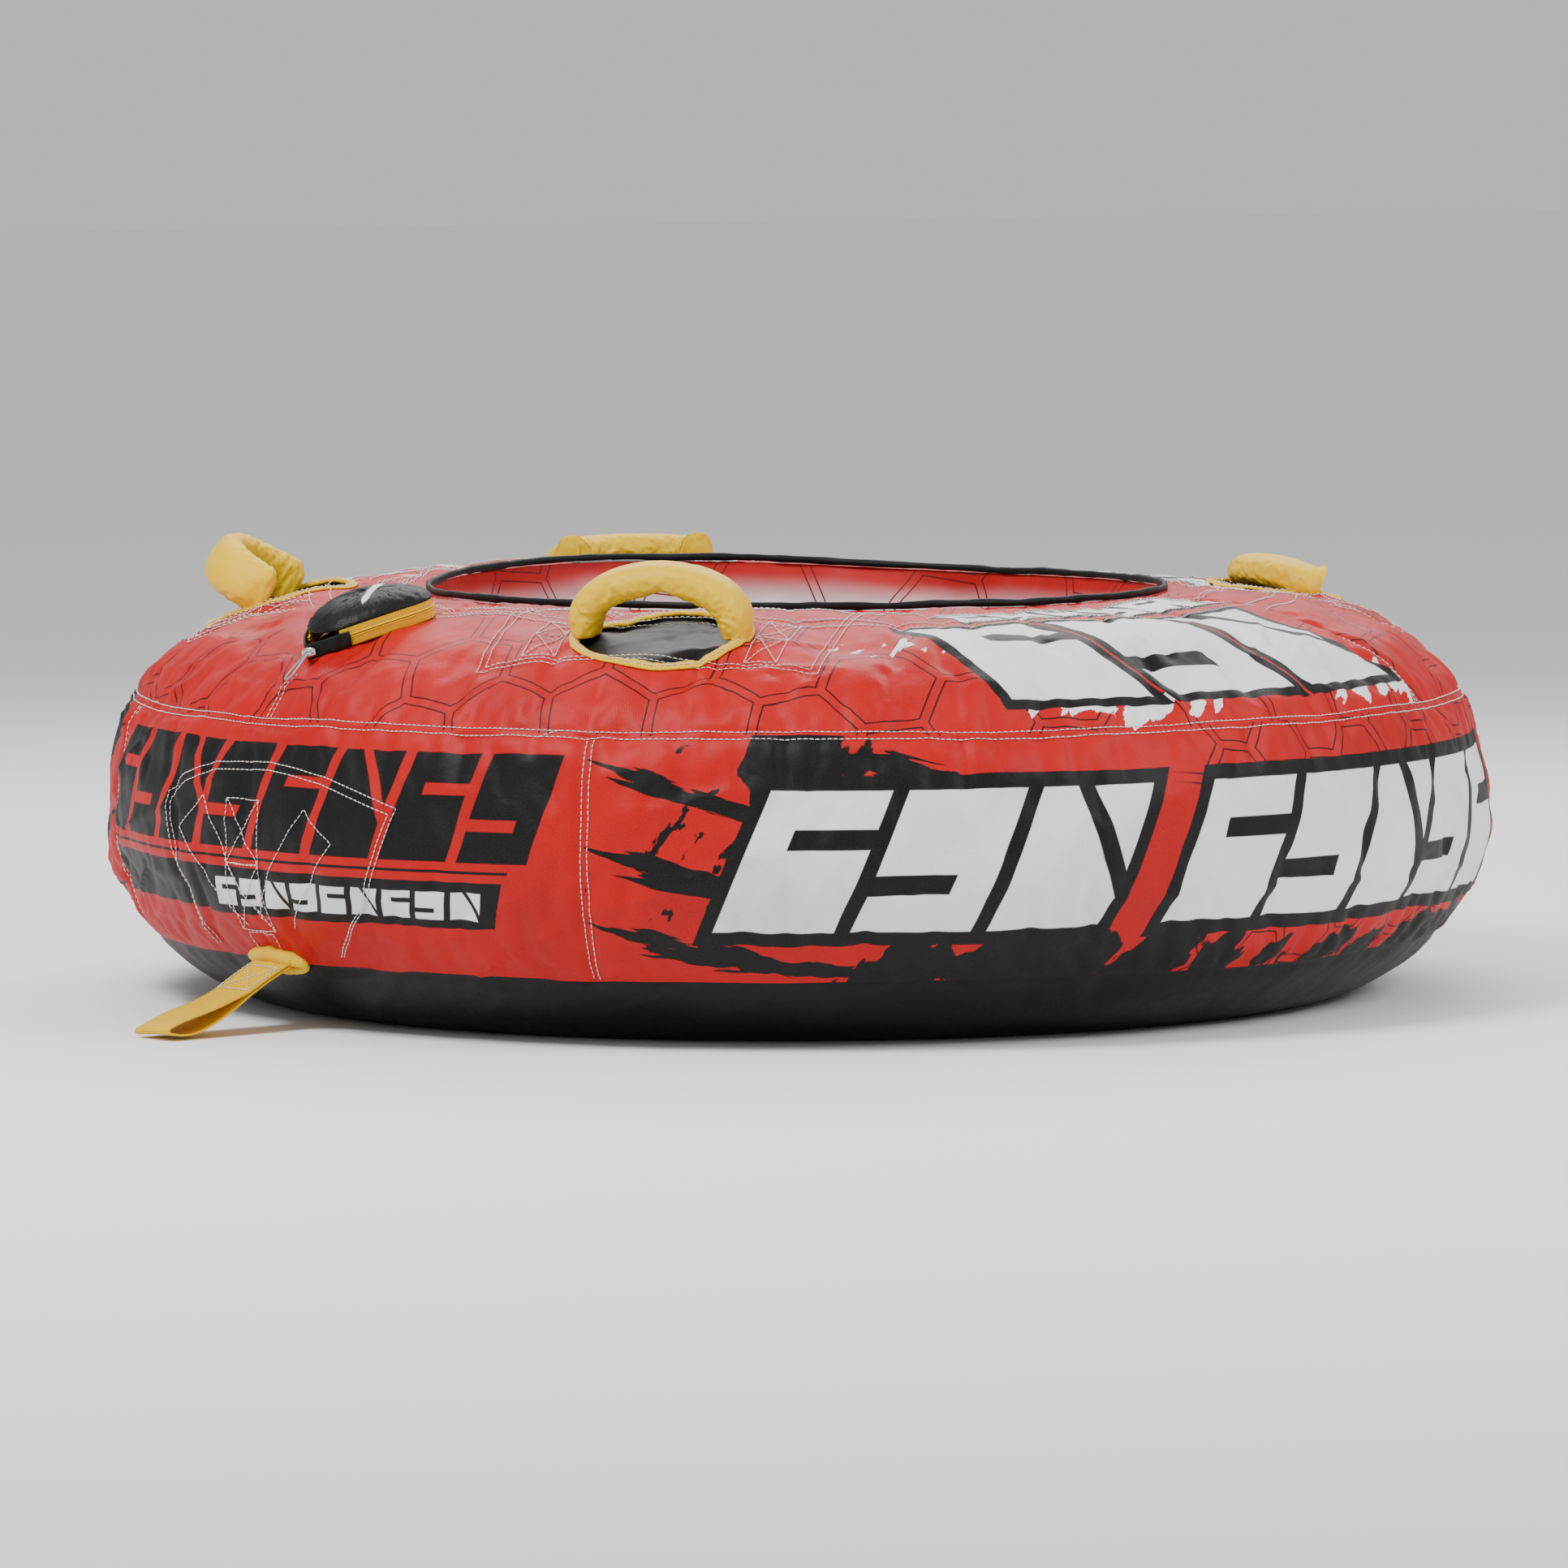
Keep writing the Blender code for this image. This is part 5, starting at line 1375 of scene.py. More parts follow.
    def print_tow(self, graph: Graph, place: Socket) -> Socket:
        """A row of leaning black blocks over a line and a bar with small white blocks."""
        band = self.blocks(graph, place, (-0.283, 0.066), 0.0765, 8, 0.046, 0.32, 0.0050, 0.43)
        colour = graph.mix(graph.step(band, 0.0006, -0.0006), PALETTE.red, PALETTE.black)
        x, y, _ = graph.split(place)
        leaned = x + y * 0.32
        for low, high, left, right in ((0.1185, 0.1215, -0.255, 0.330), (0.128, 0.171, -0.250, 0.327)):
            mask = graph.within(y, low, high, 0.0006) * graph.within(leaned, left, right, 0.0006)
            colour = graph.mix(mask, colour, PALETTE.black)
        small = self.blocks(graph, place, (-0.045, 0.150), 0.0345, 9, 0.0125, 0.22, 0.0022, 0.41)
        return graph.mix(graph.step(small, 0.0004, -0.0004), colour, PALETTE.white)

    def side_words(self, graph: Graph, place: Socket, colour, first: float, second: float) -> Socket:
        """Two groups of large outlined blocks along a side."""
        for start, count, pitch, middle in ((first, 3, 0.116, 0.108), (second, 5, 0.108, 0.108)):
            row = self.blocks(graph, place, (start, middle), pitch, count, 0.060, 0.42, 0.0085, 0.44)
            colour = self.outlined(graph, colour, row, 0.013, PALETTE.white)
        return colour

    def print_side_left(self, graph: Graph, place: Socket) -> Socket:
        """Brush strokes, a burst, honeycomb and large outlined blocks."""
        x, _, _ = graph.split(place)
        colour = self.honeycomb(graph, place, PALETTE.red, 0.062, gate=graph.step(x, 0.86, 0.90))
        colour = self.blots(graph, place, colour, (0.545, 0.035), (0.085, 0.075), 0.045, 1.15, PALETTE.black)
        colour = self.blots(graph, place, colour, (0.49, 0.10), (0.15, 0.10), 0.024, 0.42, PALETTE.black)
        colour = self.blots(graph, place, colour, (0.78, 0.205), (0.34, 0.055), 0.050, 1.05, PALETTE.black)
        colour = self.blots(graph, place, colour, (1.25, 0.215), (0.30, 0.045), 0.060, 1.0, PALETTE.black)
        runs = [((0.352, 0.020), (0.56, 0.088), 0.0085), ((0.37, 0.036), (0.52, 0.075), 0.006),
                ((0.352, 0.094), (0.55, 0.146), 0.010), ((0.38, 0.118), (0.50, 0.140), 0.005),
                ((0.352, 0.160), (0.56, 0.212), 0.011), ((0.40, 0.190), (0.66, 0.216), 0.009),
                ((0.56, 0.012), (0.74, 0.060), 0.012)]
        colour = self.strokes(graph, place, colour, runs, PALETTE.black)
        return self.side_words(graph, place, colour, 0.484, 0.880)

    def print_side_right(self, graph: Graph, place: Socket) -> Socket:
        """The same kind of print on the other side."""
        x, _, _ = graph.split(place)
        colour = self.honeycomb(graph, place, PALETTE.red, 0.062, gate=graph.step(x, -0.86, -0.90))
        colour = self.blots(graph, place, colour, (-0.42, 0.03), (0.10, 0.09), 0.045, 1.1, PALETTE.black)
        colour = self.blots(graph, place, colour, (-0.78, 0.205), (0.36, 0.055), 0.050, 1.05, PALETTE.black)
        colour = self.blots(graph, place, colour, (-1.30, 0.215), (0.30, 0.045), 0.060, 1.0, PALETTE.black)
        runs = [((-0.305, 0.025), (-0.45, 0.080), 0.009), ((-0.305, 0.100), (-0.46, 0.150), 0.010),
                ((-0.305, 0.165), (-0.50, 0.212), 0.011)]
        colour = self.strokes(graph, place, colour, runs, PALETTE.black)
        return self.side_words(graph, place, colour, -1.365, -0.955)

    def print_well(self, graph: Graph, place: Socket) -> Socket:
        """Red that fades to white downwards, honeycomb, and a white quarter with red strokes."""
        x, y, _ = graph.split(place)
        cloud = (graph.noise(place, 7.0, 2.0) - 0.5) * 0.03
        fade = graph.step(y + cloud, -0.052, -0.008)
        turn = x / SECTION.well_radius
        quarter = graph.within(turn, math.radians(-108.0), math.radians(-30.0), 0.12)
        fade = fade * (1.0 - quarter)
        colour = graph.mix(fade, PALETTE.white, PALETTE.red)
        colour = self.honeycomb(graph, place, colour, 0.100, PALETTE.deep_red)
        runs = [((-0.62 + 0.045 * k, 0.01), (-0.56 + 0.045 * k, -0.17 + 0.04 * (k % 3)),
                 0.012) for k in range(10)]
        return self.strokes(graph, place, colour, runs, PALETTE.red)

    def flap(self) -> bpy.types.Material:
        """Black cloth with white streaks across one end."""
        material, graph, shader = self.start("cloth_flap")
        place = self.chart(graph)
        runs = [((-0.050 + 0.013 * k, -0.070 + 0.010 * k), (0.000 + 0.008 * k, -0.020 + 0.012 * k), 0.0035)
                for k in range(4)]
        colour = self.strokes(graph, place, PALETTE.black, runs, PALETTE.white)
        self.finish_cloth(graph, shader, colour, place, crumple=0.0010)
        return material

    def padding(self, shaded: bool = False) -> bpy.types.Material:
        """Yellow cloth over foam with faint amber clouds; the shaded copy has strong amber clouds, painted
        shade for pieces that lie in shadow.
        """
        material, graph, shader = self.start("cloth_yellow_shaded" if shaded else "cloth_yellow")
        place = self.solid(graph)
        cloud = graph.step(graph.noise(place, 26.0, 3.0), 0.50, 0.80)
        # Painted shade: the shaded copy is mixed much further towards amber.
        share = cloud * (0.6 if shaded else 0.16)
        colour = graph.mix(share, PALETTE.yellow, PALETTE.amber)
        self.finish_cloth(graph, shader, colour, place, crumple=0.0006, sheen=0.05)
        return material

    def webbing(self) -> bpy.types.Material:
        """Ribbed yellow strap, with painted shade in amber down the rib grooves."""
        material, graph, shader = self.start("webbing_yellow")
        place = self.chart(graph)
        ribs = graph.call(self.effects.ribs, "Mask", Place=place, Pitch=0.0026)
        # Painted shade: amber down in the rib grooves.
        colour = graph.mix(ribs * 0.55, PALETTE.yellow, PALETTE.amber)
        self.finish_cloth(graph, shader, colour, place, sheen=0.05)
        self.bump(graph, shader, graph.call(self.effects.ribs, "Height", Place=place, Pitch=0.0026))
        return material

    def thread(self, name: str, colour: Colour) -> bpy.types.Material:
        """Twisted thread."""
        material, graph, shader = self.start(name)
        place = self.solid(graph)
        wave = graph.node("ShaderNodeTexWave", wave_type="BANDS", bands_direction="DIAGONAL")
        graph.feed(wave.inputs["Vector"], place)
        wave.inputs["Scale"].default_value = 900.0
        graph.feed(shader.inputs["Base Color"], graph.mix(
            graph.math("MULTIPLY", wave.outputs["Fac"], 0.25), colour, tuple(part * 0.6 for part in colour)))
        shader.inputs["Roughness"].default_value = 0.6
        self.bump(graph, shader, graph.math("MULTIPLY", wave.outputs["Fac"], 0.0001))
        return material


@dataclass(frozen=True)
class HardStuff:
    """Makes the materials of the vinyl, the metal and the moulded parts.

    Attributes:
        cloths: Shared material tools.
    """

    cloths: Cloths

    def make(self, name: str, colour: Colour, roughness: float, metallic: float = 0.0, scale: float = 300.0,
             wear: Colour = (0.5, 0.5, 0.5), share: float = 0.15) -> bpy.types.Material:
        """A hard material with scratches and a pebbled face.

        Args:
            name: Its name.
            colour: Its colour.
            roughness: Its roughness.
            metallic: 1 for metal.
            scale: Fineness of the marks.
            wear: Colour of the scratches.
            share: Strength of the scratches.

        Returns:
            The material.
        """
        material, graph, shader = self.cloths.start(name)
        place = self.cloths.solid(graph)
        scuffs = self.cloths.effects.scuffs
        mask = graph.call(scuffs, "Mask", Place=place, Scale=scale)
        graph.feed(shader.inputs["Base Color"], graph.mix(mask * share, colour, wear))
        graph.feed(shader.inputs["Roughness"], roughness + mask * 0.15)
        shader.inputs["Metallic"].default_value = metallic
        self.cloths.bump(graph, shader, graph.call(scuffs, "Height", Place=place, Scale=scale), 0.6)
        return material


# ---------------------------------------------------------------- studio


@dataclass(frozen=True)
class Studio:
    """Camera, lights and floor.

    Attributes:
        bearing: Plan angle of the camera, in degrees.
        distance: From the tube's axis, level.
        eye: Height of the camera.
    """

    bearing: float = 50.5
    distance: float = 8.0
    eye: float = 0.7843
    focal: float = 207.3

    def camera(self) -> None:
        """Sets the camera level with the object's upper side, far off."""
        turn = math.radians(self.bearing)
        data = bpy.data.cameras.new("Camera")
        data.lens = self.focal
        data.sensor_width = 36.0
        item = bpy.data.objects.new("Camera", data)
        bpy.context.scene.collection.objects.link(item)
        item.location = (self.distance * math.sin(turn), AXIS_Y - self.distance * math.cos(turn), self.eye)
        pitch, yaw, roll = math.radians(90.0 - 4.32), turn + math.radians(0.087), math.radians(-0.2)
        item.rotation_euler = (Matrix.Rotation(yaw, 4, "Z") @ Matrix.Rotation(pitch, 4, "X")
                               @ Matrix.Rotation(roll, 4, "Z")).to_euler()
        bpy.context.scene.camera = item

    def lamp(self, name: str, turn: float, distance: float, height: float, size: Place, power: float) -> None:
        """One soft light that looks at the object.

        Args:
            name: Its name.
            turn: Plan angle from the camera's, in degrees.
            distance: Level distance from the axis.
            height: Its height.
            size: Width and height of its face.
            power: Its power in watts.
        """
        data = bpy.data.lights.new(name, "AREA")
        data.shape = "RECTANGLE"
        data.size, data.size_y = size
        data.energy = power
        item = bpy.data.objects.new(name, data)
        bpy.context.scene.collection.objects.link(item)
        angle = math.radians(self.bearing + turn)
        item.location = (distance * math.sin(angle), AXIS_Y - distance * math.cos(angle), height)
        aim = Vector((0.0, AXIS_Y, 0.2)) - item.location
        item.rotation_euler = aim.to_track_quat("-Z", "Y").to_euler()

    def floor(self) -> bpy.types.Object:
        """A plain pale floor."""
        material = bpy.data.materials.new("floor_white")
        material.use_nodes = True
        shader = next(node for node in material.node_tree.nodes if node.type == "BSDF_PRINCIPLED")
        shader.inputs["Base Color"].default_value = (0.95, 0.95, 0.95, 1.0)
        shader.inputs["Roughness"].default_value = 0.9
        corners = [(-40.0, -40.0, 0.0), (40.0, -40.0, 0.0), (40.0, 40.0, 0.0), (-40.0, 40.0, 0.0)]
        item = new_piece("floor", corners, [(0, 1, 2, 3)], material)
        return item

    def build(self) -> None:
        """Makes everything round the object."""
        self.floor()
        self.lamp("key_light", -42.0, 2.3, 3.0, (1.1, 1.1), 120.0)
        self.lamp("fill_light", 62.0, 3.0, 2.2, (1.2, 1.6), 62.0)
        self.lamp("back_light", 176.0, 2.4, 2.4, (3.0, 1.0), 70.0)
        world = bpy.data.worlds.new("studio")
        world.use_nodes = True
        background = next(node for node in world.node_tree.nodes if node.type == "BACKGROUND")
        background.inputs["Color"].default_value = (1.0, 1.0, 1.0, 1.0)
        background.inputs["Strength"].default_value = 0.62
        bpy.context.scene.world = world


# ---------------------------------------------------------------- sewing


@dataclass
class Needlework:
    """Sews rows of thread on the cover.

    Attributes:
        skin: The cover's skin.
        material: The thread.
        pitch: Distance from one stitch to the next.
        length: Length of thread that shows.
        radius: Half the thread's thickness.
    """

    skin: Skin
    material: bpy.types.Material
    pitch: float = 0.0050
    length: float = 0.0041
    radius: float = 0.00060

    def bits(self, path: np.ndarray, normals: np.ndarray) -> tuple[np.ndarray, np.ndarray]:
        """Tapered bits of thread along one path.

        Args:
            path: Points close together.
            normals: Outward directions there.

        Returns:
            Points of all bits, 12 each, and their faces.
        """
        steps = np.linalg.norm(np.diff(path, axis=0), axis=1)
        run = np.concatenate(([0.0], np.cumsum(steps)))
        count = max(1, int(run[-1] / self.pitch))
        starts = (np.arange(count) + 0.1) * run[-1] / count
        places = starts[:, None] + np.array((0.0, 0.5, 1.0))[None, :] * self.length
        spine = np.stack([np.interp(places, run, path[:, axis]) for axis in range(3)], axis=-1)
        up = np.stack([np.interp(places, run, normals[:, axis]) for axis in range(3)], axis=-1)
        spine += up * np.array((0.0001, 0.00070, 0.0001))[None, :, None]
        along = spine[:, 2:] - spine[:, :1]
        along /= np.maximum(np.linalg.norm(along, axis=-1, keepdims=True), 1e-9)
        side = np.cross(along, up)
        width = self.radius * np.array((0.55, 1.0, 0.55))[None, :, None]
        rings = np.stack((spine + side * width, spine + up * width, spine - side * width,
                          spine - up * width), axis=2)
        quads = []
        for ring in range(2):
            for corner in range(4):
                after = (corner + 1) % 4
                quads.append((ring * 4 + corner, ring * 4 + after, ring * 4 + 4 + after,
                              ring * 4 + 4 + corner))
        quads += [(3, 2, 1, 0), (8, 9, 10, 11)]
        faces = np.array(quads)[None] + 12 * np.arange(count)[:, None, None]
        return rings.reshape(-1, 3), faces.reshape(-1, 4)

    def on_cover(self, places: Sequence[Place], proud: float) -> tuple[np.ndarray, np.ndarray]:
        """A dense path over the skin through some plan angles and drops."""
        places = np.array(places, float)
        reach = np.interp(places[:, 1], self.skin.outline_drops, self.skin.outline[:, 0])
        flat = np.column_stack((np.radians(places[:, 0]) * reach, places[:, 1]))
        run = np.concatenate(([0.0], np.cumsum(np.linalg.norm(np.diff(flat, axis=0), axis=1))))
        dense = np.linspace(0.0, run[-1], max(4, int(run[-1] / 0.0012)))
        plans, drops = np.interp(dense, run, places[:, 0]), np.interp(dense, run, places[:, 1])
        path = self.skin.read(plans, drops, proud)
        return path, self.skin.read(plans, drops, proud + 1.0) - path

    def sew(self, name: str, runs: Sequence[Sequence[Place]], proud: float = 0.0003) -> bpy.types.Object:
        """Sews rows given as plan angles and drops, as one piece that rides the tube.

        Args:
            name: The piece's name.
            runs: The rows.
            proud: Height of the cloth they go through, over the skin.

        Returns:
            The thread.
        """
        return self.join(name, [self.bits(*self.on_cover(run, proud)) for run in runs], "tube")

    def join(self, name: str, parts: Sequence, body: str) -> bpy.types.Object:
        """One piece from several rows of thread."""
        points, faces, base = [], [], 0
        for row_points, row_faces in parts:
            points.append(row_points)
            faces.append(row_faces + base)
            base += len(row_points)
        piece = new_piece(name, np.vstack(points), np.vstack(faces), self.material)
        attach(piece, body)
        return piece

    def along_points(self, points: Sequence[Vector], normal: Vector) -> tuple[np.ndarray, np.ndarray]:
        """Thread along straight lines between points in space."""
        knots = np.array([tuple(point) for point in points])
        run = np.concatenate(([0.0], np.cumsum(np.linalg.norm(np.diff(knots, axis=0), axis=1))))
        dense = np.linspace(0.0, run[-1], max(4, int(run[-1] / 0.0012)))
        path = np.stack([np.interp(dense, run, knots[:, axis]) for axis in range(3)], axis=-1)
        return self.bits(path, np.tile(np.array(tuple(normal)), (len(path), 1)))


def finish_piece(piece: bpy.types.Object, body: str, slot: str, *nodes: str) -> bpy.types.Object:
    """Gives a piece its body and hides the nodes it stands for."""
    if nodes:
        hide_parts(*nodes)
    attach(piece, body)
    return piece


def chart_grid(piece: bpy.types.Object, chart: np.ndarray) -> None:
    """Gives a piece its print map from one flat place for each point."""
    layer = piece.data.uv_layers.new(name=UV_NAME)
    index = np.empty(len(piece.data.loops), np.int32)
    piece.data.loops.foreach_get("vertex_index", index)
    layer.uv.foreach_set("vector", chart[index].astype(np.float32).ravel())


def mesh_area(piece: bpy.types.Object) -> float:
    """Area of a piece's own mesh, without its modifiers."""
    return sum(face.area for face in piece.data.polygons)


# ---------------------------------------------------------------- cover


@dataclass
class Cover:
    """The sewn cloth cover and the bladder under it.

    Attributes:
        skin: The cover's skin.
        cloths: Materials of the soft pieces.
        hard: Materials of the hard pieces.
        needle: Thread for the seams.
        holes: Openings by the name of the panel they are in.
    """

    skin: Skin
    cloths: Cloths
    hard: HardStuff
    needle: Needlework
    holes: dict[str, list[Hole]]

    panels: tuple = (
        ("top_panel_left", Panel.TOP, Print.TOP_LEFT, 0.0, 117.0, (0.614, 0.892)),
        ("top_panel_rear", Panel.TOP, Print.TOP_REAR, 117.0, 240.0, (1.078, 0.465)),
        ("top_panel_right", Panel.TOP, Print.TOP_RIGHT, 240.0, 360.0, (0.614, 0.921)),
        ("side_panel_tow", Panel.SIDE, Print.TOW, -28.0, 33.6, (0.656, 0.221)),
        ("side_panel_left", Panel.SIDE, Print.SIDE_LEFT, 33.6, 180.0, (1.560, 0.221)),
        ("side_panel_right", Panel.SIDE, Print.SIDE_RIGHT, -180.0, -28.0, (1.620, 0.221)),
    )

    def build(self) -> None:
        """Makes the panels, the bladder and the well's binding."""
        for name, panel, kind, start, end, flat in self.panels:
            holes = self.holes.get(name, ())
            piece = self.skin.strip(f"cloth_{name}", panel, self.cloths.panel(kind, PALETTE.red), start, end,
                                    holes)
            self.declare(piece, name, "red_fabric", flat, self.skin.cut_area(panel, start, end, holes))
        for name, panel, kind, base, slot, flat in (
                ("bottom_panel", Panel.BOTTOM, Print.PLAIN, PALETTE.black, "black_fabric", (1.22, 1.22)),
                ("well_wall_panel", Panel.WALL, Print.WELL, PALETTE.white, "white_fabric", (2.16, 0.33))):
            piece = self.skin.strip(f"cloth_{name}", panel, self.cloths.panel(kind, base))
            self.declare(piece, name, slot, flat, self.skin.cut_area(panel))
        self.bladder()
        self.binding()

    def declare(self, piece: bpy.types.Object, node: str, slot: str, flat: Place, area: float) -> None:
        """Puts one panel in place of its node and states its cut."""
        finish_piece(piece, "tube", slot, node)
        LOG.info("%s: cut %.4f of a %.4f rectangle, and %.4f square metres when filled", piece.name, area,
                 flat[0] * flat[1], mesh_area(piece))

    def bladder(self) -> None:
        """The air bladder, a skin under the cover with its valve hole."""
        plans = self.skin.plans[::3]
        rows = np.linspace(0.0, self.skin.total_drop, 120)[:-1]
        grid_plans, grid_drops = np.meshgrid(plans, rows)
        points = self.skin.read(grid_plans.ravel(), grid_drops.ravel(), -0.0052)
        faces = np.array(grid_faces(len(rows), len(plans), close_rows=True, close_columns=True))
        spot = Spot(self.skin, 0.0, 0.476)
        away = np.hypot(*spot.local(points).T)
        hidden = (away < 0.0215) & spot.near(points)
        faces = faces[~hidden[faces].any(axis=1)]
        used, faces = np.unique(faces, return_inverse=True)
        piece = new_piece("bladder_skin", points[used], faces.reshape(-1, 4),
                          self.hard.make("vinyl_sheet", PALETTE.vinyl, 0.32, scale=60.0, share=0.05))
        finish_piece(piece, "tube", "vinyl", "bladder")

    def binding(self) -> None:
        """The soft black tape round the mouth of the well."""
        rough = Roughcast(31)
        count, sides = 480, 14
        plans = np.arange(count) * 360.0 / count
        turn = plans / 360.0
        centre_radius = SECTION.well_radius - 0.0021 + 0.0009 * rough.field(turn, turn * 0.0, 70, 1.0)
        centre_height = SECTION.height + 0.0040 + 0.0008 * rough.field(turn, turn * 0.0, 50, 1.0)
        lifted = centre_height + SECTION.lift_at(plans, centre_height)
        rings = []
        for plan, radius, height, swell in zip(plans, centre_radius, lifted,
                                               rough.field(turn, turn * 0.0, 150, 1.0)):
            direction = Vector((math.sin(math.radians(plan)), -math.cos(math.radians(plan)), 0.0))
            middle = direction * radius + Vector((0.0, AXIS_Y, height))
            size = 0.0029 + 0.0005 * swell
            rings.append(round_ring(middle, direction * (size * 0.9), Vector((0.0, 0.0, size * 1.15)), sides))
        piece = tube_piece("well_tape", rings, self.cloths.panel(Print.PLAIN, PALETTE.black), closed=True)
        arc = np.repeat(np.arange(count) * 0.0043, sides)
        chart_grid(piece, np.column_stack((arc, np.tile(np.arange(sides) * 0.0015, count))))
        finish_piece(piece, "tube", "black_fabric", "well_binding")

    def seams(self) -> None:
        """Two rows of thread along every seam of the top and the sides."""
        skin = self.skin
        plans = np.linspace(0.0, 360.0, 240)
        step = math.degrees(0.0032 / SECTION.tube_radius)
        for offset, label in ((-0.0032, "upper"), (0.0032, "lower")):
            wave = 0.0006 * np.sin(np.radians(plans * 17.0))
            self.needle.sew(f"thread_shoulder_{label}",
                            [list(zip(plans, skin.shoulder_drop + offset + wave))])
        runs = []
        for seam in skin.top_seams[1:]:
            runs += [[(seam + side, 0.006), (seam + side, skin.shoulder_drop - 0.004)]
                     for side in (-step, step)]
        runs += [[(side, 0.006), (side, 0.060)] for side in (-step, step)]
        runs += [[(side, 0.232), (side, skin.shoulder_drop - 0.004)] for side in (-step, step)]
        self.needle.sew("thread_top_seams", runs)
        runs = []
        for seam in skin.side_seams:
            runs += [[(seam + side, skin.shoulder_drop + 0.004), (seam + side, skin.heel_drop - 0.002)]
                     for side in (-step, step)]
        knot = math.degrees(0.02 / SECTION.tube_radius)
        runs.append([(29.0, skin.shoulder_drop + 0.0045), (29.0 + knot, skin.shoulder_drop - 0.004)])
        self.needle.sew("thread_side_seams", runs)


# ---------------------------------------------------------------- handles


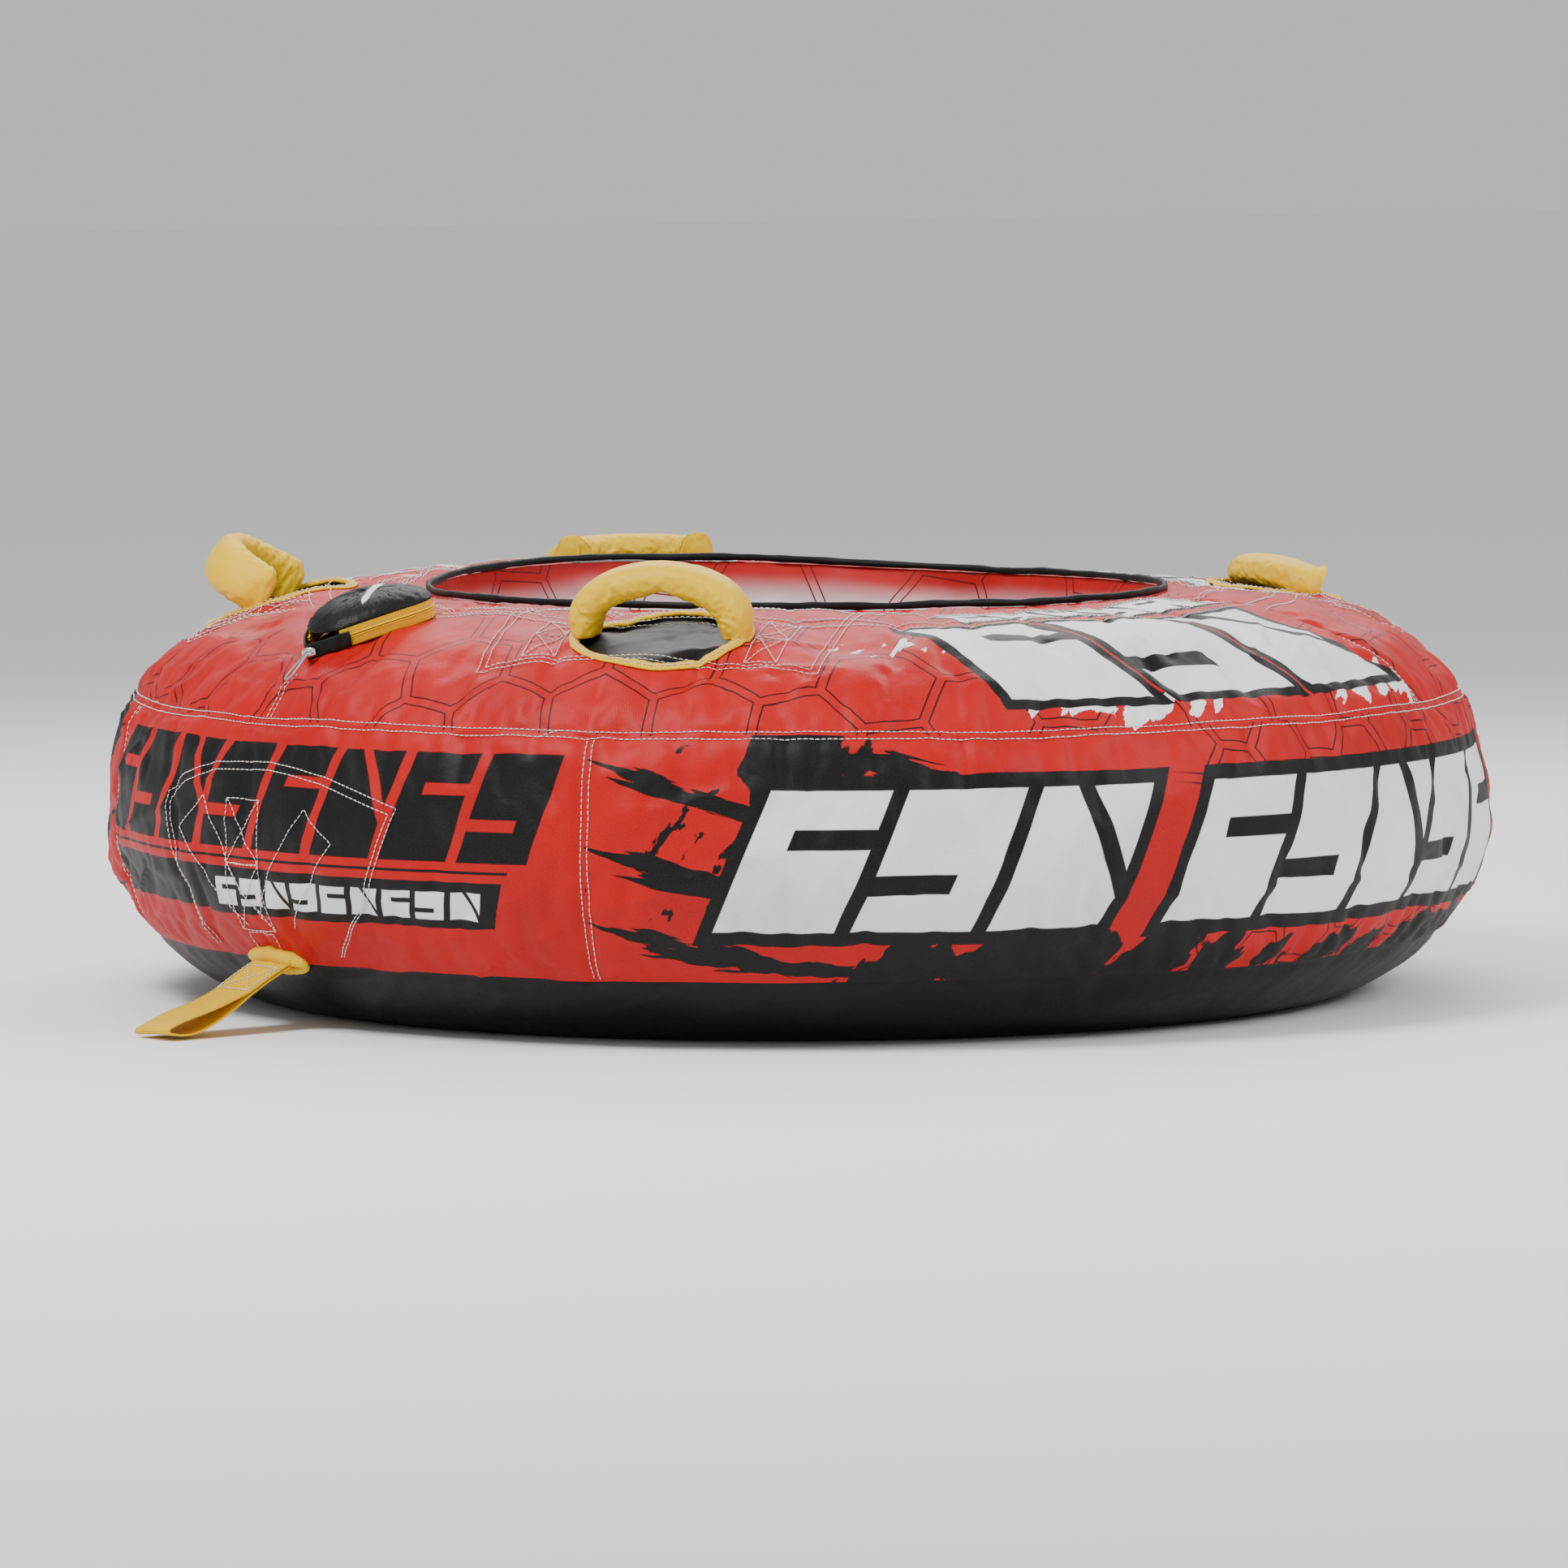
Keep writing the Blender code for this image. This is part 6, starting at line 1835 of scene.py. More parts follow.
@dataclass
class Handle:
    """One padded handle over its finger opening.

    Attributes:
        name: Its name in the frame.
        plan: Its plan angle.
        lean: Lean of its arch down the slope, in degrees.
        height: Height of its arch.
        twist: How far the band turns to face its lean.
        fold: Depth of the fold under its middle.
        skin: The cover's skin.
        cloths: Materials.
        needle: Thread.
    """

    name: str
    plan: float
    lean: float
    height: float
    twist: float
    fold: float
    skin: Skin
    cloths: Cloths
    needle: Needlework

    axis_height: float = 0.010
    span: float = 0.157
    width: float = 0.045
    thickness: float = 0.028
    opening: Place = (0.0715, 0.064)
    fill: float = 1.0

    def __post_init__(self) -> None:
        self.spot = Spot(self.skin, self.plan, 0.4675)

    def hole(self) -> Hole:
        """The oval opening in the cover."""
        across, down = self.opening
        return Hole(self.spot, lambda turn: across * down
                    / np.hypot(down * np.cos(turn), across * np.sin(turn)))

    def under(self, name: str, ends: tuple[float, float, float, float], depth: float, slot: str,
              material: bpy.types.Material, node: str) -> bpy.types.Object:
        """A patch that lies under the cover.

        Args:
            name: The piece's name.
            ends: Its limits along the ring and down the slope.
            depth: How far it lies under the skin.
            slot: A slot name, which is not used.
            material: Its material.
            node: The node it stands for.

        Returns:
            The patch.
        """
        low_u, high_u, low_v, high_v = ends
        columns, rows = int((high_u - low_u) / 0.004) + 2, int((high_v - low_v) / 0.004) + 2
        along, down = np.meshgrid(np.linspace(low_u, high_u, columns), np.linspace(low_v, high_v, rows))
        places = np.array(self.spot.places(zip(along.ravel(), down.ravel())))
        points = self.skin.read(places[:, 0], places[:, 1], -depth)
        piece = new_piece(name, points, grid_faces(rows, columns), material)
        chart_grid(piece, np.column_stack((along.ravel(), down.ravel())))
        face_towards(piece, self.spot.up)
        thicken(piece, 0.0008)
        return finish_piece(piece, "tube", slot, node)

    def stations(self, count: int, reach: float = 0.0) -> list[tuple]:
        """Centre, width axis, thickness axis and climb along the arch.

        Args:
            count: How many.
            reach: Share of the arch's turn that runs on straight down past each end.

        Returns:
            One tuple for each station.
        """
        rise = self.height - self.thickness * 0.5 - self.axis_height
        half_span = (self.span - self.thickness) * 0.5
        tilt = math.radians(self.lean)
        turned = Matrix((self.spot.along, self.spot.down, self.spot.up)).transposed()
        up = Vector((0.0, math.sin(tilt), math.cos(tilt)))
        base = Vector((0.0, 0.0, self.axis_height))
        result = []
        for step in range(count):
            angle = math.radians(180.0 * (step / (count - 1) * (1.0 + 2.0 * reach) - reach))
            below = max(0.0, -angle, angle - math.pi) * 0.05
            angle = min(max(angle, 0.0), math.pi)
            lateral, climb = math.cos(angle), math.sin(angle)
            centre = base + Vector((half_span * lateral, 0.0, -below)) + up * rise * climb
            tangent = (Vector((-half_span * climb, 0.0, 0.0)) + up * rise * lateral).normalized()
            turn = tilt * self.twist * climb
            width_axis = Vector((0.0, math.cos(turn), -math.sin(turn)))
            width_axis = (width_axis - tangent * width_axis.dot(tangent)).normalized()
            thick_axis = tangent.cross(width_axis).normalized()
            if thick_axis.dot(centre - base) < 0.0:
                thick_axis.negate()
            result.append((self.spot.origin + turned @ centre, turned @ width_axis, turned @ thick_axis,
                           climb, rise))
        return result

    def grip(self) -> bpy.types.Object:
        """The padded grip: filled cloth with a pinched fold and gathered ends."""
        count, sides = 72, 36
        rough = Roughcast(int(abs(self.plan) * 7) + 3)
        points = np.empty((count, sides, 3))
        for row, (centre, width_axis, thick_axis, _, _) in enumerate(self.stations(count, 0.075)):
            share = row / (count - 1)
            end = min(share, 1.0 - share)
            full = self.width * (0.5 - 0.06 * math.exp(-end / 0.05))
            thick = self.thickness * 0.5 * (1.0 - 0.22 * math.exp(-end / 0.04)) * self.fill
            pinch = math.exp(-((share - 0.47) / 0.055) ** 2) * self.fold
            for side in range(sides):
                angle = 2.0 * math.pi * (side + 0.5) / sides
                across = squared(math.cos(angle), 0.82)
                through = squared(math.sin(angle), 0.82)
                inner = max(0.0, -math.sin(angle))
                fold = 1.0 - inner * (0.10 + 0.40 * pinch)
                place = (angle / (2.0 * math.pi), share * 0.24)
                crease = rough.at(*place, 5, 0.016) * (0.0004 + 0.0012 * inner)
                gather = rough.at(*place, 15, 0.09) * 0.0018 * math.exp(-end / 0.07)
                push = 1.0 + (crease + gather) / 0.014
                lean = 0.0022 * rough.at(*place, 4, 0.05)
                points[row, side] = (centre + width_axis * (full * across * push + lean)
                                     + thick_axis * (thick * through * fold * push))
        faces = grid_faces(count, sides, close_columns=True)
        held = list(range(sides * 3)) + list(range((count - 3) * sides, count * sides))
        flat = points.reshape(-1, 3)
        filling = Cloth(pressure=1.2, slack=0.03, stiffness=8.0, bending=0.4, frames=14)
        moved = filling.inflate(flat, faces, held)
        shift = moved - flat
        length = np.linalg.norm(shift, axis=1, keepdims=True)
        points = (flat + shift * np.minimum(1.0, 0.0022 / np.maximum(length, 1e-9))).reshape(points.shape)
        # The rear left grip takes the shaded yellow: painted shade.
        piece = tube_piece(f"grip_pad_{self.name}", points, self.cloths.padding(self.name == "rear_left"))
        piece.data.shade_smooth()
        subdivide(piece)
        self.bend(piece, f"grip_{self.name}")
        return piece

    def bend(self, piece: bpy.types.Object, node: str) -> None:
        """Hides the node a piece stands for and bakes the piece's placing into its mesh."""
        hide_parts(node)
        start, end = self.spot.origin, self.spot.world(0.0, 0.0, 0.035)
        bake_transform(piece)

    def web(self) -> None:
        """The strap inside the grip."""
        rings, chart = [], []
        for row, (centre, width_axis, thick_axis, climb, rise) in enumerate(self.stations(40)):
            half = min(self.width * 0.5, 0.009 + 0.42 * rise * climb) - 0.0042
            for across, through in ((1, 1), (-1, 1), (-1, -1), (1, -1)):
                rings.append(centre + width_axis * half * across + thick_axis * 0.001 * through)
                chart.append((across * half, row * 0.004))
        rings = [rings[index:index + 4] for index in range(0, len(rings), 4)]
        piece = tube_piece(f"strap_in_grip_{self.name}", rings, self.cloths.webbing())
        chart_grid(piece, np.array(chart))
        self.bend(piece, f"grip_web_{self.name}")

    def binding(self) -> None:
        """The folded tape round the opening, with its row of thread."""
        count = 160
        across, down = self.opening
        section = ((-0.0012, -0.0008), (-0.0016, 0.0010), (-0.0008, 0.0023), (0.0012, 0.0027),
                   (0.0038, 0.0024),
                   (0.0062, 0.0021), (0.0071, 0.0012), (0.0066, 0.0002), (0.0030, 0.0003), (0.0004, -0.0016))
        rough = Roughcast(int(abs(self.plan)) + 40)
        rings, row = [], []
        for step in range(count):
            turn = 2.0 * math.pi * step / count
            wave = rough.at(step / count, 0.0, 44, 1.0)
            ring = []
            for out, proud in section:
                u, v = (across + out) * math.cos(turn), (down + out) * math.sin(turn)
                ring.append(self.spot.on_skin(u, v, proud * (1.0 + 0.25 * wave) + 0.0001))
            rings.append(ring)
            row.append(self.spot.place((across + 0.0030) * math.cos(turn), (down + 0.0030) * math.sin(turn)))
        piece = tube_piece(f"opening_tape_{self.name}", rings, self.cloths.webbing(), closed=True)
        arc = np.repeat(np.arange(count) * 0.0027, len(section))
        chart_grid(piece, np.column_stack((np.tile(np.arange(len(section)) * 0.0012, count), arc)))
        finish_piece(piece, "tube", "yellow_web", f"opening_binding_{self.name}")
        self.needle.sew(f"thread_opening_{self.name}", [row + row[:1]], 0.0027)

    def box(self, low_u: float, high_u: float, low_v: float, high_v: float) -> list[Place]:
        """A closed rectangle of places."""
        corners = ((low_u, low_v), (high_u, low_v), (high_u, high_v), (low_u, high_v), (low_u, low_v))
        return self.line(corners)

    def line(self, corners: Sequence[Place]) -> list[Place]:
        """Places along straight lines between local points."""
        result = []
        for (u0, v0), (u1, v1) in zip(corners, corners[1:]):
            for step in range(8):
                share = step / 8.0
                result.append(self.spot.place(u0 + (u1 - u0) * share, v0 + (v1 - v0) * share))
        return result + [self.spot.place(*corners[-1])]

    def stitches(self) -> None:
        """Two rows round the patch, and two crossed boxes on each strap end."""
        runs = [self.box(-0.147 + inset, 0.147 - inset, -0.112 + inset, 0.0585 - inset)
                for inset in (0.0, 0.0064)]
        self.needle.sew(f"thread_patch_{self.name}", runs)
        runs = []
        for sign in (-1.0, 1.0):
            low, high = sorted((sign * 0.0675, sign * 0.1095))
            low, high = (max(low, 0.0815), high) if sign > 0 else (low, min(high, -0.0815))
            runs += [self.box(low, high, -0.047, 0.047), self.line(((low, 0.0), (high, 0.0)))]
            for bottom, top in ((-0.047, 0.0), (0.0, 0.047)):
                runs += [self.line(((low, bottom), (high, top))), self.line(((high, bottom), (low, top)))]
        self.needle.sew(f"thread_boxes_{self.name}", runs)

    def build(self) -> None:
        """Makes the handle and everything sewn round it."""
        black = self.cloths.panel(Print.PLAIN, PALETTE.black)
        self.under(f"backing_{self.name}", (-0.151, 0.151, -0.118, 0.062), 0.0036, "black_fabric", black,
                   f"backing_patch_{self.name}")
        webbing = self.cloths.webbing()
        for side, low, high in (("a", -0.112, -0.074), ("b", 0.074, 0.112)):
            self.under(f"strap_end_{self.name}_{side}", (low, high, -0.05, 0.05), 0.0016, "yellow_web",
                       webbing,
                       f"web_tab_{self.name}_{side}")
        self.grip()
        self.web()
        self.binding()
        self.stitches()


# ---------------------------------------------------------------- tow point


@dataclass
class TowPoint:
    """The strap loop that the rope ties to, its cuff, and the sewn harness behind it.

    Attributes:
        skin: The cover's skin.
        cloths: Materials.
        needle: Thread.
    """

    skin: Skin
    cloths: Cloths
    needle: Needlework

    route: tuple = ((0.5760, 0.0572), (0.5790, 0.0560), (0.5990, 0.0462), (0.6290, 0.0300), (0.6560, 0.0178),
                    (0.6800, 0.0104), (0.7020, 0.0074))
    half_width: float = 0.025
    thickness: float = 0.0022

    def build(self) -> None:
        """Makes every piece of the tow point."""
        self.loop()
        self.cuff()
        self.harness()
        self.hidden()

    def place(self, u: float, height: float) -> Place:
        """Plan angle and drop of a place on the side from its arc length and height."""
        return math.degrees(u / SECTION.tube_radius), self.skin.drop_at_height(height)

    def loop(self) -> None:
        """The folded strap, sewn flat near its root and open at its tip."""
        steps = 56
        knots = np.array(self.route)
        centre = spline_rows(knots, np.linspace(0.0, len(knots) - 1.0001, steps + 1), False)
        along = np.gradient(centre, axis=0)
        along /= np.linalg.norm(along, axis=1, keepdims=True)
        normal = np.column_stack((-along[:, 1], along[:, 0]))
        share = np.linspace(0.0, 1.0, steps + 1)
        loose = np.clip((share - 0.45) / 0.55, 0.0, 1.0)
        half = 0.00135 + 0.0055 * np.sin(math.pi * loose ** 1.25) ** 0.9
        half = np.where(loose > 0.5, np.maximum(half, 0.0024), half)[:, None]
        tip = centre[-1] + along[-1] * 0.0024
        route = np.vstack((centre + normal * half, tip, (centre - normal * half)[::-1]))
        ways = np.gradient(route, axis=0)
        ways /= np.linalg.norm(ways, axis=1, keepdims=True)
        across = np.column_stack((-ways[:, 1], ways[:, 0]))
        rings, chart, run = [], [], 0.0
        profile = [(s, n) for s, n in zip(np.linspace(1.0, -1.0, 9), [0.6] + [1.0] * 7 + [0.6])]
        profile += [(-s, -n) for s, n in profile]
        for index, point in enumerate(route):
            run += float(np.linalg.norm(route[index] - route[index - 1])) if index else 0.0
            outward = min(1.0, max(0.0, (point[0] - 0.585) / 0.12))
            ring = []
            for side, lift in profile:
                curl = outward * (0.0016 * side * abs(side) + 0.0007 * math.sin(run * 95.0 + side * 2.0))
                place = point + across[index] * lift * self.thickness * 0.5
                ring.append((side * self.half_width, AXIS_Y - place[0], max(place[1] + curl, 0.0002)))
                chart.append((side * self.half_width, run))
            rings.append(ring)
        piece = tube_piece("tow_strap", rings, self.cloths.webbing())
        chart_grid(piece, np.array(chart))
        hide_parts("tow_loop")
        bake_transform(piece)
        self.strap_thread(centre + normal * (half + self.thickness * 0.5 + 0.0002), along)

    def strap_thread(self, upper: np.ndarray, along: np.ndarray) -> None:
        """A crossed box on the strap's upper face, past the place where it bends."""
        near, far = 14, 25
        first, last = upper[near], upper[far]
        corner = [Vector((side * 0.021, AXIS_Y - point[0], point[1]))
                  for point in (first, last) for side in (1, -1)]
        way = along[(near + far) // 2]
        normal = Vector((0.0, way[1], way[0]))
        runs = [(corner[0], corner[2], corner[3], corner[1], corner[0]), (corner[0], corner[3]),
                (corner[1], corner[2])]
        self.needle.join("thread_tow_strap", [self.needle.along_points(run, normal) for run in runs],
                         "tow_loop")

    def cuff(self) -> None:
        """The padded lip round the slit that the strap comes out of."""
        count, sides = 96, 14
        rough = Roughcast(71)
        rings = []
        slit = self.skin.drop_at_height(0.0565)
        for step in range(count):
            turn = 2.0 * math.pi * step / count
            u = 0.0365 * squared(math.cos(turn), 0.75)
            v = -0.0075 * squared(math.sin(turn), 0.9) - 0.002
            upper = max(0.0, math.sin(turn))
            swell = rough.at(step / count, 0.0, 26, 1.0)
            size = 0.0034 + 0.0042 * upper + 0.0007 * swell
            out = Vector((math.cos(turn), math.sin(turn), 0.0)).normalized()
            plan, drop = math.degrees(u / 0.58), slit + v
            middle = Vector(self.skin.read(np.array((plan,)), np.array((drop,)), np.array((0.0018,)))[0])
            normal = self.skin.normal(plan, drop)
            side_way = Vector((math.cos(math.radians(plan)), math.sin(math.radians(plan)), 0.0))
            up_way = normal.cross(side_way) * (1.0 if normal.cross(side_way).z > 0.0 else -1.0)
            radial = side_way * out.x + up_way * out.y
            rings.append(round_ring(middle, radial * (size * 1.25), normal * size, sides))
        # The lip takes the shaded yellow: painted shade.
        piece = tube_piece("tow_lip", rings, self.cloths.padding(True), closed=True)
        subdivide(piece)
        finish_piece(piece, "tube", "yellow_web", "tow_cuff")

    def harness(self) -> None:
        """The rows of thread that hold the inner straps and their patch."""
        arc = [(-0.095, 0.066), (-0.124, 0.197), (-0.095, 0.214), (-0.045, 0.227), (0.03, 0.231),
               (0.10, 0.222),
               (0.183, 0.199), (0.150, 0.120), (0.095, 0.066)]
        inner = [(u * 0.955 + 0.001, 0.066 + (z - 0.066) * 0.96) for u, z in arc]
        self.sew("thread_tow_patch", [arc, inner])
        boxes = []
        for low, high in ((0.143, 0.198), (0.086, 0.143)):
            boxes += [[(-0.023, low), (0.023, low), (0.023, high), (-0.023, high), (-0.023, low)],
                      [(-0.023, low), (0.023, high)], [(0.023, low), (-0.023, high)]]
        boxes.append([(-0.018, 0.066), (0.018, 0.066), (0.018, 0.084), (-0.018, 0.084), (-0.018, 0.066)])
        boxes += [[(-0.057, 0.198), (-0.094, 0.169), (-0.012, 0.090)], [(-0.057, 0.198), (0.012, 0.095)],
                  [(0.080, 0.193), (0.117, 0.166), (0.048, 0.089)], [(0.080, 0.193), (0.010, 0.100)]]
        self.sew("thread_tow_straps", boxes)

    def sew(self, name: str, runs: Sequence) -> None:
        """Sews rows given by arc length and height, through a few wandering places."""
        laid = []
        for run in runs:
            knots = np.array(run)
            dense = np.linspace(0.0, len(knots) - 1.0, 12 * (len(knots) - 1) + 1)
            u = np.interp(dense, np.arange(len(knots)), knots[:, 0]) + 0.0004 * np.sin(dense * 9.0)
            z = np.interp(dense, np.arange(len(knots)), knots[:, 1]) + 0.0004 * np.cos(dense * 7.0)
            laid.append([self.place(*pair) for pair in zip(u, z)])
        self.needle.sew(name, laid)

    def hidden(self) -> None:
        """The patch and the three straps that lie behind the cloth."""
        webbing = self.cloths.webbing()
        black = self.cloths.panel(Print.PLAIN, PALETTE.black)
        straps = (("tow_web_centre", ((-0.023, 0.076), (0.023, 0.076)), ((-0.023, 0.200), (0.023, 0.200)),
                   0.0018),
                  ("tow_web_left", ((-0.060, 0.086), (-0.028, 0.076)), ((-0.110, 0.184), (-0.074, 0.184)),
                   0.0018),
                  ("tow_web_right", ((0.028, 0.076), (0.060, 0.086)), ((0.074, 0.184), (0.110, 0.184)),
                   0.0018))
        for name, foot, top, depth in straps:
            self.lay(f"inner_{name}", foot, top, depth, webbing, "yellow_web", name)
        self.lay("inner_tow_patch", ((-0.095, 0.070), (0.095, 0.070)), ((-0.150, 0.226), (0.150, 0.226)),
                 0.0034,
                 black, "red_fabric", "tow_patch")

    def lay(self, name: str, foot: Sequence[Place], top: Sequence[Place], depth: float,
            material: bpy.types.Material, slot: str, node: str) -> None:
        """One flat piece behind the side's cloth, between a foot edge and a top edge."""
        rows, columns = 26, 22
        foot, top = np.array(foot), np.array(top)
        s, t = np.meshgrid(np.linspace(0.0, 1.0, columns), np.linspace(0.0, 1.0, rows))
        low = foot[0] + (foot[1] - foot[0]) * s[..., None]
        high = top[0] + (top[1] - top[0]) * s[..., None]
        flat = (low + (high - low) * t[..., None]).reshape(-1, 2)
        places = np.array([self.place(u, z) for u, z in flat])
        piece = new_piece(name, self.skin.read(places[:, 0], places[:, 1], -depth), grid_faces(rows, columns),
                          material)
        chart_grid(piece, flat)
        face_towards(piece, Vector((0.0, -1.0, 0.0)))
        thicken(piece, 0.0009)
        finish_piece(piece, "tube", slot, node)


# ---------------------------------------------------------------- zipped hatch


@dataclass
class Hatch:
    """The zipped lid over the valve.

    Attributes:
        skin: The cover's skin.
        cloths: Soft materials.
        hard: Hard materials.
    """

    skin: Skin
    cloths: Cloths
    hard: HardStuff

    half_width: float = 0.045
    tip_reach: float = 0.081
    round_offset: float = 0.018
    end_angle: float = 41.0
    tape: Place = (0.0012, 0.0070)
    coil_gap: float = 0.0024
    surface_gap: float = 0.0006
    rise: float = 0.014
    end_reach: float = 0.052

    def __post_init__(self) -> None:
        self.spot = Spot(self.skin, 0.0, 0.476)
        self.arc_radius = (self.half_width ** 2 + self.tip_reach ** 2) / (2.0 * self.half_width)
        self.coil_height = self.surface_gap + self.tape[1] + self.coil_gap * 0.5
        self.tip_angle = math.degrees(math.asin(self.tip_reach / self.arc_radius))

    def over(self, u: float, v: float, height: float) -> Vector:
        """A point over the smooth cover."""
        return self.spot.settle(u, v) + self.spot.up * height

    def side_point(self, angle: float, side: float, offset: float = 0.0) -> Place:
        """A point on a long side: angle 0 at the widest place."""
        turn = math.radians(angle)
        centre = self.half_width - self.arc_radius
        return (side * (centre + (self.arc_radius + offset) * math.cos(turn)),
                -self.round_offset + (self.arc_radius + offset) * math.sin(turn))

    def outline(self, end_angle: float, offset: float = 0.0, side_steps: int = 34,
                round_steps: int = 44) -> list:
        """The U of the zip: a long side, the round inner end, and the other long side."""
        reach = self.half_width + offset
        points = [self.side_point(end_angle * (1.0 - step / side_steps), 1.0,
                                  offset) for step in range(side_steps)]
        for step in range(round_steps + 1):
            turn = math.pi * step / round_steps
            points.append((reach * math.cos(turn), -self.round_offset - reach * math.sin(turn)))
        points += [self.side_point(end_angle * (step + 1) / side_steps, -1.0,
                                   offset) for step in range(side_steps)]
        return points

    def hole(self) -> Hole:
        """The opening in the cover inside the zip."""
        edge = self.outline(self.end_angle - 3.0, -0.0042) + [(0.0, self.end_reach - 0.012)]
        middle = (0.0, -0.012)
        local = np.array(edge) - np.array(middle)
        turn = np.arctan2(local[:, 1], local[:, 0])
        order = np.argsort(turn)
        turns, reach = turn[order], np.hypot(*local[order].T)
        return Hole(self.spot, lambda angle: np.interp(angle, turns, reach, period=2.0 * math.pi), middle,
                    0.5)

    def wall(self, name: str, outer: list, inner: list, low: float, high: float, wave: float,
             material: bpy.types.Material) -> bpy.types.Object:
        """A standing strip of tape with soft edges.

        Args:
            name: Its name.
            outer: Its outer outline.
            inner: Its inner outline.
            low: Height of its lower edge over the cover.
            high: Height of its upper edge.
            wave: How far it wavers.
            material: Its material.

        Returns:
            The strip.
        """
        rings, chart = [], []
        heights = (0.0, 0.12, 0.5, 0.88, 1.0)
        for step, (a, b) in enumerate(zip(outer, inner)):
            shift = wave * math.sin(step * 0.9) * math.sin(step * 0.31)
            profile = [(a, share) for share in heights] + [(b, share) for share in reversed(heights)]
            ring = []
            for index, ((u, v), share) in enumerate(profile):
                height = low + (high - low) * share
                mid_u, mid_v = (a[0] + b[0]) * 0.5, (a[1] + b[1]) * 0.5
                pinch = 0.55 if share in (0.0, 1.0) else 1.0
                ring.append(self.over(mid_u + (u - mid_u) * pinch + shift * math.sin(math.pi * share),
                                      mid_v + (v - mid_v) * pinch, height))
                chart.append((index * 0.0016, step * 0.0032))
            rings.append(ring)
        piece = tube_piece(name, rings, material)
        chart_grid(piece, np.array(chart))
        return piece

    def coil(self, name: str, height: float, body: str) -> None:
        """One row of zip teeth: a small spiral along the tape's edge."""
        path = self.outline(self.end_angle + 3.0, 0.0002, 90, 110)
        rings = []
        for step, (u, v) in enumerate(path):
            size = 0.00115 * (1.0 if step % 2 else 0.62)
            middle = self.over(u, v, height)
            after = self.over(*path[min(step + 1, len(path) - 1)], height)
            before = self.over(*path[max(step - 1, 0)], height)
            along = (after - before).normalized()
            side = along.cross(self.spot.up).normalized()
            rings.append(round_ring(middle, side * (size * 1.2), self.spot.up * (size * 0.85), 6))
        # The teeth take the shaded yellow: painted shade.
        piece = tube_piece(name, rings, self.cloths.padding(True))
        finish_piece(piece, body, "yellow_web")

    def dome_outline(self, scale: float) -> list:
        """Plan outline of the lid, shrunk towards its middle."""
        points = self.outline(self.end_angle, 0.0)
        reach = (0.0, self.end_reach)
        closing = []
        for first, last in ((points[-1], reach), (reach, points[0])):
            for step in range(1, 9):
                share = step / 8.0
                bow = 0.0018 * math.sin(math.pi * share)
                closing.append((first[0] + (last[0] - first[0]) * share,
                                first[1] + (last[1] - first[1]) * share + bow))
        middle = (0.0, -self.round_offset + 0.008)
        closed = points + closing[:-1]
        return [(middle[0] + (u - middle[0]) * scale, middle[1] + (v - middle[1]) * scale) for u, v in closed]

    def lid(self) -> None:
        """The crowned black lid."""
        base = self.coil_height + self.coil_gap * 0.5 + self.tape[1] - 0.0008
        rough = Roughcast(57)
        levels = np.concatenate((np.array((1.004, 1.012, 1.008, 0.99)), np.linspace(0.965, 0.06, 15)))
        rings, chart = [], []
        for index, scale in enumerate(levels):
            inside = min(1.0, float(scale))
            share = (1.0 - inside ** 2.6) ** 0.72 if index > 3 else 0.0
            lift = (0.0, 0.0010, 0.0022, 0.0030)[index] if index < 4 else 0.0030
            ring = []
            for step, (u, v) in enumerate(self.dome_outline(float(scale))):
                wave = rough.at(step / 130.0, float(scale) * 0.05, 30, 0.011)
                edge = math.exp(-((1.0 - inside) / 0.16) ** 2)
                height = base + lift + (self.rise - 0.0018) * share + wave * (0.0006 + 0.0006
                                                                              * edge) * (index > 1)
                ring.append(self.over(u, v, height))
                chart.append((u, v))
            rings.append(ring)
        piece = tube_piece("hatch_lid", rings, self.cloths.flap())
        chart_grid(piece, np.array(chart))
        finish_piece(piece, "hatch", "black_fabric", "hatch_flap")

    def garage(self) -> None:
        """The folded black piece over the end of the zip."""
        start, end = 35.5, self.tip_angle - 0.4
        angles = np.linspace(start, end, 26)
        inner, outer = [], []
        for side, run in ((1.0, angles), (-1.0, angles[::-1])):
            for angle in run:
                near = (angle - start) / (end - start)
                puff = 0.0008 * math.sin(near * 21.0) * (1.0 - near)
                inner.append(self.side_point(angle, side, 0.0016))
                outer.append(self.side_point(angle, side, 0.0016 + 0.0024 + puff))
        black = self.cloths.panel(Print.PLAIN, PALETTE.black)
        piece = self.wall("hatch_end_cover", outer, inner, self.surface_gap, 0.0142, 0.0005, black)
        subdivide(piece)
        finish_piece(piece, "tube", "black_fabric", "zip_garage")

    def slider_axes(self) -> tuple[Vector, Vector, Vector, Vector]:
        """Middle of the slider, and its axes along the zip, away from it and up."""
        radius = self.arc_radius + 0.0016 + 0.0022 + 0.0007 + 0.0021
        turn = math.radians(57.0)
        across, down = math.cos(turn), math.sin(turn)
        place = (self.half_width - self.arc_radius + radius * across, -self.round_offset + radius * down)
        along = self.spot.along * -down + self.spot.down * across
        away = self.spot.along * across + self.spot.down * down
        return self.over(*place, self.coil_height), along, away, self.spot.up

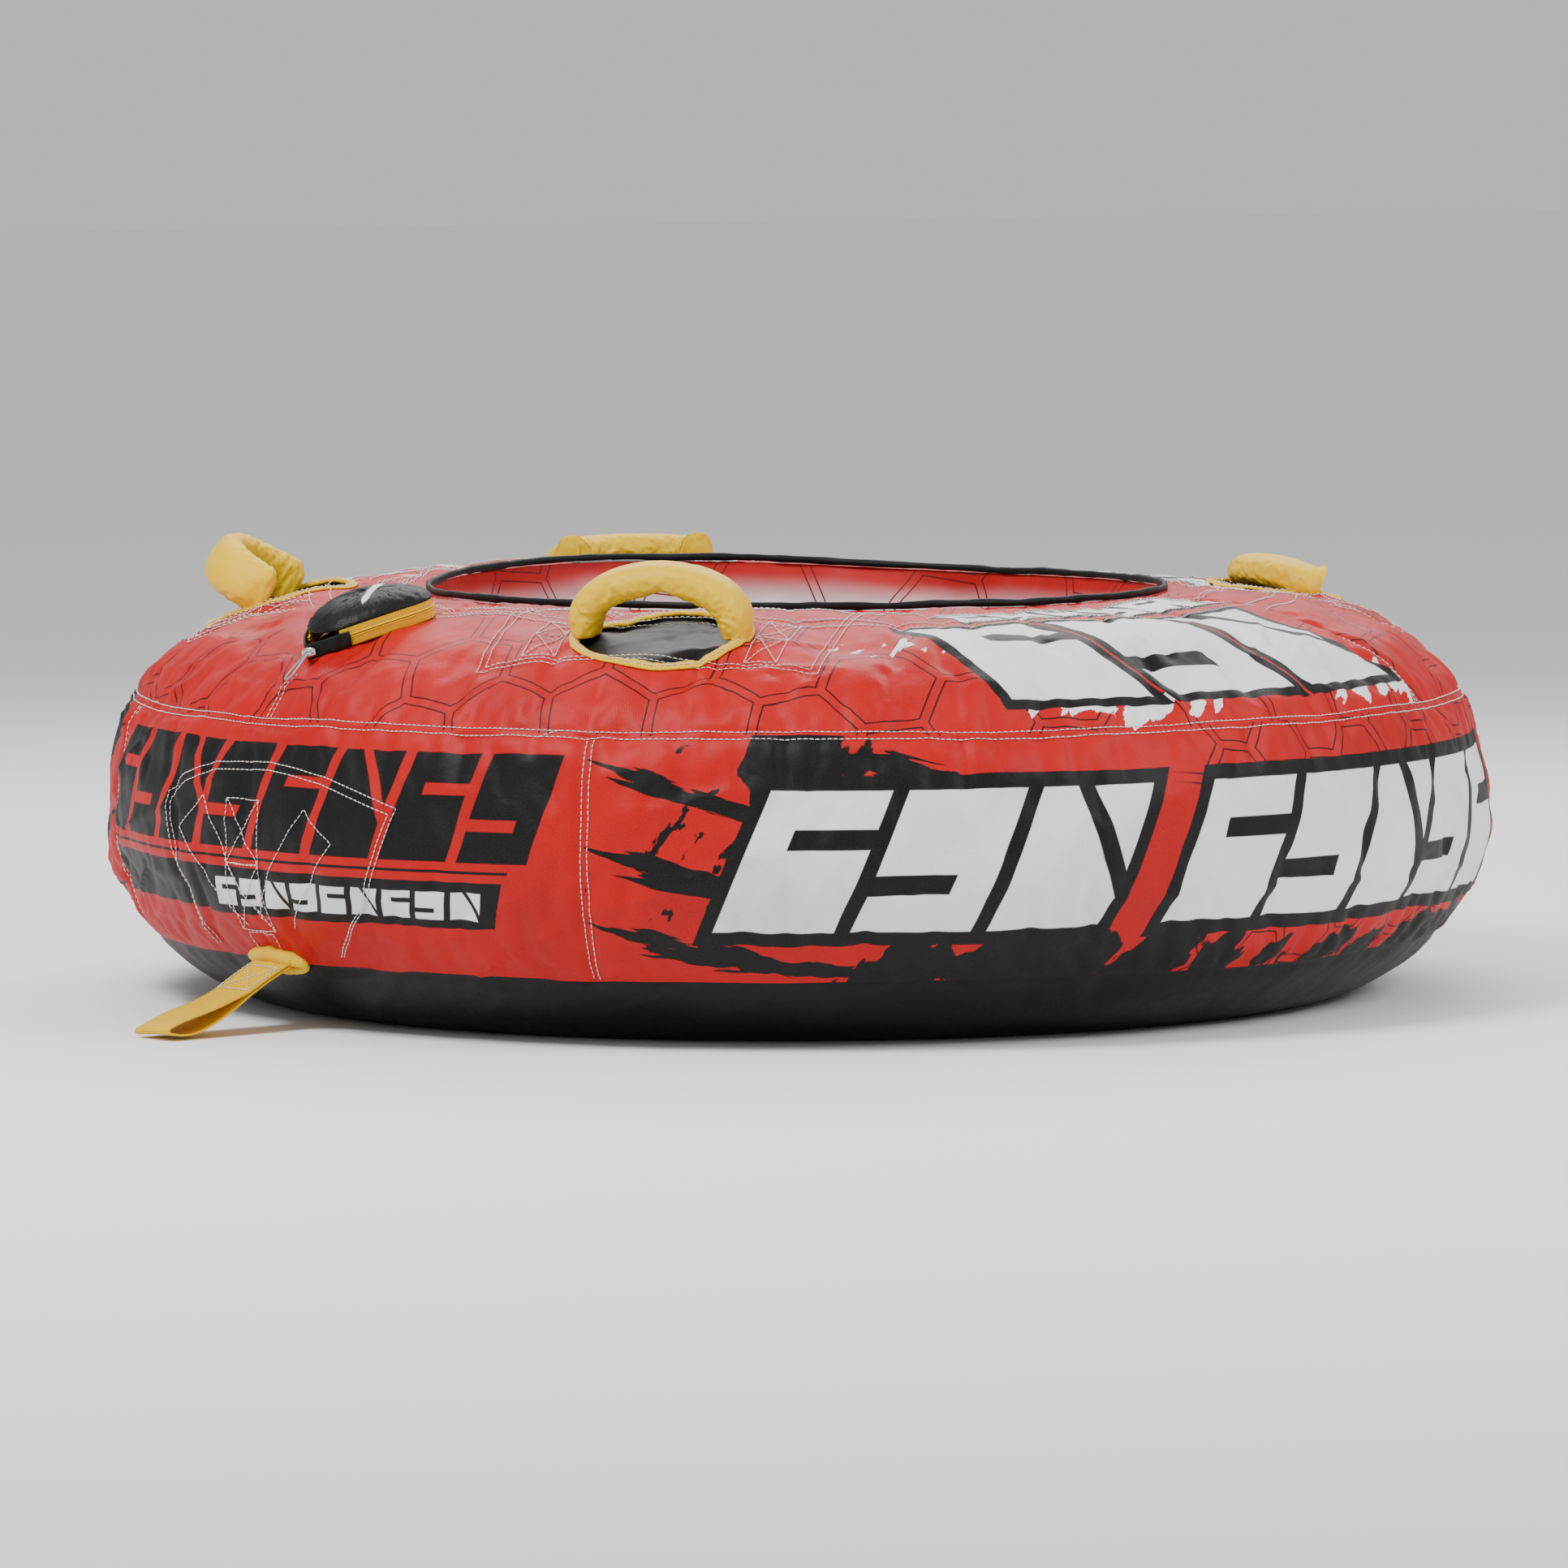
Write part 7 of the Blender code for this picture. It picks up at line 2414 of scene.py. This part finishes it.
    def slider(self) -> None:
        """The metal slider with its bridge."""
        middle, along, away, up = self.slider_axes()
        steel = self.hard.make("plated_steel", PALETTE.steel, 0.28, 1.0, 500.0, (0.25, 0.25, 0.26), 0.3)
        rings = []
        for share, wide in ((-1.0, 0.55), (-0.96, 0.66), (-0.4, 0.98), (0.1, 1.0), (0.5, 0.98), (0.96, 0.74),
                            (1.0, 0.66)):
            ring = []
            for step in range(12):
                turn = 2.0 * math.pi * (step + 0.5) / 12
                y = squared(math.cos(turn), 0.45) * 0.0021
                z = squared(math.sin(turn), 0.45) * 0.00425 * wide
                ring.append(middle + along * share * 0.006 + away * y + up * z)
            rings.append(ring)
        body = tube_piece("slider_body", rings, steel)
        finish_piece(body, "zip_slider", "steel", "zip_slider")
        rings = []
        for step in range(13):
            turn = math.pi * step / 12
            centre = middle + along * (0.0042 * math.cos(turn)) + away * (0.0019 + 0.0021 * math.sin(turn))
            side = up * 0.0011
            out = (along * math.cos(turn) + away * math.sin(turn)) * 0.00042
            rings.append([centre + side + out, centre - side + out, centre - side - out, centre + side - out])
        bridge = tube_piece("slider_bridge", rings, steel)
        soften_edges(bridge, 0.0002)
        finish_piece(bridge, "zip_slider", "steel")
        self.pull(middle + away * (0.0021 + 0.0007 + 0.0014) + up * 0.001, steel)

    def pull(self, hinge: Vector, steel: bpy.types.Material) -> None:
        """The slotted pull that hangs from the slider."""
        across = Vector((1.0, 0.0, 0.0))
        droop = math.radians(44.0)
        along = Vector((0.0, -math.cos(droop), -math.sin(droop)))
        normal = along.cross(across)
        half, length, thin = 0.0045, 0.032, 0.0007
        outer = self.plate_outline(((-0.001, 0.52), (0.25, 0.62), (0.60, 0.84), (0.82, 1.0), (0.94, 0.84),
                                    (1.0, 0.45)), half, length)
        inner = self.plate_outline(((0.42, 0.26), (0.50, 0.34), (0.66, 0.42), (0.80, 0.47), (0.88, 0.42),
                                    (0.91, 0.24)), half, length)
        rings = []
        for (u0, v0), (u1, v1) in zip(outer, inner):
            ring = []
            for u, v, lift in ((u0, v0, thin), (u0, v0, -thin), (u1, v1, -thin), (u1, v1, thin)):
                ring.append(hinge + across * u + along * v + normal * lift)
            rings.append(ring)
        piece = tube_piece("pull_tab", rings, steel, closed=True)
        soften_edges(piece, 0.00025)
        finish_piece(piece, "zip_pull", "steel", "zip_pull")
        rings = []
        for step in range(16):
            turn = 2.0 * math.pi * step / 16
            centre = hinge + along * (0.0015 + 0.0026 * math.cos(turn)) + normal * (0.0002 * math.sin(turn))
            centre += across * (0.0026 * math.sin(turn))
            out = (along * math.cos(turn) + across * math.sin(turn)).normalized()
            rings.append(round_ring(centre, out * 0.0006, normal * 0.0006, 8))
        ring = tube_piece("pull_eye", rings, steel, closed=True)
        finish_piece(ring, "zip_pull", "steel")

    def plate_outline(self, right: Sequence[Place], half: float, length: float) -> list[Place]:
        """A closed outline from the right edge of a plate, as shares of its size, and its mirror image."""
        edge = [(share_u * half, share_v * length) for share_v, share_u in right]
        knots = np.array(edge + [(-u, v) for u, v in reversed(edge)])
        return [tuple(row) for row in spline_rows(knots, np.arange(0.0, len(knots), 0.25), True)]

    def build(self) -> None:
        """Makes every piece of the hatch."""
        webbing = self.cloths.webbing()
        outside, inside = self.outline(self.end_angle), self.outline(self.end_angle, -self.tape[0])
        low = self.wall("zip_lower_strip", outside, inside, self.surface_gap - 0.0006,
                        self.surface_gap + self.tape[1],
                        0.0, webbing)
        finish_piece(low, "tube", "yellow_web", "zip_tape_lower")
        rim = self.coil_height + self.coil_gap * 0.5
        high = self.wall("zip_upper_strip", outside, inside, rim, rim + self.tape[1], 0.0, webbing)
        finish_piece(high, "hatch", "yellow_web", "zip_tape_upper")
        self.coil("zip_lower_teeth", self.coil_height - 0.0010, "tube")
        self.coil("zip_upper_teeth", self.coil_height + 0.0010, "hatch")
        self.lid()
        self.garage()
        self.slider()


# ---------------------------------------------------------------- valve and floor


@dataclass
class Turned:
    """Round parts turned about one axis.

    Attributes:
        origin: A point on the axis.
        across: One level direction.
        axis: The axis.
    """

    origin: Vector
    across: Vector
    axis: Vector

    def ring(self, radius: float, height: float, sides: int, rib: float = 0.0, ribs: int = 0) -> list[Vector]:
        """Points of one ring.

        Args:
            radius: Its radius.
            height: Its height on the axis.
            sides: How many points.
            rib: Depth of the ribs round it.
            ribs: How many ribs.

        Returns:
            The points.
        """
        other = self.axis.cross(self.across)
        result = []
        for step in range(sides):
            turn = 2.0 * math.pi * step / sides
            reach = radius - rib * (0.5 - 0.5 * math.cos(turn * ribs)) ** 3
            result.append(self.origin + self.across * (reach * math.cos(turn)) + other
                          * (reach * math.sin(turn))
                          + self.axis * height)
        return result

    def turn(self, name: str, outline: Sequence[Place], material: bpy.types.Material, closed: bool,
             sides: int = 72, rib: float = 0.0, ribs: int = 0) -> bpy.types.Object:
        """A part from its outline of radius and height."""
        rings = [self.ring(radius, height, sides, rib if 0.02 < radius < 0.3 else 0.0, ribs)
                 for radius, height in outline]
        piece = tube_piece(name, rings, material, closed=closed)
        piece.data.shade_flat()
        soften_edges(piece, 0.0003)
        return piece


@dataclass
class Valve:
    """The filling valve under the lid.

    Attributes:
        skin: The cover's skin.
        hard: Hard materials.
    """

    skin: Skin
    hard: HardStuff

    def build(self) -> None:
        """Makes the base, body, disc, cap and tether."""
        spot = Spot(self.skin, 0.0, 0.476)
        lathe = Turned(spot.origin, spot.along, spot.up)
        grey = self.hard.make("moulded_grey", PALETTE.grey, 0.5, scale=400.0)
        rubber = self.hard.make("black_rubber", PALETTE.black, 0.7, scale=500.0)
        seat = -0.0040 + 0.0004
        bottom, bore = seat - 0.012, 0.0205 - 0.0020
        base = lathe.turn("valve_flange", [(bore, bottom), (0.0205, bottom), (0.0205, seat), (0.0285, seat),
                                           (0.029, seat + 0.0006), (0.0285, seat + 0.0012),
                                           (bore, seat + 0.0012)], grey, True)
        finish_piece(base, "tube", "moulded_grey", "valve_base")
        collar = seat + 0.0012 + 0.0004
        body, inner = bore - 0.0004, bore - 0.0034
        part = lathe.turn("valve_tube", [(inner, bottom), (body, bottom), (body, collar), (0.0225, collar),
                                         (0.0225, collar + 0.003), (inner, collar + 0.003)], grey, True,
                          rib=0.0008, ribs=30)
        finish_piece(part, "tube", "moulded_grey", "valve_body")
        disc = inner - 0.0004
        flap = lathe.turn("valve_disc", [(disc, bottom + 0.002), (disc, bottom + 0.003),
                                         (0.002, bottom + 0.0033)], rubber, False)
        finish_piece(flap, "tube", "rubber", "valve_diaphragm")
        low = collar + 0.003 + 0.0004
        cap = lathe.turn("valve_lid", [(disc, low - 0.004), (disc, low), (0.0225, low),
                                       (0.0225, low + 0.0058),
                                       (0.0218, low + 0.0068), (0.019, low + 0.007), (0.0165, low + 0.0062),
                                       (0.008, low + 0.0062), (0.0065, low + 0.0066), (0.0055, low + 0.0105),
                                       (0.0050, low + 0.0105)], grey, False, rib=0.0010, ribs=36)
        finish_piece(cap, "valve_cap", "moulded_grey", "valve_cap")
        start = 0.0225 + 0.0008
        rings = []
        for step in range(13):
            share = step / 12.0
            half = 0.003 * (1.0 - 0.25 * math.sin(math.pi * share))
            level = low + 0.002 + 0.0006 * math.sin(math.pi * share)
            rings.append([spot.world(side, -start - 0.013 * share, level + up)
                          for side, up in ((-half, 0.0), (half, 0.0), (half, 0.0012), (-half, 0.0012))])
        tether = tube_piece("valve_strap", rings, grey)
        soften_edges(tether, 0.0003)
        finish_piece(tether, "tube", "moulded_grey", "valve_tether")


@dataclass
class Floor:
    """The cloth floor of the well and its drain.

    Attributes:
        skin: The cover's skin.
        cloths: Soft materials.
        hard: Hard materials.
    """

    skin: Skin
    cloths: Cloths
    hard: HardStuff

    def build(self) -> None:
        """Makes the floor sheet, the drain's rim and its mesh."""
        rough = Roughcast(23)
        columns = 240
        radii = np.concatenate((np.linspace(0.030, 0.26, 40), np.linspace(0.268, 0.3445, 14)))
        turn = np.arange(columns) / columns
        edge_height = 0.0448
        grid_turn, grid_radius = np.meshgrid(turn, radii)
        slope = np.clip((grid_radius - 0.26) / (0.345 - 0.26), 0.0, 1.0)
        height = 0.009 + slope * (edge_height - 0.009)
        wave = rough.field(grid_turn, grid_radius, 26, 0.05) + 0.5 * rough.field(grid_turn + grid_radius,
                                                                                 grid_radius,
                                                                                 48, 0.021)
        calm = np.clip((grid_radius - 0.046) / 0.03, 0.0, 1.0) * np.clip((0.345 - grid_radius) / 0.02, 0.0,
                                                                         1.0)
        height = height + np.maximum(wave, -0.6) * 0.0021 * calm
        angle = grid_turn * 2.0 * math.pi
        points = np.stack((grid_radius * np.sin(angle), AXIS_Y - grid_radius * np.cos(angle), height),
                          axis=-1)
        faces = grid_faces(len(radii), columns, close_columns=True)
        piece = new_piece("well_floor", points.reshape(-1, 3), faces,
                          self.cloths.panel(Print.PLAIN, PALETTE.black))
        chart_grid(piece, points.reshape(-1, 3)[:, :2])
        face_towards(piece, Vector((0.0, 0.0, 1.0)))
        thicken(piece, 0.0009)
        finish_piece(piece, "tube", "black_fabric", "floor_panel")
        LOG.info("%s: %.4f square metres when filled", piece.name, mesh_area(piece))
        grey = self.hard.make("drain_grey", PALETTE.grey, 0.5, scale=350.0)
        level, centre = 0.008, Vector((0.0, AXIS_Y, 0.0))
        low, top = level - 0.0046, level + 0.0016
        bore, mouth = 0.0288, 0.0248
        lathe = Turned(centre, Vector((1.0, 0.0, 0.0)), Vector((0.0, 0.0, 1.0)))
        rim = lathe.turn("drain_ring", [(mouth, low), (0.0415, low), (0.042, low + 0.0012),
                                        (0.042, level - 0.0006),
                                        (bore, level - 0.0006), (bore, top), (0.042, top),
                                        (0.0412, top + 0.0016), (0.038, top + 0.002), (mouth, top + 0.002)],
                         grey, True, 96)
        finish_piece(rim, "tube", "moulded_grey", "drain_rim")
        mesh = bpy.data.objects["drain_mesh"]
        mesh.data.materials.clear()
        mesh.data.materials.append(grey)
        soften_edges(mesh, 0.0002)


# ---------------------------------------------------------------- whole


HANDLE_SIZES = (
    ("front_left", 36.5, -5.0, 0.060, 1.0, 0.9),
    ("front_right", -47.5, 47.0, 0.074, 1.0, 0.4),
    ("rear_right", -110.5, 70.0, 0.052, 0.1, 0.3),
    ("rear_left", 160.0, -76.0, 0.046, 0.1, 0.3),
)
HANDLE_HOMES = {"front_left": "top_panel_left", "front_right": "top_panel_right",
                "rear_right": "top_panel_right", "rear_left": "top_panel_rear"}


def main() -> None:
    """Builds the studio, then the object from its skin outwards."""
    logging.basicConfig(level=logging.INFO, format="%(message)s")
    studio = Studio()
    studio.camera()
    cloths = Cloths(Effects())
    hard = HardStuff(cloths)
    skin = Skin()
    LOG.info("skin: %d by %d points", *skin.points.shape[:2])
    needle = Needlework(skin, cloths.thread("thread_white", PALETTE.thread))
    handles = [Handle(*sizes, skin, cloths, needle) for sizes in HANDLE_SIZES]
    hatch = Hatch(skin, cloths, hard)
    holes: dict[str, list[Hole]] = {"top_panel_left": [hatch.hole()], "top_panel_right": [hatch.hole()]}
    for handle in handles:
        holes.setdefault(HANDLE_HOMES[handle.name], []).append(handle.hole())
    cover = Cover(skin, cloths, hard, needle, holes)
    cover.build()
    cover.seams()
    for handle in handles:
        handle.build()
        LOG.info("handle %s", handle.name)
    for part in (TowPoint(skin, cloths, needle), hatch, Valve(skin, hard), Floor(skin, cloths, hard)):
        part.build()
        LOG.info("%s built", type(part).__name__)
    studio.build()


if __name__ == "__main__":
    main()
